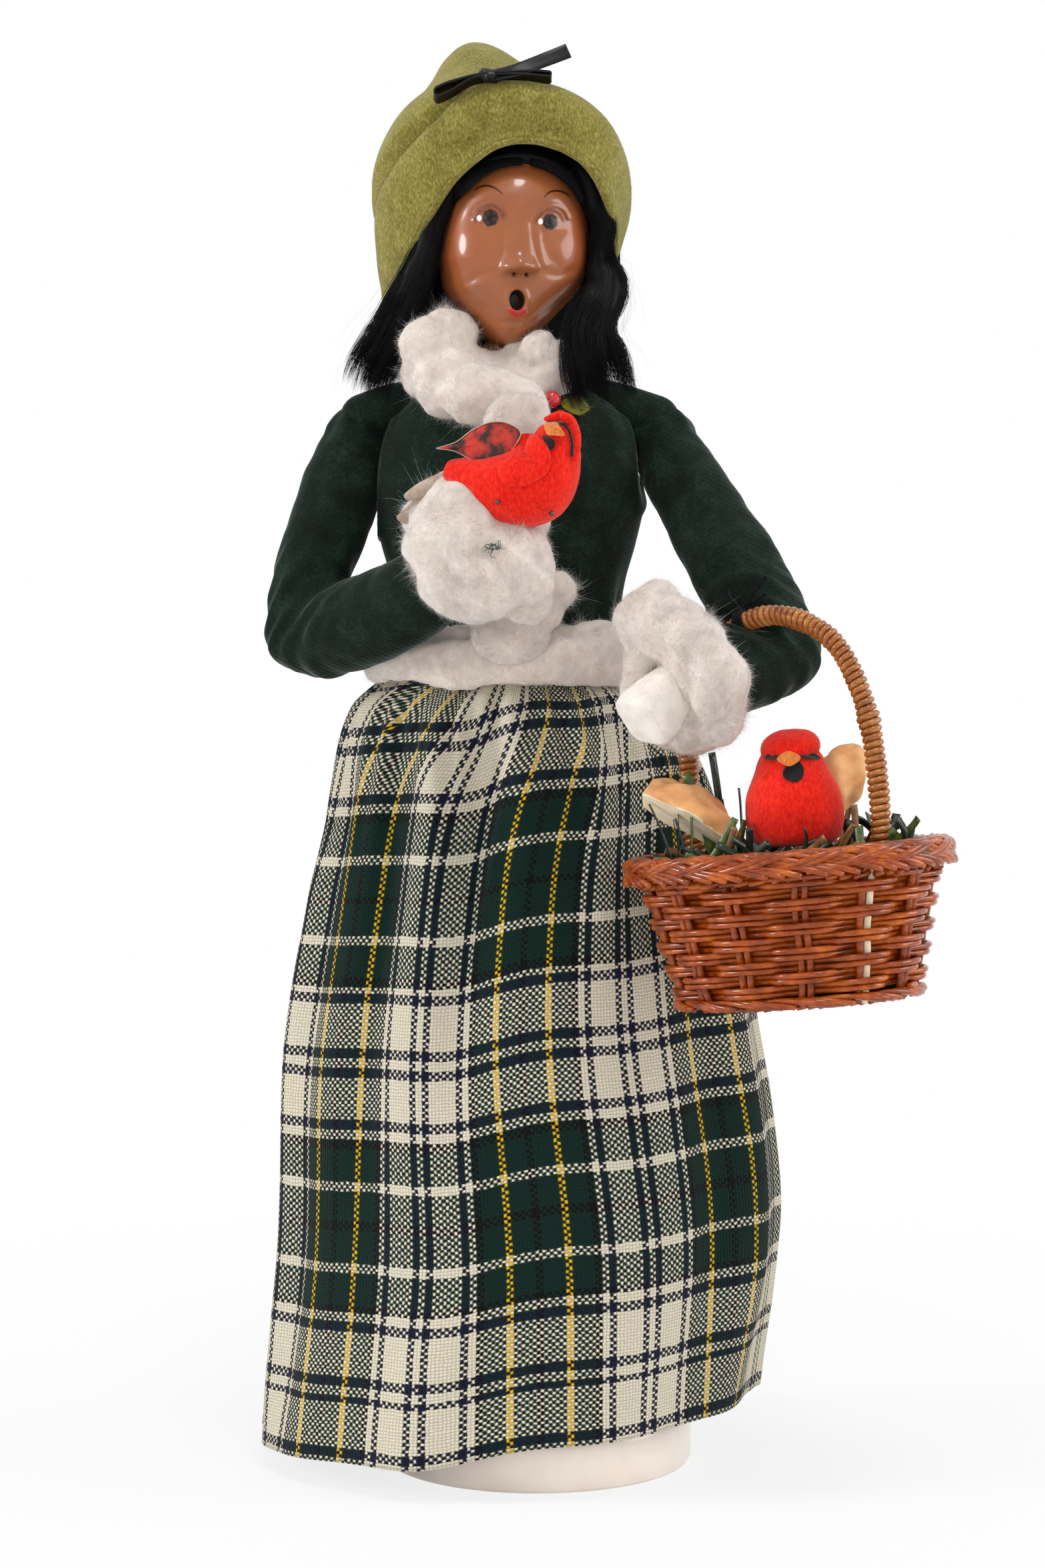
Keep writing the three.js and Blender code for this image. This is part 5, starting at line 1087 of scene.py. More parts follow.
# Places on the drawing of the face.
LIDS = [[(398, 532), (418, 492), (455, 466), (495, 458), (530, 475), (553, 512)],
        [(742, 535), (765, 500), (800, 480), (838, 480), (870, 503), (885, 535)]]
BROWS = [[(402, 376), (430, 358), (468, 353), (510, 366), (548, 396)],
         [(774, 412), (800, 388), (838, 380), (878, 388), (910, 410)]]
IRIS = [((484, 524), 44), ((808, 546), 42)]  # middle and radius
# Places of the painted highlight on each eye.
EYE_HIGHLIGHTS = [(425, 525), (756, 544)]
NOSE_LINE = [(632, 500), (633, 600), (638, 720), (640, 780)]
NOSTRILS, NOSTRIL_SHADE = [(612, 826), (678, 828)], [(612, 825), (678, 828)]
MOUTH, MOUTH_HALF, LIP_MIDDLE = (627, 966), (41, 55), 618
# Swellings of the clay: height, place and half size. The nose is its tip and its wings; the others are the brows,
# the cheeks, the forehead, round the mouth, the chin and the dent above it.
NOSE = [(1.4, (640, 772), (58, 44)), (0.7, (572, 790), (32, 32)), (0.7, (710, 792), (32, 32))]
SWELLINGS = [(0.5, (480, 400), (110, 40)), (0.5, (820, 420), (100, 40)), (0.8, (320, 730), (120, 150)),
             (0.8, (930, 700), (110, 150)), (0.4, (655, 330), (150, 90)), (0.9, (627, 985), (130, 120)),
             (1.0, (618, 1142), (100, 62)), (-0.35, (620, 1085), (80, 18))]
# Modelled strokes: line, half width and height.
STROKES = [([(708, 560), (714, 640), (738, 770)], 16, -0.22), ([(742, 590), (752, 690), (775, 780)], 18, 0.18),
           ([(770, 640), (800, 720), (860, 790)], 26, -0.16), ([(320, 892), (420, 838), (520, 806)], 24, -0.26),
           ([(760, 806), (850, 830), (940, 800)], 26, -0.26), ([(556, 600), (552, 700), (534, 775)], 16, -0.16)]
# Washes of colour: a redder blush on the cheeks, then painted shade under the brows, beside the mouth and under the
# nose; colour, then strength, place and half size of each patch.
BLUSH_AND_SHADE_WASHES = [("9a4a22", [(0.55, (300, 700), (130, 170)), (0.5, (950, 700), (120, 170))]),
          ("77432a", [(0.4, (480, 440), (120, 60)), (0.4, (820, 450), (110, 60))]),
          ("80492e", [(0.45, (430, 950), (110, 90)), (0.4, (790, 950), (110, 90))]),
          ("5e3820", [(0.55, (645, 838), (85, 16))])]
SKIN = "985730"


def swell(rows):
    """The sum of spots on the drawing of the face, each with its height, place and half size."""
    return sum(height * spot(at, half) for height, at, half in rows)


bridge, share = near(NOSE_LINE)
push = (0.3 + 1.5 * share**1.4) * np.exp(-(bridge / (58 + 30 * share)) ** 2) * smooth(842, 792, Y)
push += swell(NOSE) * smooth(844, 808, Y) + swell([(-0.9, at, (15, 9)) for at in NOSTRILS]) + swell(SWELLINGS)
for (middle, size), lid in zip(IRIS, LIDS):
    push -= 1.15 * spot((middle[0], middle[1] + 8), (104, 66))
    push += 0.95 * spot(middle, (60, 46))
    d, _ = near(lid)
    push += 0.2 * bell(d, 0, 13) - 0.12 * bell(d, 24, 12) * smooth(middle[1], middle[1] - 30, Y)
for stroke, width, depth in STROKES:
    push += depth * bell(near(stroke)[0], 0, width)
mouth = np.hypot((X - MOUTH[0]) / MOUTH_HALF[0], (Y - MOUTH[1]) / MOUTH_HALF[1])
push += 0.28 * bell(mouth, 1.35, 0.3) - 5.5 * smooth(1.05, 0.7, mouth)
lip = (smooth(1.85, 1.5, mouth) * smooth(0.95, 1.05, mouth) * smooth(1000, 1022, Y)
       * smooth(70, 52, abs(X - LIP_MIDDLE)))
push += 0.4 * lip
local[..., 1] -= push * ahead
local[..., 0] += push * ahead * 0.25 * local[..., 0] / 17
skin = to_world(local)

colours = np.empty(skin.shape)
colours[:] = tone(SKIN)[:3]


def tint(mask, colour):
    """Paints the front of the face."""
    colours[:] = colours + (np.array(tone(colour)[:3]) - colours) * np.clip(mask * ahead, 0, 1)[..., None]


# Blush on the cheeks, and painted shade under the brows, beside the mouth and under the nose.
for colour, patches in BLUSH_AND_SHADE_WASHES:
    tint(swell(patches), colour)
for (middle, size), lid in zip(IRIS, LIDS):
    d, _ = near(lid)
    tint(0.95 * bell(d, 0, 11) * (0.75 + 0.25 * noise(skin, 1.7, 5)), "5a2210")
    tint(0.5 * bell(d, 14, 12) * (Y > middle[1] - 70), "7c3a1e")
    d = np.hypot(X - middle[0], (Y - middle[1]) * 0.94)
    ragged = d + 5 * noise(skin, 3.1, 9)
    tint(0.96 * smooth(size + 4, size - 6, ragged), "0d0b0b")
    # Grey flecks in the iris are painted glints of its gloss.
    glint_fleck = smooth(0.12, 0.42, noise(skin, 2.4, 6)) * smooth(size, size - 8, d) * smooth(8, 20, d)
    tint(0.45 * glint_fleck, "4a4845")
    tint(smooth(16, 8, d), "08080a")
    tint(0.5 * bell(d, size + 12, 7) * (Y > middle[1]) * smooth(0.1, 0.5, noise(skin, 2.0, 12)), "5a2a16")
# Painted highlight: a white dot on each eye.
for at in EYE_HIGHLIGHTS:
    tint(1.2 * smooth(17, 9, np.hypot((X - at[0]) * 1.12, (Y - at[1]) * 0.9)), "ffffff")
for stroke in BROWS:
    d, share = near(stroke)
    tint(1.1 * smooth(2.2, -2.2, d - (2.6 + 2.6 * np.sin(math.pi * np.clip(share, 0.08, 0.96)))), "2a1710")
# Painted shade: near-black spots in the nostril dents.
tint(sum(smooth(9, 4, np.hypot((X - x) * 0.62, Y - y)) for x, y in NOSTRIL_SHADE), "120a07")
# Painted shade: the mouth's hole is painted dark, a little lighter in its middle.
tint(smooth(1.04, 0.92, mouth), "2c251e")
tint(smooth(0.95, 0.5, mouth) * 0.5, "40382e")
tint(lip, "b3271d")
head_soup = lofted(skin)
NECK_RADIUS, NECK_ENDS, NECK_ROWS, NECK_SIDES = 6.4, (249.9, 275), 30, 40
neck = np.stack([np.cos(circle(NECK_SIDES)) * NECK_RADIUS, np.sin(circle(NECK_SIDES)) * NECK_RADIUS,
                 np.zeros(NECK_SIDES)], 1)
head_soup.add(*closed_loft([neck + SHIFT + [0, 0, z] for z in np.linspace(*NECK_ENDS, NECK_ROWS)]))
plain = head_soup.count - colours[..., 0].size
paint = np.vstack([colours.reshape(-1, 3), np.tile(tone(SKIN)[:3], (plain, 1))])
piece("clay_head", head_soup, CLAY, "head", ["head"], paint=paint)


# ---- hair
def hair_cap():
    """A dark cap under the strands, tucked into the head inside the face's opening."""
    turn, z = np.meshgrid(circle(150), np.linspace(-21.5, 23.2, 110))
    half = row_at(HEAD_ROWS, np.maximum(z, -11))
    deep = np.where(np.sin(turn) < 0, half[..., 1], half[..., 2])
    x, y = half[..., 0] * np.cos(turn), deep * np.sin(turn)
    inside = np.hypot(x / (18.0 + 3.0 * smooth(10, 2, z)), (z + 2) / 20.4)
    front = smooth(4, -2, y)
    grow = 2.2 + front * (3.8 * smooth(0.94, 1.03, inside) - 4.2)
    low = smooth(-9, -14, z) * smooth(2, -4, y)
    x, y = (half[..., 0] + grow) * np.cos(turn), (deep + grow) * np.sin(turn)
    y = y * (1 - low) + low * np.maximum(y, -3.0)
    return closed_loft(to_world(np.stack([x, y, z * (1 + np.maximum(grow, 0) / 24)], -1)))


def hairline_strands(side, count):
    """Strands combed from the parting along the edge of the face and down."""
    out = 6.5 * RNG.random(count)[:, None]
    t = np.linspace(0, 1, 20)[None]
    start = 2 + 10 * RNG.random(count)[:, None]
    angle = np.radians(start + (122 - start + 10 * RNG.normal(size=(count, 1))) * t)
    wobble = 0.35 * np.sin(9 * t + 6 * RNG.random((count, 1)))
    x = (17.7 + out + wobble) * np.sin(angle)
    z = -2 + (20.1 + out * 0.75 + wobble) * np.cos(angle)
    half = row_at(HEAD_ROWS, np.clip(z, -11, 22.5))
    wide = half[..., 0] + 3.0
    y = -(half[..., 1] + 2.4) * np.sqrt(np.clip(1 - (x / wide) ** 2, 0, 1)) + 0.7 * np.maximum(0, x - wide)
    y += 0.9 * RNG.random((count, 1))
    behind = smooth(math.radians(48), math.radians(78), angle)
    x, y = x + 1.2 * behind, y + behind * (3.0 - y)
    return np.stack([side * x, y, z], -1)


# Middle line of each lock on the crop (x, y, depth), half width and half thickness, in millimetres; its waviness.
LOCKS = {
    "right": ([(560, 480, -7.5, 1.2, 1.0), (478, 590, -10, 2.0, 1.6), (418, 710, -10.5, 2.9, 2.2),
               (366, 860, -10, 3.2, 2.6), (316, 1000, -9.5, 4.2, 3.2), (264, 1120, -10, 5.0, 3.8),
               (204, 1260, -11, 6.6, 4.0), (150, 1385, -10.5, 7.0, 3.4), (126, 1460, -10, 6.6, 2.8)], 0.3),
    "left": ([(930, 470, -8, 1.2, 1.0), (1002, 600, -10, 1.9, 1.5), (1034, 700, -9.5, 2.2, 1.8),
              (1064, 770, -9.5, 3.0, 2.2), (1052, 870, -8, 3.0, 2.4), (1050, 940, -7.5, 3.3, 2.8),
              (1066, 1005, -9, 4.9, 3.2), (1056, 1065, -12, 5.9, 3.6), (1022, 1130, -15, 6.6, 4.0),
              (994, 1210, -18, 7.4, 4.0), (1006, 1290, -20, 8.6, 4.0), (1040, 1375, -20, 9.8, 3.6),
              (1066, 1450, -19.5, 9.8, 3.2), (1080, 1500, -19, 9, 2.6)], 0.7),
}
LOCK_STRANDS, LOCK_FLYING, LOCK_TUFTS, LOCK_ROWS, CORE_END = 2600, 110, 30, 60, 47
HAIR_RADIUS = {"edge": 0.085, "fall": 0.09, "lock": 0.08, "flying": 0.025}


def lock_parts(rows, curl, count, wild, tufts):
    """Strands of one lock that gather in tufts towards their ends, loose hairs, and its dark core."""
    rows = np.asarray(rows, float)
    line = spline(on_photo(rows[:, :3], HEAD_CROP), LOCK_ROWS)
    share = np.linspace(0, 1, LOCK_ROWS)
    wide, deep = (np.interp(share, np.linspace(0, 1, len(rows)), rows[:, k]) for k in (3, 4))
    _, side, rise = frames(line, (0, -1, 0))

    def run(a, b, phase, steps, end):
        """Lines along the lock, at shares a and b of its width and depth."""
        at = np.linspace(0, 1, steps) * end[:, None]
        middle, sideways, up = (np.stack([np.interp(at, share, v[:, k]) for k in range(3)], -1)
                                for v in (line, side, rise))
        width, depth = (np.interp(at, share, v)[..., None] for v in (wide, deep))
        wave = curl * np.sin(at * 21 + phase[:, None])[..., None] * smooth(0.1, 0.5, at)[..., None]
        return middle + (a[..., None] * width + wave) * sideways + (b[..., None] * depth + 0.5 * wave) * up

    angle, far = FULL * RNG.random(tufts), np.sqrt(RNG.random(tufts))
    ta, tb = far * np.cos(angle), far * np.sin(angle)
    tp, te = 2.5 * RNG.random(tufts), 0.88 + 0.12 * RNG.random(tufts)
    own = RNG.integers(0, tufts, count)
    angle, far = FULL * RNG.random(count), np.sqrt(RNG.random(count))
    pull = 0.35 + 0.5 * np.linspace(0, 1, 24)[None] ** 1.5
    a = (far * np.cos(angle))[:, None] * (1 - pull) + ta[own][:, None] * pull
    b = (far * np.sin(angle))[:, None] * (1 - pull) + tb[own][:, None] * pull
    paths = run(a, b, tp[own] + 0.25 * RNG.normal(size=count), 24, te[own] * (0.93 + 0.09 * RNG.random(count)))
    paths = paths + 0.3 * noise(paths, 0.28, 3)[..., None] * np.array([1, 0.6, 0.2])
    angle = FULL * RNG.random(wild)
    out = [np.repeat(1.03 * part(angle)[:, None], 18, 1) for part in (np.cos, np.sin)]
    fly = run(*out, 6 * RNG.random(wild), 18, 0.55 + 0.48 * RNG.random(wild))
    reach = np.linspace(0, 1, 18)[None, :, None] ** 2
    fly = fly + reach * (RNG.normal(size=(wild, 1, 3)) * [2.6, 1.4, 1.6]) \
        + reach * 0.9 * np.sin(np.linspace(0, 11, 18)[None, :, None] + 6 * RNG.random((wild, 1, 1)))
    turn = circle(28)
    core = line[:, None] + 0.82 * (wide[:, None, None] * np.cos(turn)[None, :, None] * side[:, None]
                                   + deep[:, None, None] * np.sin(turn)[None, :, None] * rise[:, None])
    core = core[:CORE_END]
    core = core + 0.5 * noise(core * [1, 1, 0.3], 0.5, 7)[..., None] * side[:CORE_END, None]
    narrow = smooth(34, CORE_END, np.arange(CORE_END))[:, None, None]
    core = core + (core.mean(axis=1, keepdims=True) - core) * narrow
    return paths, fly, core


hair = Soup().add(*hair_cap())
for side in (-1, 1):
    hair.add(*strands(to_world(hairline_strands(side, 1500)), HAIR_RADIUS["edge"]))
    # Hair that falls over the ear, behind the lock.
    t, count = np.linspace(0, 1, 18)[None], 1300
    out, deep = RNG.random((2, count, 1))
    fall = np.stack([side * (18.0 + 2.2 * out + 1.2 * np.sin(math.pi * t) + 1.5 * t), -7.5 + 15 * deep + 1.5 * t,
                     11 - 32 * t * (0.9 + 0.15 * RNG.random((count, 1)))], -1)
    fall = fall + 0.3 * noise(fall, 0.2, 15)[..., None] * np.array([1, 1, 0])
    hair.add(*strands(to_world(fall), HAIR_RADIUS["fall"]))
piece("hair_cap_strands", hair, HAIR, "head", ["hair_cap"])
for name, (rows, curl) in LOCKS.items():
    paths, fly, core = lock_parts(rows, curl, LOCK_STRANDS, LOCK_FLYING, LOCK_TUFTS)
    hair = lofted(core)
    hair.add(*strands(paths, HAIR_RADIUS["lock"])).add(*strands(fly, HAIR_RADIUS["flying"]))
    lock = piece(f"hair_{name}", hair, HAIR, None, [f"hair_lock_{name}"])
    # Its ends stay on the shoulder while the head turns.
    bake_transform(lock)


# ---- hat
CROWN_MIDDLE, CROWN_BEND, CROWN_PEAK = np.array([[-3.4, 4, 1.5], [-2.6, 11, 27], [-10, 12, 47.5]])
CROWN_HALF = (25.4, 28)
FELT_THICKNESS, BRIM_THICKNESS, BRIM_ARC, PUFF = 2.4, 2.2, math.radians(128), 3.7
# Upper edge of the brim: how far round from the front, and how far up the crown.
BRIM_TOP = np.array([[-1, 0.1], [-0.72, 0.13], [-0.56, 0.108], [-0.418, 0.119], [-0.304, 0.172], [-0.237, 0.26],
                     [-0.154, 0.377], [-0.08, 0.43], [0, 0.43], [0.14, 0.42], [0.4, 0.4], [0.7, 0.33], [1, 0.2]])
# Lower edge of the brim on the crop of the head: how far round, x, y, depth.
BRIM_FOOT = [[-1, 205, 1125, 3], [-0.85, 238, 1060, -2], [-0.7, 288, 930, -7.5], [-0.6, 330, 830, -10.5],
             [-0.48, 400, 690, -13], [-0.38, 470, 590, -14.5], [-0.28, 545, 520, -16], [-0.18, 620, 465, -17],
             [-0.08, 700, 440, -17.5], [0.06, 800, 440, -17.5], [0.2, 900, 470, -16.5], [0.32, 980, 520, -15],
             [0.44, 1040, 600, -13.5], [0.56, 1078, 690, -11.5], [0.7, 1100, 790, -8.5], [0.85, 1104, 880, -4.5],
             [1, 1088, 945, 0]]


def from_front(turn):
    return (turn + math.pi * 1.5) % FULL - math.pi


def crown_point(turn, rise, grow, puff=0.0):
    """A point of the crown in the head's frame, by its angle and its share of the way up to the peak."""
    turn, rise, grow = np.broadcast_arrays(np.asarray(turn, float), rise, grow)
    up = np.clip(rise, 0, 1)
    r = up[..., None]
    middle = (1 - r) ** 2 * CROWN_MIDDLE + 2 * r * (1 - r) * CROWN_BEND + r**2 * CROWN_PEAK
    middle = middle + np.minimum(rise, 0)[..., None] * 2 * (CROWN_BEND - CROWN_MIDDLE)
    shrink = np.sqrt(np.maximum(0, 1 - up**1.7)) * (1 - 0.22 * up * up)
    tilt = np.radians(50) * (1 - up)
    bulge = 2.2 * np.sin(math.pi * np.minimum(1, up * 1.5))
    foot = np.interp(from_front(turn), BRIM_TOP[:, 0] * BRIM_ARC, BRIM_TOP[:, 1])
    grow = grow + puff * smooth(0.3, -0.9, np.cos(turn)) * smooth(0.01, 0.13, rise - foot) * smooth(0.8, 0.42, rise)
    x = ((CROWN_HALF[0] + bulge) * shrink + grow) * np.cos(turn)
    slope = ((CROWN_HALF[1] + bulge) * shrink + grow) * np.sin(turn)
    return middle + np.stack([x, slope * np.cos(tilt), -slope * np.sin(tilt)], -1)


def fuzz(points, faces, count, length, radius=0.02):
    """Short nap that stands out of felt."""
    normals = normals_of(points, faces)
    at, n = scatter(points, normals, faces, count)
    lean = unit(n + 0.9 * RNG.normal(size=(count, 3)))
    t = np.linspace(0, 1, 4)[None, :, None]
    far = (length * (0.5 + RNG.random(count)))[:, None, None]
    return strands(at[:, None] - 0.1 * n[:, None] + far * (t * lean[:, None] + 0.5 * t**2
                   * RNG.normal(size=(count, 1, 3))), radius)


turn = circle(180)
skin_rise = np.concatenate([[0.999, 0.996, 0.99], np.linspace(0.98, 0, 70)])
edge = np.linspace(0, math.pi, 9)[1:-1]
around = from_front(turn) / BRIM_ARC
hide = 0.12 * smooth(-0.45, -0.15, around) * smooth(0.85, 0.5, around)  # its edge stays up behind the brim
levels = [(r, 0, PUFF) for r in skin_rise]
levels += [(-0.02 * np.sin(a), -FELT_THICKNESS * (1 - np.cos(a)) / 2, 0.0) for a in edge]
levels += [(r, -FELT_THICKNESS, 0.0) for r in np.linspace(0, 0.9, 30)]
crown = np.array([crown_point(turn, r + (1 - r) * hide, grow, puff) for r, grow, puff in levels])
lead = unit(crown - crown.mean(axis=1, keepdims=True))
outside = slice(0, len(skin_rise))
crown[outside] += lead[outside] * (0.5 * layers(crown[outside], 0.07, 2, 31))[..., None]
points, faces = closed_loft(to_world(crown))
hat = Soup().add(points, faces).add(*fuzz(points, faces, 6000, 0.42))
piece("felt_crown", hat, FELT, "head", ["hat_crown"])

swing, part = np.meshgrid(np.linspace(-1, 1, 170), np.linspace(0, 1, 26), indexing="ij")
turn = -math.pi / 2 + swing * BRIM_ARC
stand = 1.35 + 2.0 * smooth(-0.35, 0.15, swing)
foot = np.array(BRIM_FOOT)
low = to_head(on_photo(foot[:, 1:], HEAD_CROP))
low = np.stack([np.interp(swing, foot[:, 0], low[:, k]) for k in range(3)], -1)
for _ in range(12):
    low[1:-1] = (low[:-2] + 2 * low[1:-1] + low[2:]) / 4
top = np.interp(swing, BRIM_TOP[:, 0], BRIM_TOP[:, 1])
brim = crown_point(turn, -0.04 + (top + 0.04) * part, stand)
brim += ((1 - part) ** 1.6)[..., None] * (low - crown_point(turn, -0.04, stand))
out = unit(np.cross(np.gradient(brim, axis=0), np.gradient(brim, axis=1)))
out *= np.sign((out * (brim - [-2, 8, 8])).sum(-1).mean())
brim += out * (0.9 * np.sin(math.pi * part) + 0.3 * layers(brim, 0.09, 2, 41))[..., None]
on = unit(np.gradient(brim, axis=1))
arc = np.linspace(-math.pi / 2, math.pi / 2, 10)[None, :, None]
top_edge, foot_edge = (brim[:, at, None] + BRIM_THICKNESS / 2 * (
    np.cos(arc) * way * on[:, at, None] - way * np.sin(arc) * out[:, at, None]) for at, way in ((-1, 1), (0, -1)))
brim = np.concatenate([brim + out * BRIM_THICKNESS / 2, top_edge[:, ::-1], (brim - out * BRIM_THICKNESS / 2)[:, ::-1],
                       foot_edge[:, ::-1]], axis=1)
points, faces = closed_loft(to_world(brim))
hat = Soup().add(points, faces).add(*fuzz(points, faces, 9000, 0.45))
piece("felt_brim", hat, FELT, "head", ["hat_brim"])


# ---- bow
BOW_AT = to_head(on_photo([(612, 192)], HEAD_CROP, -19.5)[0])
RIBBON_WIDE, RIBBON_THICK = 3.6, 0.4


def strip(path, width, thick, up):
    """A ribbon along a path, with a rounded edge; up is the way its face looks."""
    _, side, rise = frames(path, up)
    edge = np.array([[-0.5, -0.3], [-0.47, -0.5], [-0.2, -0.42], [0.2, -0.42], [0.47, -0.5], [0.5, -0.3],
                     [0.5, 0.3], [0.47, 0.5], [0.2, 0.42], [-0.2, 0.42], [-0.47, 0.5], [-0.5, 0.3]])
    return path[:, None] + edge[None, :, :1] * width * side[:, None] + edge[None, :, 1:] * thick * rise[:, None]


def ribbon_loop(points, gap):
    """A flattened loop along a line of the crop: out along its top, round its end and back along its foot."""
    line = spline(on_photo(points, HEAD_CROP), 30)
    ahead, side, rise = frames(line, (0, -1, 0))
    t = np.linspace(0, 1, 30)[:, None]
    open_up = gap / 2 * smooth(0.25, 0.85, t) + 0.22
    bend = np.linspace(0, math.pi, 12)[1:-1, None]
    top, foot = line - open_up * side, line + open_up * side
    tip = line[-1] + open_up[-1] * (np.sin(bend) * ahead[-1] - np.cos(bend) * side[-1])
    path = np.vstack([top, tip, foot[::-1]])
    lean = unit(np.array([0, -1, 0.42]))
    ahead = unit(np.gradient(path, axis=0))
    out = unit(np.cross(ahead, lean))
    edge = np.array([[-0.5, -0.5], [-0.25, -0.4], [0.25, -0.4], [0.5, -0.5],
                     [0.5, 0.5], [0.25, 0.4], [-0.25, 0.4], [-0.5, 0.5]])
    rings = path[:, None] + edge[None, :, :1] * RIBBON_WIDE * lean + edge[None, :, 1:] * RIBBON_THICK * out[:, None]
    return closed_loft(rings)


deep = to_world(BOW_AT)[1]
# Places on the crop of the head, with a depth from the knot's.
BOW_LOOPS = [("near", "right", [(606, 196, 0), (540, 210, -0.6), (470, 240, 0.4), (412, 266, 1.6)], 1.5),
             ("far", "left", [(620, 194, 0), (700, 192, -0.6), (780, 192, 0), (846, 198, 1.0)], 0.5)]
BOW_TAIL = [(612, 192, 0), (690, 178, -1.2), (770, 152, -0.6), (850, 122, 0), (922, 94, 1)]
for name, node, line, gap in BOW_LOOPS:
    loop = ribbon_loop([(x, y, deep + d) for x, y, d in line], gap)
    piece(f"bow_loop_{name}", Soup().add(*loop), SATIN, "head", [f"bow_loop_{node}"])
path = spline(on_photo([(x, y, deep + d) for x, y, d in BOW_TAIL], HEAD_CROP), 50)
ahead = unit(np.gradient(path, axis=0))
twist = np.radians(np.linspace(50, 82, 50))[:, None]
lay = unit(np.cross(ahead, [0, -1.0, 0]))
rings = strip(path, 3.4, RIBBON_THICK, np.cos(twist) * lay + np.sin(twist) * np.cross(lay, ahead) * -1)
piece("bow_end", lofted(rings), SATIN, "head", ["bow_tail"])
knot, lift = np.meshgrid(circle(40), np.linspace(0.12, math.pi - 0.12, 26))
radius = 1 + 0.09 * np.sin(5 * lift + 2 * np.sin(knot)) + 0.05 * np.sin(11 * lift)
KNOT_HALF = (2.6, 2.3, 1.7)
knot = np.stack([KNOT_HALF[0] * np.cos(lift), KNOT_HALF[1] * radius * np.sin(lift) * np.cos(knot),
                 KNOT_HALF[2] * radius * np.sin(lift) * np.sin(knot)], -1)
piece("bow_knot_tied", lofted(to_world(knot @ euler(10, 10, 0).T + BOW_AT)), SATIN, "head",
      ["bow_knot"])


# ---- thin plates and stuffed shapes
def closed_line(points, count):
    """A smooth closed outline through points."""
    p = np.asarray(points, float)
    ring = np.vstack([p[-2:], p, p[:2]])
    line = spline(ring, 0, even=False)
    return resample(line[48:48 + 24 * len(p) + 1], count + 1)[:-1]


def plate(outline, thick, dome, facing=(0, -1, 0)):
    """A thin flap cut to an outline, rounded at its edge and domed to one side."""
    facing = unit(np.asarray(facing, float))
    edge = closed_line(outline, 90)
    centre = edge.mean(0)
    shares = (0.05, 0.3, 0.55, 0.75, 0.9, 0.97, 1.0)
    sides = [(s, 1) for s in shares] + [(s, -1) for s in shares[::-1]]
    return closed_loft(np.array([
        centre + s * (edge - centre) + facing * (way * thick * (0.5 if s < 1 else 0.25) + dome * (1 - s * s))
        for s, way in sides]))


SETTLE_PX = 5  # how far off on the image a point of the skin still counts as behind


def settle(points, skin, planned, lift):
    """Points planned round the plane y = planned, moved along y onto the front of a skin as the camera sees it."""
    (across, down), (skin_across, skin_down) = on_image(points), on_image(skin)
    gap = np.hypot(across[:, None] - skin_across, down[:, None] - skin_down)
    front = np.where(gap < SETTLE_PX, skin[:, 1], np.inf).min(1)
    front = np.where(np.isfinite(front), front, skin[gap.argmin(1), 1])
    return points + np.array([0, 1, 0]) * (front - lift - planned)[:, None]


# ---- bird in the right hand
HAND_BIRD = np.array([-4.0, -50.8, 228.0])
# Middle line of its body, from tail to crown, and its radius.
BIRD_SPINE = np.array([[-16.2, 2, 4.0, 1.8], [-13, 1.6, 2.6, 4.2], [-7, 0.6, 0.2, 7.2], [-1, 0, -0.6, 8.9],
                       [4, 0, 0.2, 8.4], [7.0, -0.4, 4.6, 6.6], [7.6, -0.8, 9.6, 5.4], [7.8, -0.8, 13.2, 3.2]])
# Outlines on the crop of the bird, most with depths, and the plane that each was planned on.
RED_WING, RED_WING_Y = [(958, 300), (962, 262), (1000, 234), (1055, 238), (1098, 278), (1116, 338), (1098, 392),
                        (1050, 424), (990, 446), (932, 432), (906, 392), (916, 352), (946, 330)], -60.4
PRINTED_WING, PRINTED_WING_Y = [(664, 293), (742, 268), (800, 226), (870, 194), (940, 194), (996, 232), (970, 290),
                                (905, 368), (830, 356), (780, 326), (736, 304)], -53.5
TAIL = [([(712, 380), (640, 408), (580, 440), (538, 482), (560, 498), (640, 474), (712, 440)], -46.5),
        ([(700, 420), (620, 450), (555, 520), (510, 566), (540, 590), (640, 560), (700, 480)], -45.2)]
CREST = [(1098, 178, -55), (1140, 165, -55), (1186, 180, -53), (1210, 232, -52), (1214, 290, -52), (1204, 346, -53)]
CREST_LINE = [(1150, 190, -57), (1180, 214, -56.6), (1196, 262, -56), (1197, 326, -56)]
BEAK, BEAK_Y = [(1090, 196, -58.5), (1130, 176, -57.5), (1150, 206, -59.5), (1168, 242, -59.5), (1132, 244, -60),
                (1100, 238, -59.5)], -59
MASK, MASK_Y = [(1078, 238, -56.8), (1100, 248, -58), (1128, 262, -59), (1126, 294, -58.6), (1108, 300, -58.6),
                (1086, 268, -57.2)], -58
PINS, PIN_RADIUS = [(905, 505, -59), (1118, 550, -58.6)], 0.55

far = np.concatenate([[0], np.cumsum(np.linalg.norm(np.diff(BIRD_SPINE[:, :3], axis=0), axis=1))])
radius = np.interp(np.linspace(0, 1, 70), far / far[-1], BIRD_SPINE[:, 3])
body = Soup().add(*tube(spline(BIRD_SPINE[:, :3], 70) + HAND_BIRD, radius, 36))
felt, faces, normals = fuse(body, 0.55, 8)
felt = felt + normals * (0.1 * (noise(felt, 0.35, 51) + 0.5 * noise(felt, 0.8, 52)))[:, None]
bird = Soup().add(felt, faces).add(*fuzz(felt, faces, 1500, 0.45))
made = piece("hand_bird", bird, RED, "right_forearm", ["hand_bird_body"])


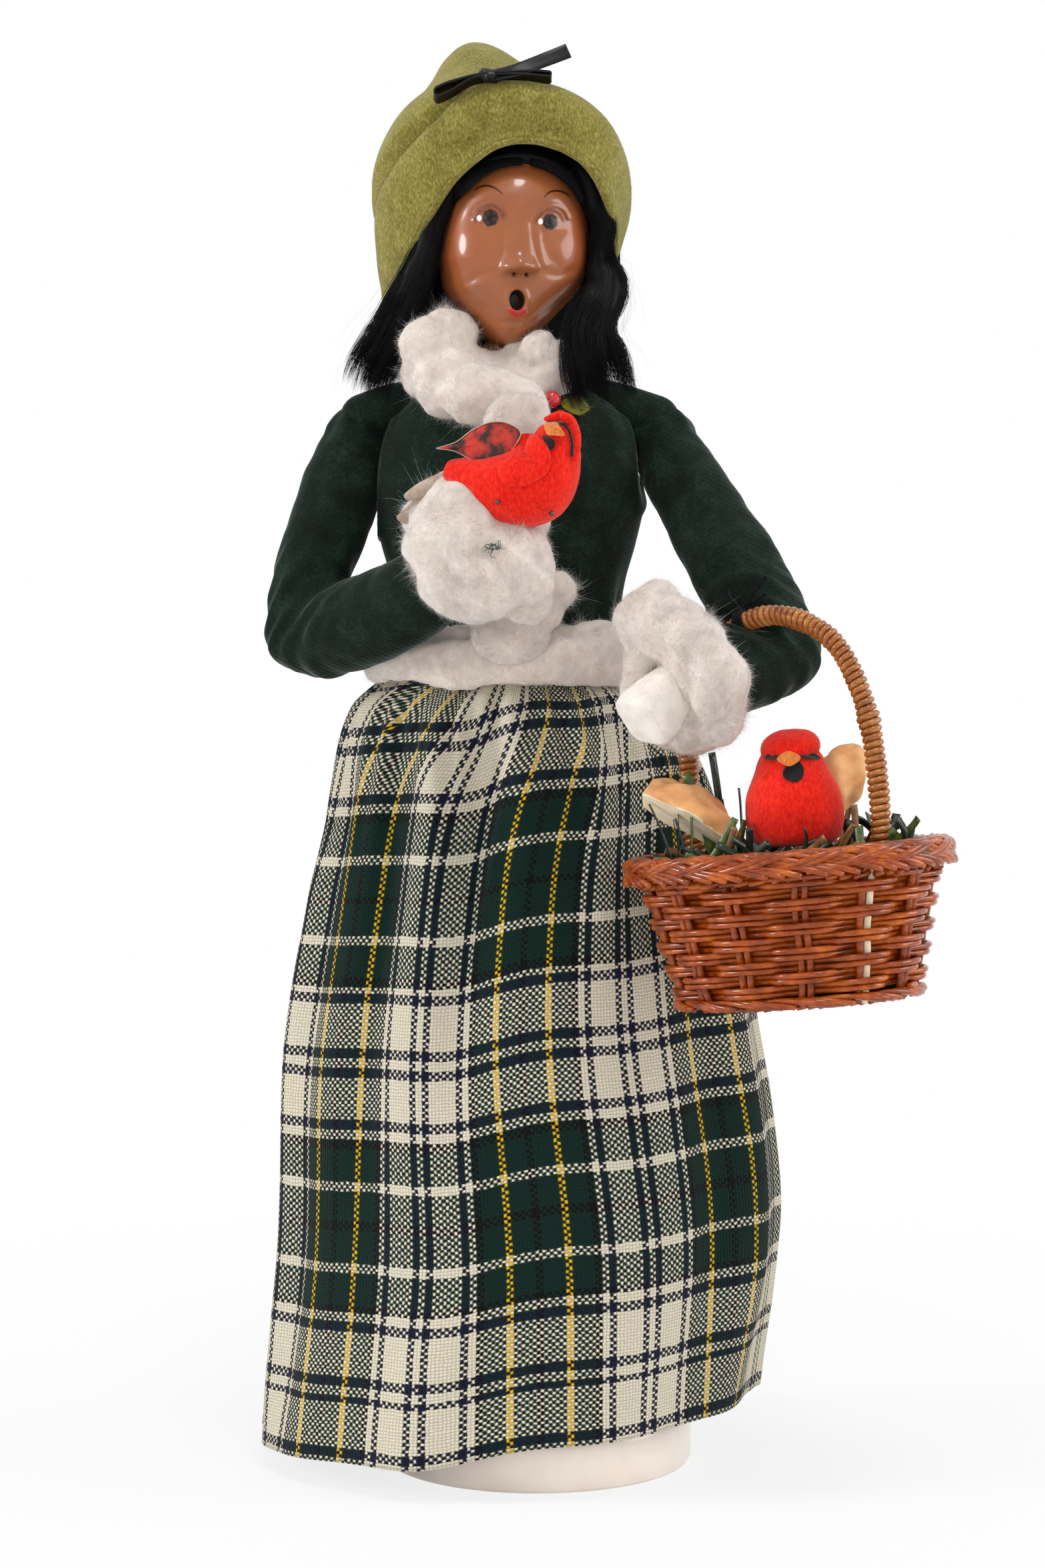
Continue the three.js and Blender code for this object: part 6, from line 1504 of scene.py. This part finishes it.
def flap(outline, planned, thick, dome, lift):
    """A felt flap laid on the bird's body."""
    points, faces = plate(on_photo(outline, BIRD_CROP, planned), thick, dome)
    return settle(points, felt, planned, lift), faces


def seam(line, count, lift):
    """A line of the crop laid on the bird's body."""
    path = spline(on_photo(line, BIRD_CROP), count)
    return settle(path, felt, path[:, 1], lift)


piece("hand_bird_wing", Soup().add(*flap(RED_WING, RED_WING_Y, 0.9, 0.5, 0.8)), RED, "right_forearm",
      ["hand_bird_wing_near"])
wing = on_photo(PRINTED_WING, BIRD_CROP, PRINTED_WING_Y)
wing[:, 1] += 3.0 * smooth(-6, -22, wing[:, 0])
rim = spline(np.vstack([wing, wing[:1]]) - [0, 0.35, 0], 90)
piece("hand_bird_wing_printed", Soup().add(*plate(wing, 0.45, 0.8)).add(*tube(rim, 0.13, 6), 1), [WING, KRAFT],
      "right_forearm", ["hand_bird_wing_far"])
tail = Soup()
for shape, depth in TAIL:
    tail.add(*plate(on_photo(shape, BIRD_CROP, depth), 0.45, 0.4))
piece("hand_bird_tail_feathers", tail, KRAFT, "right_forearm", ["hand_bird_tail"])
radii = 1.15 * np.sin(np.linspace(0.35, math.pi - 0.25, 50)) ** 0.5
crest = Soup().add(*tube(seam(CREST, 50, 0.2), radii, 16, flat=0.8))
crest.add(*tube(seam(CREST_LINE, 30, 0.25), 0.32, 8), 1)
piece("hand_bird_crest_fold", crest, [RED, BLACK_FELT], "right_forearm", ["hand_bird_crest"])
piece("hand_bird_beak_fold", Soup().add(*flap(BEAK, BEAK_Y, 0.8, 0.4, 0.5)), ORANGE, "right_forearm",
      ["hand_bird_beak"])
pins = Soup().add(*flap(MASK, MASK_Y, 0.6, 0.3, 0.15))
for at in PINS:
    pins.add(*ball(settle(on_photo([at], BIRD_CROP), felt, at[2], 0.1)[0], PIN_RADIUS, 12, 8), 1)
piece("hand_bird_mask", pins, [BLACK_FELT, PIN], "right_forearm")


# ---- basket
BASKET_TURN = turn_matrix("Z", -39) @ turn_matrix("Y", -6)
BASKET_HEIGHT, HANDLE_RISE, STAKES = 31.0, 85.5, 13
FOOT_HALF, FLARE = (26, 22), (7.4, 6.6)  # half sizes at the foot, and how much they grow up to the rim
HANDLE_SIDE = [[23.4, 0, 19], [25.2, 0, 46.93], [22.878, 0, 66.215], [15.252, 0, 79.715]]
HANDLE = spline([[-x, y, z] for x, y, z in HANDLE_SIDE] + [[0, 0, HANDLE_RISE]] + HANDLE_SIDE[::-1], 1400)
HANG_ACROSS = -6.5
upper = HANDLE[HANDLE[:, 2] > HANDLE_RISE / 2]
HANG = upper[np.argmin(np.abs(upper[:, 0] - HANG_ACROSS))]
HANG_AT = np.array([45.58, -46.14, 197.935])
BASKET_AT = HANG_AT - BASKET_TURN @ HANG


def in_basket(local):
    return np.asarray(local, float) @ BASKET_TURN.T + BASKET_AT


def from_basket(world):
    return (world - BASKET_AT) @ BASKET_TURN


def wall(turn, z, out):
    """A point of the basket's wall, which leans outwards from its foot to its rim."""
    turn, z, out = np.broadcast_arrays(np.asarray(turn, float), z, out)
    share = z / BASKET_HEIGHT
    return np.stack([(FOOT_HALF[0] + FLARE[0] * share + out) * np.cos(turn),
                     (FOOT_HALF[1] + FLARE[1] * share + out) * np.sin(turn), z], -1)


def beside(turn, angle, radius):
    """A step from the wall, by its angle up from straight out and its length."""
    out = radius * np.cos(angle)
    return np.stack([out * np.cos(turn), out * np.sin(turn), radius * np.sin(angle)], -1)


def add_rod(soup, path, radius, sides=8, tag=0, seed=0):
    """One round rod with an uneven surface."""
    wobble = 1 + 0.07 * noise(path, 0.35, seed)
    soup.add(*tube(in_basket(path), radius * wobble, sides), tag)


def plait(strokes, pairs, spread, reach, steps, start=0.0):
    """For each rod of a border: its stroke, its place in the stroke, shares along it and angles round the basket."""
    t = np.linspace(0, 1, steps)
    for k in range(strokes):
        for pair in pairs:
            yield k, pair, t, (k + start + spread * pair) / strokes * FULL + t * FULL * reach / strokes


ROD = {"stake": 0.82, "bottom": 0.85, "weaver": 0.69, "rim": 0.74, "inner_rim": 0.68, "foot": 0.66, "loose": 0.8}
# One stake takes the pale crumb material: a painted highlight on a glossy stake.
GLINT_STAKE = (12, 1)
BOTTOM_HALF, BOTTOM_TURNS, WEAVE_SWING = (25.4, 21.4), 15, STAKES / 2
stakes = Soup()
for k in range(STAKES):
    at = k / STAKES * FULL
    for pair in (-1, 1):
        z = np.linspace(0.8, 30.2, 24)
        lean = at + pair * 0.034 + 0.008 * np.sin(z * 0.3 + k)
        tag = int((k, pair) == GLINT_STAKE)
        add_rod(stakes, wall(lean, z, 0.1 * np.sin(z * 0.7 + k)), ROD["stake"], 8, tag, k)
turns, reach = np.linspace(0, FULL * BOTTOM_TURNS, 900), np.linspace(0.02, 1.0, 900)
bottom = np.stack([BOTTOM_HALF[0] * reach * np.cos(turns), BOTTOM_HALF[1] * reach * np.sin(turns),
                   1.4 + 0.35 * np.sin(turns * WEAVE_SWING)], 1)
add_rod(stakes, bottom, ROD["bottom"], 6)
piece("basket_stakes", stakes, [WICKER, CRUMB], "basket", ["basket_frame"])

weave = Soup()
WEAVE_TURNS, WEAVE_PITCH = 10, 2.6
for pair in (-1, 1):
    turn = np.linspace(0, FULL * WEAVE_TURNS, WEAVE_TURNS * 150)
    swing = np.tanh(1.7 * np.cos(WEAVE_SWING * turn)) * 1.75  # in front of one stake and behind the next
    uneven = noise(np.stack([turn * 2.1, turn * 0, turn * 0], 1), 1.0, 60 + pair)
    z = 2.6 + WEAVE_PITCH * turn / FULL + pair * 0.66 + 0.22 * uneven
    add_rod(weave, wall(turn + 0.01 * pair, z, swing + 0.12 * pair), ROD["weaver"], 8, 0, 3 + pair)
piece("basket_weave", weave, WICKER, "basket", ["basket_weaver"])

rim, RIM_STROKES, RIM_OUT, RIM_SIZE = Soup(), 18, 1.9, 2.4
for k, pair, t, turn in plait(RIM_STROKES, (-1, 0, 1), 0.28, 4.0, 44):
    uneven = noise(np.stack([t * 3, t * 0 + k, t * 0 + pair], 1), 1.0, 4)
    a = np.radians(250) - np.radians(290) * t + 0.1 * uneven
    r = RIM_SIZE + 0.75 * np.sin(math.pi * (4 * t + 0.25)) + 0.12 * pair
    add_rod(rim, wall(turn, BASKET_HEIGHT, RIM_OUT) + beside(turn, a, r), ROD["rim"], 7, 0, k)
for k, pair, t, turn in plait(RIM_STROKES, (-0.5, 0.5), 0.28, 3.2, 36, 0.5):
    a = np.radians(-30) + np.radians(200) * t
    r = RIM_SIZE - 0.7 * np.sin(math.pi * (3.2 * t + 0.1))
    add_rod(rim, wall(turn, BASKET_HEIGHT, RIM_OUT) + beside(turn, a, r), ROD["inner_rim"], 7, 0, k + 30)
rim.add(*tube(in_basket(wall(np.linspace(0, FULL, 200, endpoint=False), BASKET_HEIGHT, 1.4)), 1.3, 10, closed=True))
for k, pair, t, turn in plait(STAKES, (-1, 0, 1), 0.2, 2.6, 40):  # the border round the foot
    a = np.radians(210) - np.radians(230) * t
    r = 1.15 + 0.4 * np.sin(math.pi * (2.6 * t + 0.3))
    path = wall(turn, 1.6, 0.7) + beside(turn, a, r)
    path[:, 2] = np.maximum(path[:, 2], 0.55)
    add_rod(rim, path, ROD["foot"], 7, 0, k + 60)
stray, s = np.radians(58), np.linspace(0, 1, 14)  # a loose end below the rim
add_rod(rim, wall(stray + 0.03 * s, BASKET_HEIGHT - 1 - 6.5 * s, 2.0 + 1.5 * s), ROD["loose"])
piece("basket_border", rim, WICKER, "basket", ["basket_rim"])

piece("handle_rod", Soup().add(*tube(in_basket(HANDLE[::8]), 1.1, 12)), CANE, "basket", ["basket_handle"])
WRAP_FROM, WRAP_PITCH, WRAP_STEPS, WRAP_OUT, CANE_RADIUS = 33.4, 1.52, 2600, 1.62, 0.76
LOOSE_TURN = (0.79, 0.012)  # where a turn of the cane stands out
low = np.where(HANDLE[:, 2] > WRAP_FROM)[0]
path = resample(HANDLE[low[0]:low[-1] + 1], WRAP_STEPS)
across = np.array([0, 1.0, 0])
rising = np.cross(unit(np.gradient(path, axis=0)), across)
length = np.linalg.norm(np.diff(path, axis=0), axis=1).sum()
spin = np.linspace(0, FULL * length / WRAP_PITCH, WRAP_STEPS)
out = (WRAP_OUT + 0.14 * noise(np.stack([spin * 0.13, spin * 0, spin * 0], 1), 1.0, 9)
       + 0.45 * bell(np.linspace(0, 1, WRAP_STEPS), *LOOSE_TURN))
coil = path + out[:, None] * (np.cos(spin)[:, None] * across + np.sin(spin)[:, None] * rising)
piece("handle_cane", Soup().add(*tube(in_basket(coil), CANE_RADIUS, 7)), CANE, "basket", ["handle_wrap"])


# ---- what the basket holds
BED_TOP, FILL_GAP = 34.9, 3.6  # FILL_GAP is the room between the packing and the wall
turn = circle(90)
sides = wall(turn, np.append(np.linspace(2.8, 26, 14), 27.5)[:, None], -FILL_GAP)
share = np.array([1.0, 0.85, 0.65, 0.4, 0.15])[:, None, None]
top = wall(turn, 28.5, -3.8) * share
top[..., 2] = 30.5 + 2.6 * (1 - share[..., 0] * share[..., 0])
top[..., 2] += 0.9 * noise(top, 0.3, 70)
piece("basket_packing", lofted(in_basket(np.concatenate([sides, top]))), FILL, "basket",
      ["basket_filler"])

BIRD_SEAT = np.array([6.0, -4.5, BED_TOP])
SEAT_PROFILE = np.array([[0.0, 5.5], [0.5, 8.2], [2, 9.8], [5.5, 10.8], [9, 10.8], [13, 9.7], [16.5, 8.1],
                         [19.5, 6.8], [21.5, 5.2], [22.6, 2.5]])  # height and radius
BIRD_TALL, BIRD_LEAN, SEAM_AT = SEAT_PROFILE[-1, 0], (0.02, -0.03), math.radians(-20)
z = np.linspace(0, BIRD_TALL, 70)[:, None]
width = row_at(SEAT_PROFILE, z[:, 0])
body = np.stack([width * np.cos(turn) + BIRD_LEAN[0] * z, 0.96 * width * np.sin(turn) + BIRD_LEAN[1] * z,
                 np.broadcast_to(z, (70, 90))], -1)
seam_dent = 0.35 * bell(turn, SEAM_AT, 0.05)[None] * smooth(14, 4, z)
body = body + unit(body * [1, 1, 0]) * (0.16 * layers(body, 0.28, 3, 81) - seam_dent)[..., None]
points, faces = closed_loft(in_basket(body + BIRD_SEAT))
bird = Soup().add(points, faces).add(*fuzz(points, faces, 1500, 0.4))
made = piece("basket_bird", bird, RED, "basket", ["basket_bird_body"])
CAP_HALF, CAP_AT = (6.7, 6.3, 3.7), BIRD_SEAT + [1.0, -1.2, 21.4]
lift, turn = np.meshgrid(np.linspace(0.02, math.pi, 40), circle(60), indexing="ij")
dome = np.stack([CAP_HALF[0] * np.sin(lift) ** 0.8 * np.cos(turn), CAP_HALF[1] * np.sin(lift) ** 0.8 * np.sin(turn),
                 CAP_HALF[2] * np.cos(lift)], -1)
dome = dome + 0.15 * noise(dome, 0.5, 88)[..., None] * unit(dome)
points, faces = closed_loft(in_basket(dome @ euler(14, 4, 0).T + CAP_AT))
cap = Soup().add(points, faces).add(*fuzz(points, faces, 500, 0.4))
piece("basket_bird_cap", cap, RED, "basket", ["basket_bird_crest"])


# Outlines on the crop of the basket.
BIB = [(722, 690), (740, 660), (775, 645), (796, 672), (790, 706), (766, 720), (735, 712)]
EYE_DABS = [[(658, 636), (682, 616), (716, 604), (744, 610), (726, 632), (690, 642)],
            [(754, 606), (792, 608), (832, 620), (854, 636), (818, 642), (778, 632)]]
BASKET_BEAK, BEAK_FOLD = [(702, 640), (740, 612), (784, 634), (746, 664)], [0.3, -0.2, 0.2, -0.6]


def on_bird(points, proud):
    """Points of the crop, set on the round of the basket's bird."""
    found = []
    for point in points:
        for depth in np.append(np.linspace(-22, 0, 89), -7):  # the last one is for a point beside the bird
            at = on_photo([point], BASKET_CROP, in_basket(BIRD_SEAT)[1] + depth)[0]
            x, y, z = from_basket(at) - BIRD_SEAT
            if np.hypot(x - BIRD_LEAN[0] * z, y - BIRD_LEAN[1] * z) < row_at(
                    SEAT_PROFILE, np.clip(z, 0, BIRD_TALL))[0] + 0.1:
                break
        found.append(at)
    return np.array(found) + [0, -proud, 0]


bib = Soup().add(*plate(on_bird(BIB, 0.15), 0.5, 0.1))
for dab in EYE_DABS:
    bib.add(*plate(on_bird(dab, 0.35), 0.5, 0.15))
piece("basket_bird_mask", bib, BLACK_FELT, "basket")
beak = on_bird(BASKET_BEAK, 0.9)
beak[:, 1] += BEAK_FOLD
piece("basket_bird_beak_fold", Soup().add(*plate(beak, 0.9, 0.7)), ORANGE, "basket",
      ["basket_bird_beak"])

# A roll's radius along it, and the height of its flat back.
ROLL_ROWS = np.array([[-11.5, 3.8], [-8, 5.4], [-3.5, 6.5], [3, 6.0], [8, 4.0], [10.8, 1.6]])
ROLL_BACK, ROLL_PALE = 1.5, 1.1


def bread(scale, lie, at, seed):
    """A clay roll with a flat pale back; it swells to one end in twisted ridges."""
    x = np.linspace(ROLL_ROWS[0, 0], ROLL_ROWS[-1, 0], 60)[:, None]
    r, turn = row_at(ROLL_ROWS, x[:, 0]), circle(72)
    ridge = 1 + 0.11 * np.sin(4 * turn[None] + 0.55 * x) + 0.03 * np.sin(9 * turn[None] - 0.4 * x)
    rings = np.stack([np.broadcast_to(x, (60, 72)), r * ridge * np.cos(turn), r * ridge * np.sin(turn)], -1)
    rings[..., 1] = np.minimum(rings[..., 1], ROLL_BACK)
    rings = rings + 0.12 * noise(rings, 0.5, seed)[..., None] * [0, 1, 1]
    rings[..., 1] = np.minimum(rings[..., 1], ROLL_BACK)
    points, faces = closed_loft(in_basket(rings * scale @ lie.T + at))
    back = rings.reshape(-1, 3)[:, 1] > ROLL_PALE
    quads = faces[0]
    pale = back[quads].all(axis=1)
    return points, [quads[~pale], *faces[1:]], quads[pale]


LIE = unit(np.array([0.86, -0.27, -0.43]))  # the front roll from its fat end to its thin one
BACK = np.array([-0.5, -0.36, -0.78])  # the way its flat back looks
BACK = unit(BACK - LIE * (LIE @ BACK))
FRONT_LIE = BASKET_TURN.T @ np.stack([LIE, BACK, np.cross(LIE, BACK)], 1)
ROLLS = {"front": (1.0, FRONT_LIE, (-11.5, -18.5, BED_TOP + 7.6)),
         "back": (0.95, euler(10, -62, 45), (4.2, 14, BED_TOP + 12.5))}
for name, (scale, lie, at) in ROLLS.items():
    points, crust, crumb = bread(scale, lie, np.array(at), 90)
    loaf = Soup().add(points, crust)
    loaf.faces.append(crumb)
    loaf.tags.append(np.ones(len(crumb)))
    piece(f"bread_{name}", loaf, [CRUST, CRUMB], "basket", [f"bread_roll_{name}"])


BLADE_HALF = 0.09  # half the thickness of a strip


def blade(foot, tip, width, bend, twist):
    """A cut strip of stiff ribbon."""
    t = np.linspace(0, 1, 14)[:, None]
    path = foot + (tip - foot) * t + np.asarray(bend) * (t * (1 - t) * 4)
    ahead = unit(np.gradient(path, axis=0))
    across = unit(np.cross(ahead, [math.cos(twist), math.sin(twist), 0.2]))
    thin = np.cross(ahead, across)
    edge = np.array([[-0.5, -1], [0.5, -1], [0.5, 1], [-0.5, 1]])
    rings = path[:, None] + edge[None, :, :1] * width * across[:, None] + edge[None, :, 1:] * BLADE_HALF * thin[:, None]
    return closed_loft(rings)


# What the strips keep clear of: the bird, and the two rolls by their middles and half sizes.
BIRD_CLEAR = (12.5, 10)
ROLL_CLEAR = [((-11.5, -18.5, BED_TOP + 5), (11, 9, 9)), ((6, 14, BED_TOP + 8), (10, 8, 10))]
RIM_CLEAR, HANDLE_FOOT, HANDLE_CLEAR = (34, 29), 24.5, 4


def stands_clear(foot, tip):
    beside_bird = all(np.hypot(*(end[:2] - BIRD_SEAT[:2])) > gap for end, gap in zip((tip, foot), BIRD_CLEAR))
    inside = np.hypot(tip[0] / RIM_CLEAR[0], tip[1] / RIM_CLEAR[1]) < 1.0
    at_handle = abs(abs(tip[0]) - HANDLE_FOOT) < HANDLE_CLEAR and abs(tip[1]) < HANDLE_CLEAR
    off_rolls = all(np.linalg.norm((tip - np.array(at)) / half) > 1 for at, half in ROLL_CLEAR)
    return beside_bird and inside and not at_handle and off_rolls


grass = Soup()
for _ in range(170):
    angle, far = FULL * RNG.random(), math.sqrt(RNG.random())
    foot = wall(angle, 30.0, -5.0) * [far, far, 1] + [0, 0, 1.2 + 1.5 * (1 - far)]
    lean = unit(np.append(RNG.normal(size=2) * 0.9 + 0.5 * foot[:2] / 30, 0.75))
    tip = foot + lean * (6 + 7 * RNG.random())
    if stands_clear(foot, tip) or far < 0.9 and tip[2] < BED_TOP - 0.5:
        grass.add(*blade(in_basket(foot), in_basket(tip), 1.5 + 0.4 * RNG.random(), RNG.normal(size=3) * 0.8,
                         FULL * RNG.random()), int(RNG.choice(3, p=[0.55, 0.3, 0.15])))
# Strips that the photograph shows, on the crop of the basket: foot, tip, depth, width and material.
PHOTO_STRIPS = [
    ((522, 800), (478, 618), -52, 1.7, 0), ((490, 806), (388, 690), -60, 2.2, 1),
    ((362, 850), (357, 754), -80, 1.0, 1), ((402, 925), (407, 828), -80, 0.9, 1),
    ((345, 885), (262, 796), -80, 1.0, 0), ((364, 975), (345, 850), -80.5, 1.6, 0),
    ((392, 965), (352, 846), -80.8, 1.2, 0), ((470, 930), (560, 845), -72, 1.6, 1),
    ((515, 940), (556, 876), -72.5, 1.4, 2), ((560, 900), (590, 850), -66, 1.8, 1),
    ((520, 850), (505, 780), -58, 1.8, 0), ((580, 800), (572, 740), -52, 1.2, 0),
    ((920, 800), (960, 752), -40, 1.4, 2), ((925, 900), (962, 852), -42, 1.6, 1),
    ((1050, 930), (1114, 882), -44, 1.5, 0), ((960, 930), (935, 850), -44, 1.8, 0),
    ((440, 990), (420, 950), -80, 1.8, 0), ((1040, 880), (1064, 840), -40, 1.2, 0)]
BED_HALF, FARTHEST_BACK = (29.5, 24.5), -20
for foot, tip, depth, width, tag in PHOTO_STRIPS:
    # It stands on the bed: it goes back along the line of sight until its foot is inside the basket.
    ends = on_photo([foot, tip], BASKET_CROP, depth)
    while np.hypot(*(from_basket(ends[0])[:2] / BED_HALF)) > 1 and depth < FARTHEST_BACK:
        depth += 0.5
        ends = on_photo([foot, tip], BASKET_CROP, depth)
    sink = max(3, from_basket(ends[0])[2] - BED_TOP + 2)
    grass.add(*blade(ends[0] - [0, 0, sink], ends[1], width, (0.3, -0.4, 0.2), 1.5 + foot[0] * 0.013), tag)
piece("basket_grass", grass, [STRIP_DARK, STRIP_LIGHT, STRIP_BROWN], "basket", ["greenery"])


# ---- tie, holly and a loose thread
near_hang = int(np.argmin(np.linalg.norm(HANDLE - HANG, axis=1)))
ahead = unit(BASKET_TURN @ (HANDLE[near_hang + 5] - HANDLE[near_hang - 5]))
across = unit(np.cross(ahead, [0, 0, 1.0]))
rising = np.cross(across, ahead)
TIE_TURNS, TIE_OUT, TIE_RADIUS, TIE_END_RADIUS = 2.2, 2.75, 0.42, 0.36
turn = np.linspace(0, FULL * TIE_TURNS, 70)
loop = HANG_AT + TIE_OUT * (np.cos(turn)[:, None] * across + np.sin(turn)[:, None] * rising) \
    + ahead * (turn / FULL - 1.1)[:, None] * 0.9
tie = Soup().add(*tube(loop, TIE_RADIUS, 8))
top = HANG_AT + rising * 3.1
# Loose ends of the tie: steps along the handle and up.
TIE_ENDS = [((1, 0.4), (3, 1.5), (5.5, 3.0), (8, 4.6)), ((-0.5, 0.6), (-1.2, 2.2), (-3.0, 4.2), (-3.4, 6.2)),
            ((0.3, 0.2), (2.6, 0.6), (5.4, 0.2), (7.6, 0.9))]
tie.add(*ball(top, (1.2, 1.1, 0.9), 14, 9))
for ends in TIE_ENDS:
    path = spline([top] + [top + ahead * a + np.array([0, 0.25, 0.95]) * b for a, b in ends], 40)
    path = path + 0.18 * np.sin(np.linspace(0, 26, 40))[:, None] * across
    tie.add(*tube(path, TIE_END_RADIUS, 7))
piece("thread_tie", tie, THREAD, "left_forearm", ["handle_tie"])

HOLLY = np.array([3.5, -20.45, 247.9])
for name, at, size in (("upper", HOLLY, 1.9), ("lower", HOLLY + [1.6, 0.6, -4], 1.7)):
    lift, turn = np.meshgrid(np.linspace(0.03, math.pi - 0.03, 30), circle(40), indexing="ij")
    shape = np.stack([np.sin(lift) * np.cos(turn), np.sin(lift) * np.sin(turn), np.cos(lift)], -1)
    shape = shape * (size * (1 + 0.03 * noise(shape * 2.2, 1.0, 17) - 0.12 * bell(lift, 0, 0.25)))[..., None]
    piece(f"berry_{name}", lofted(shape @ euler(60, 20, 0).T + at), BERRY, "doll",
          [f"holly_berry_{name}"])
LEAF_EDGE = np.array([[0, 0, 0], [2.2, 1.6, 0.3], [4.6, 2.1, 0.6], [7, 1.4, 0.2], [9, 0, -0.3], [7, -1.4, 0.2],
                      [4.6, -2.1, 0.6], [2.2, -1.6, 0.3]])
points, faces = plate(LEAF_EDGE @ euler(82, 40, 0).T + HOLLY + [1.8, 1.2, -1], 0.5, 0.3, (0.2, -1, 0.2))
leaf = Soup().add(points, faces).add(*fuzz(points, faces, 260, 1.6, 0.06))
piece("holly_leaf_moss", leaf, LEAF, "doll", ["holly_leaf"])

THREADS, TUFT = 11, on_photo([(890, 680)], BIRD_CROP, -60.7)[0]
t = np.linspace(0, 1, 10)[None, :, None]
lead = unit(RNG.normal(size=(THREADS, 1, 3)) * [1.0, 0.5, 0.6] + [0.2, -0.6, 0])
paths = TUFT + [0, 2.0, 0] + lead * t * (2.2 + 1.8 * RNG.random((THREADS, 1, 1))) \
    + 0.7 * np.sin(4 * t + 6 * RNG.random((THREADS, 1, 3)))
piece("cuff_threads", Soup().add(*strands(paths, 0.13, 5)), GREEN_THREAD, "right_forearm")
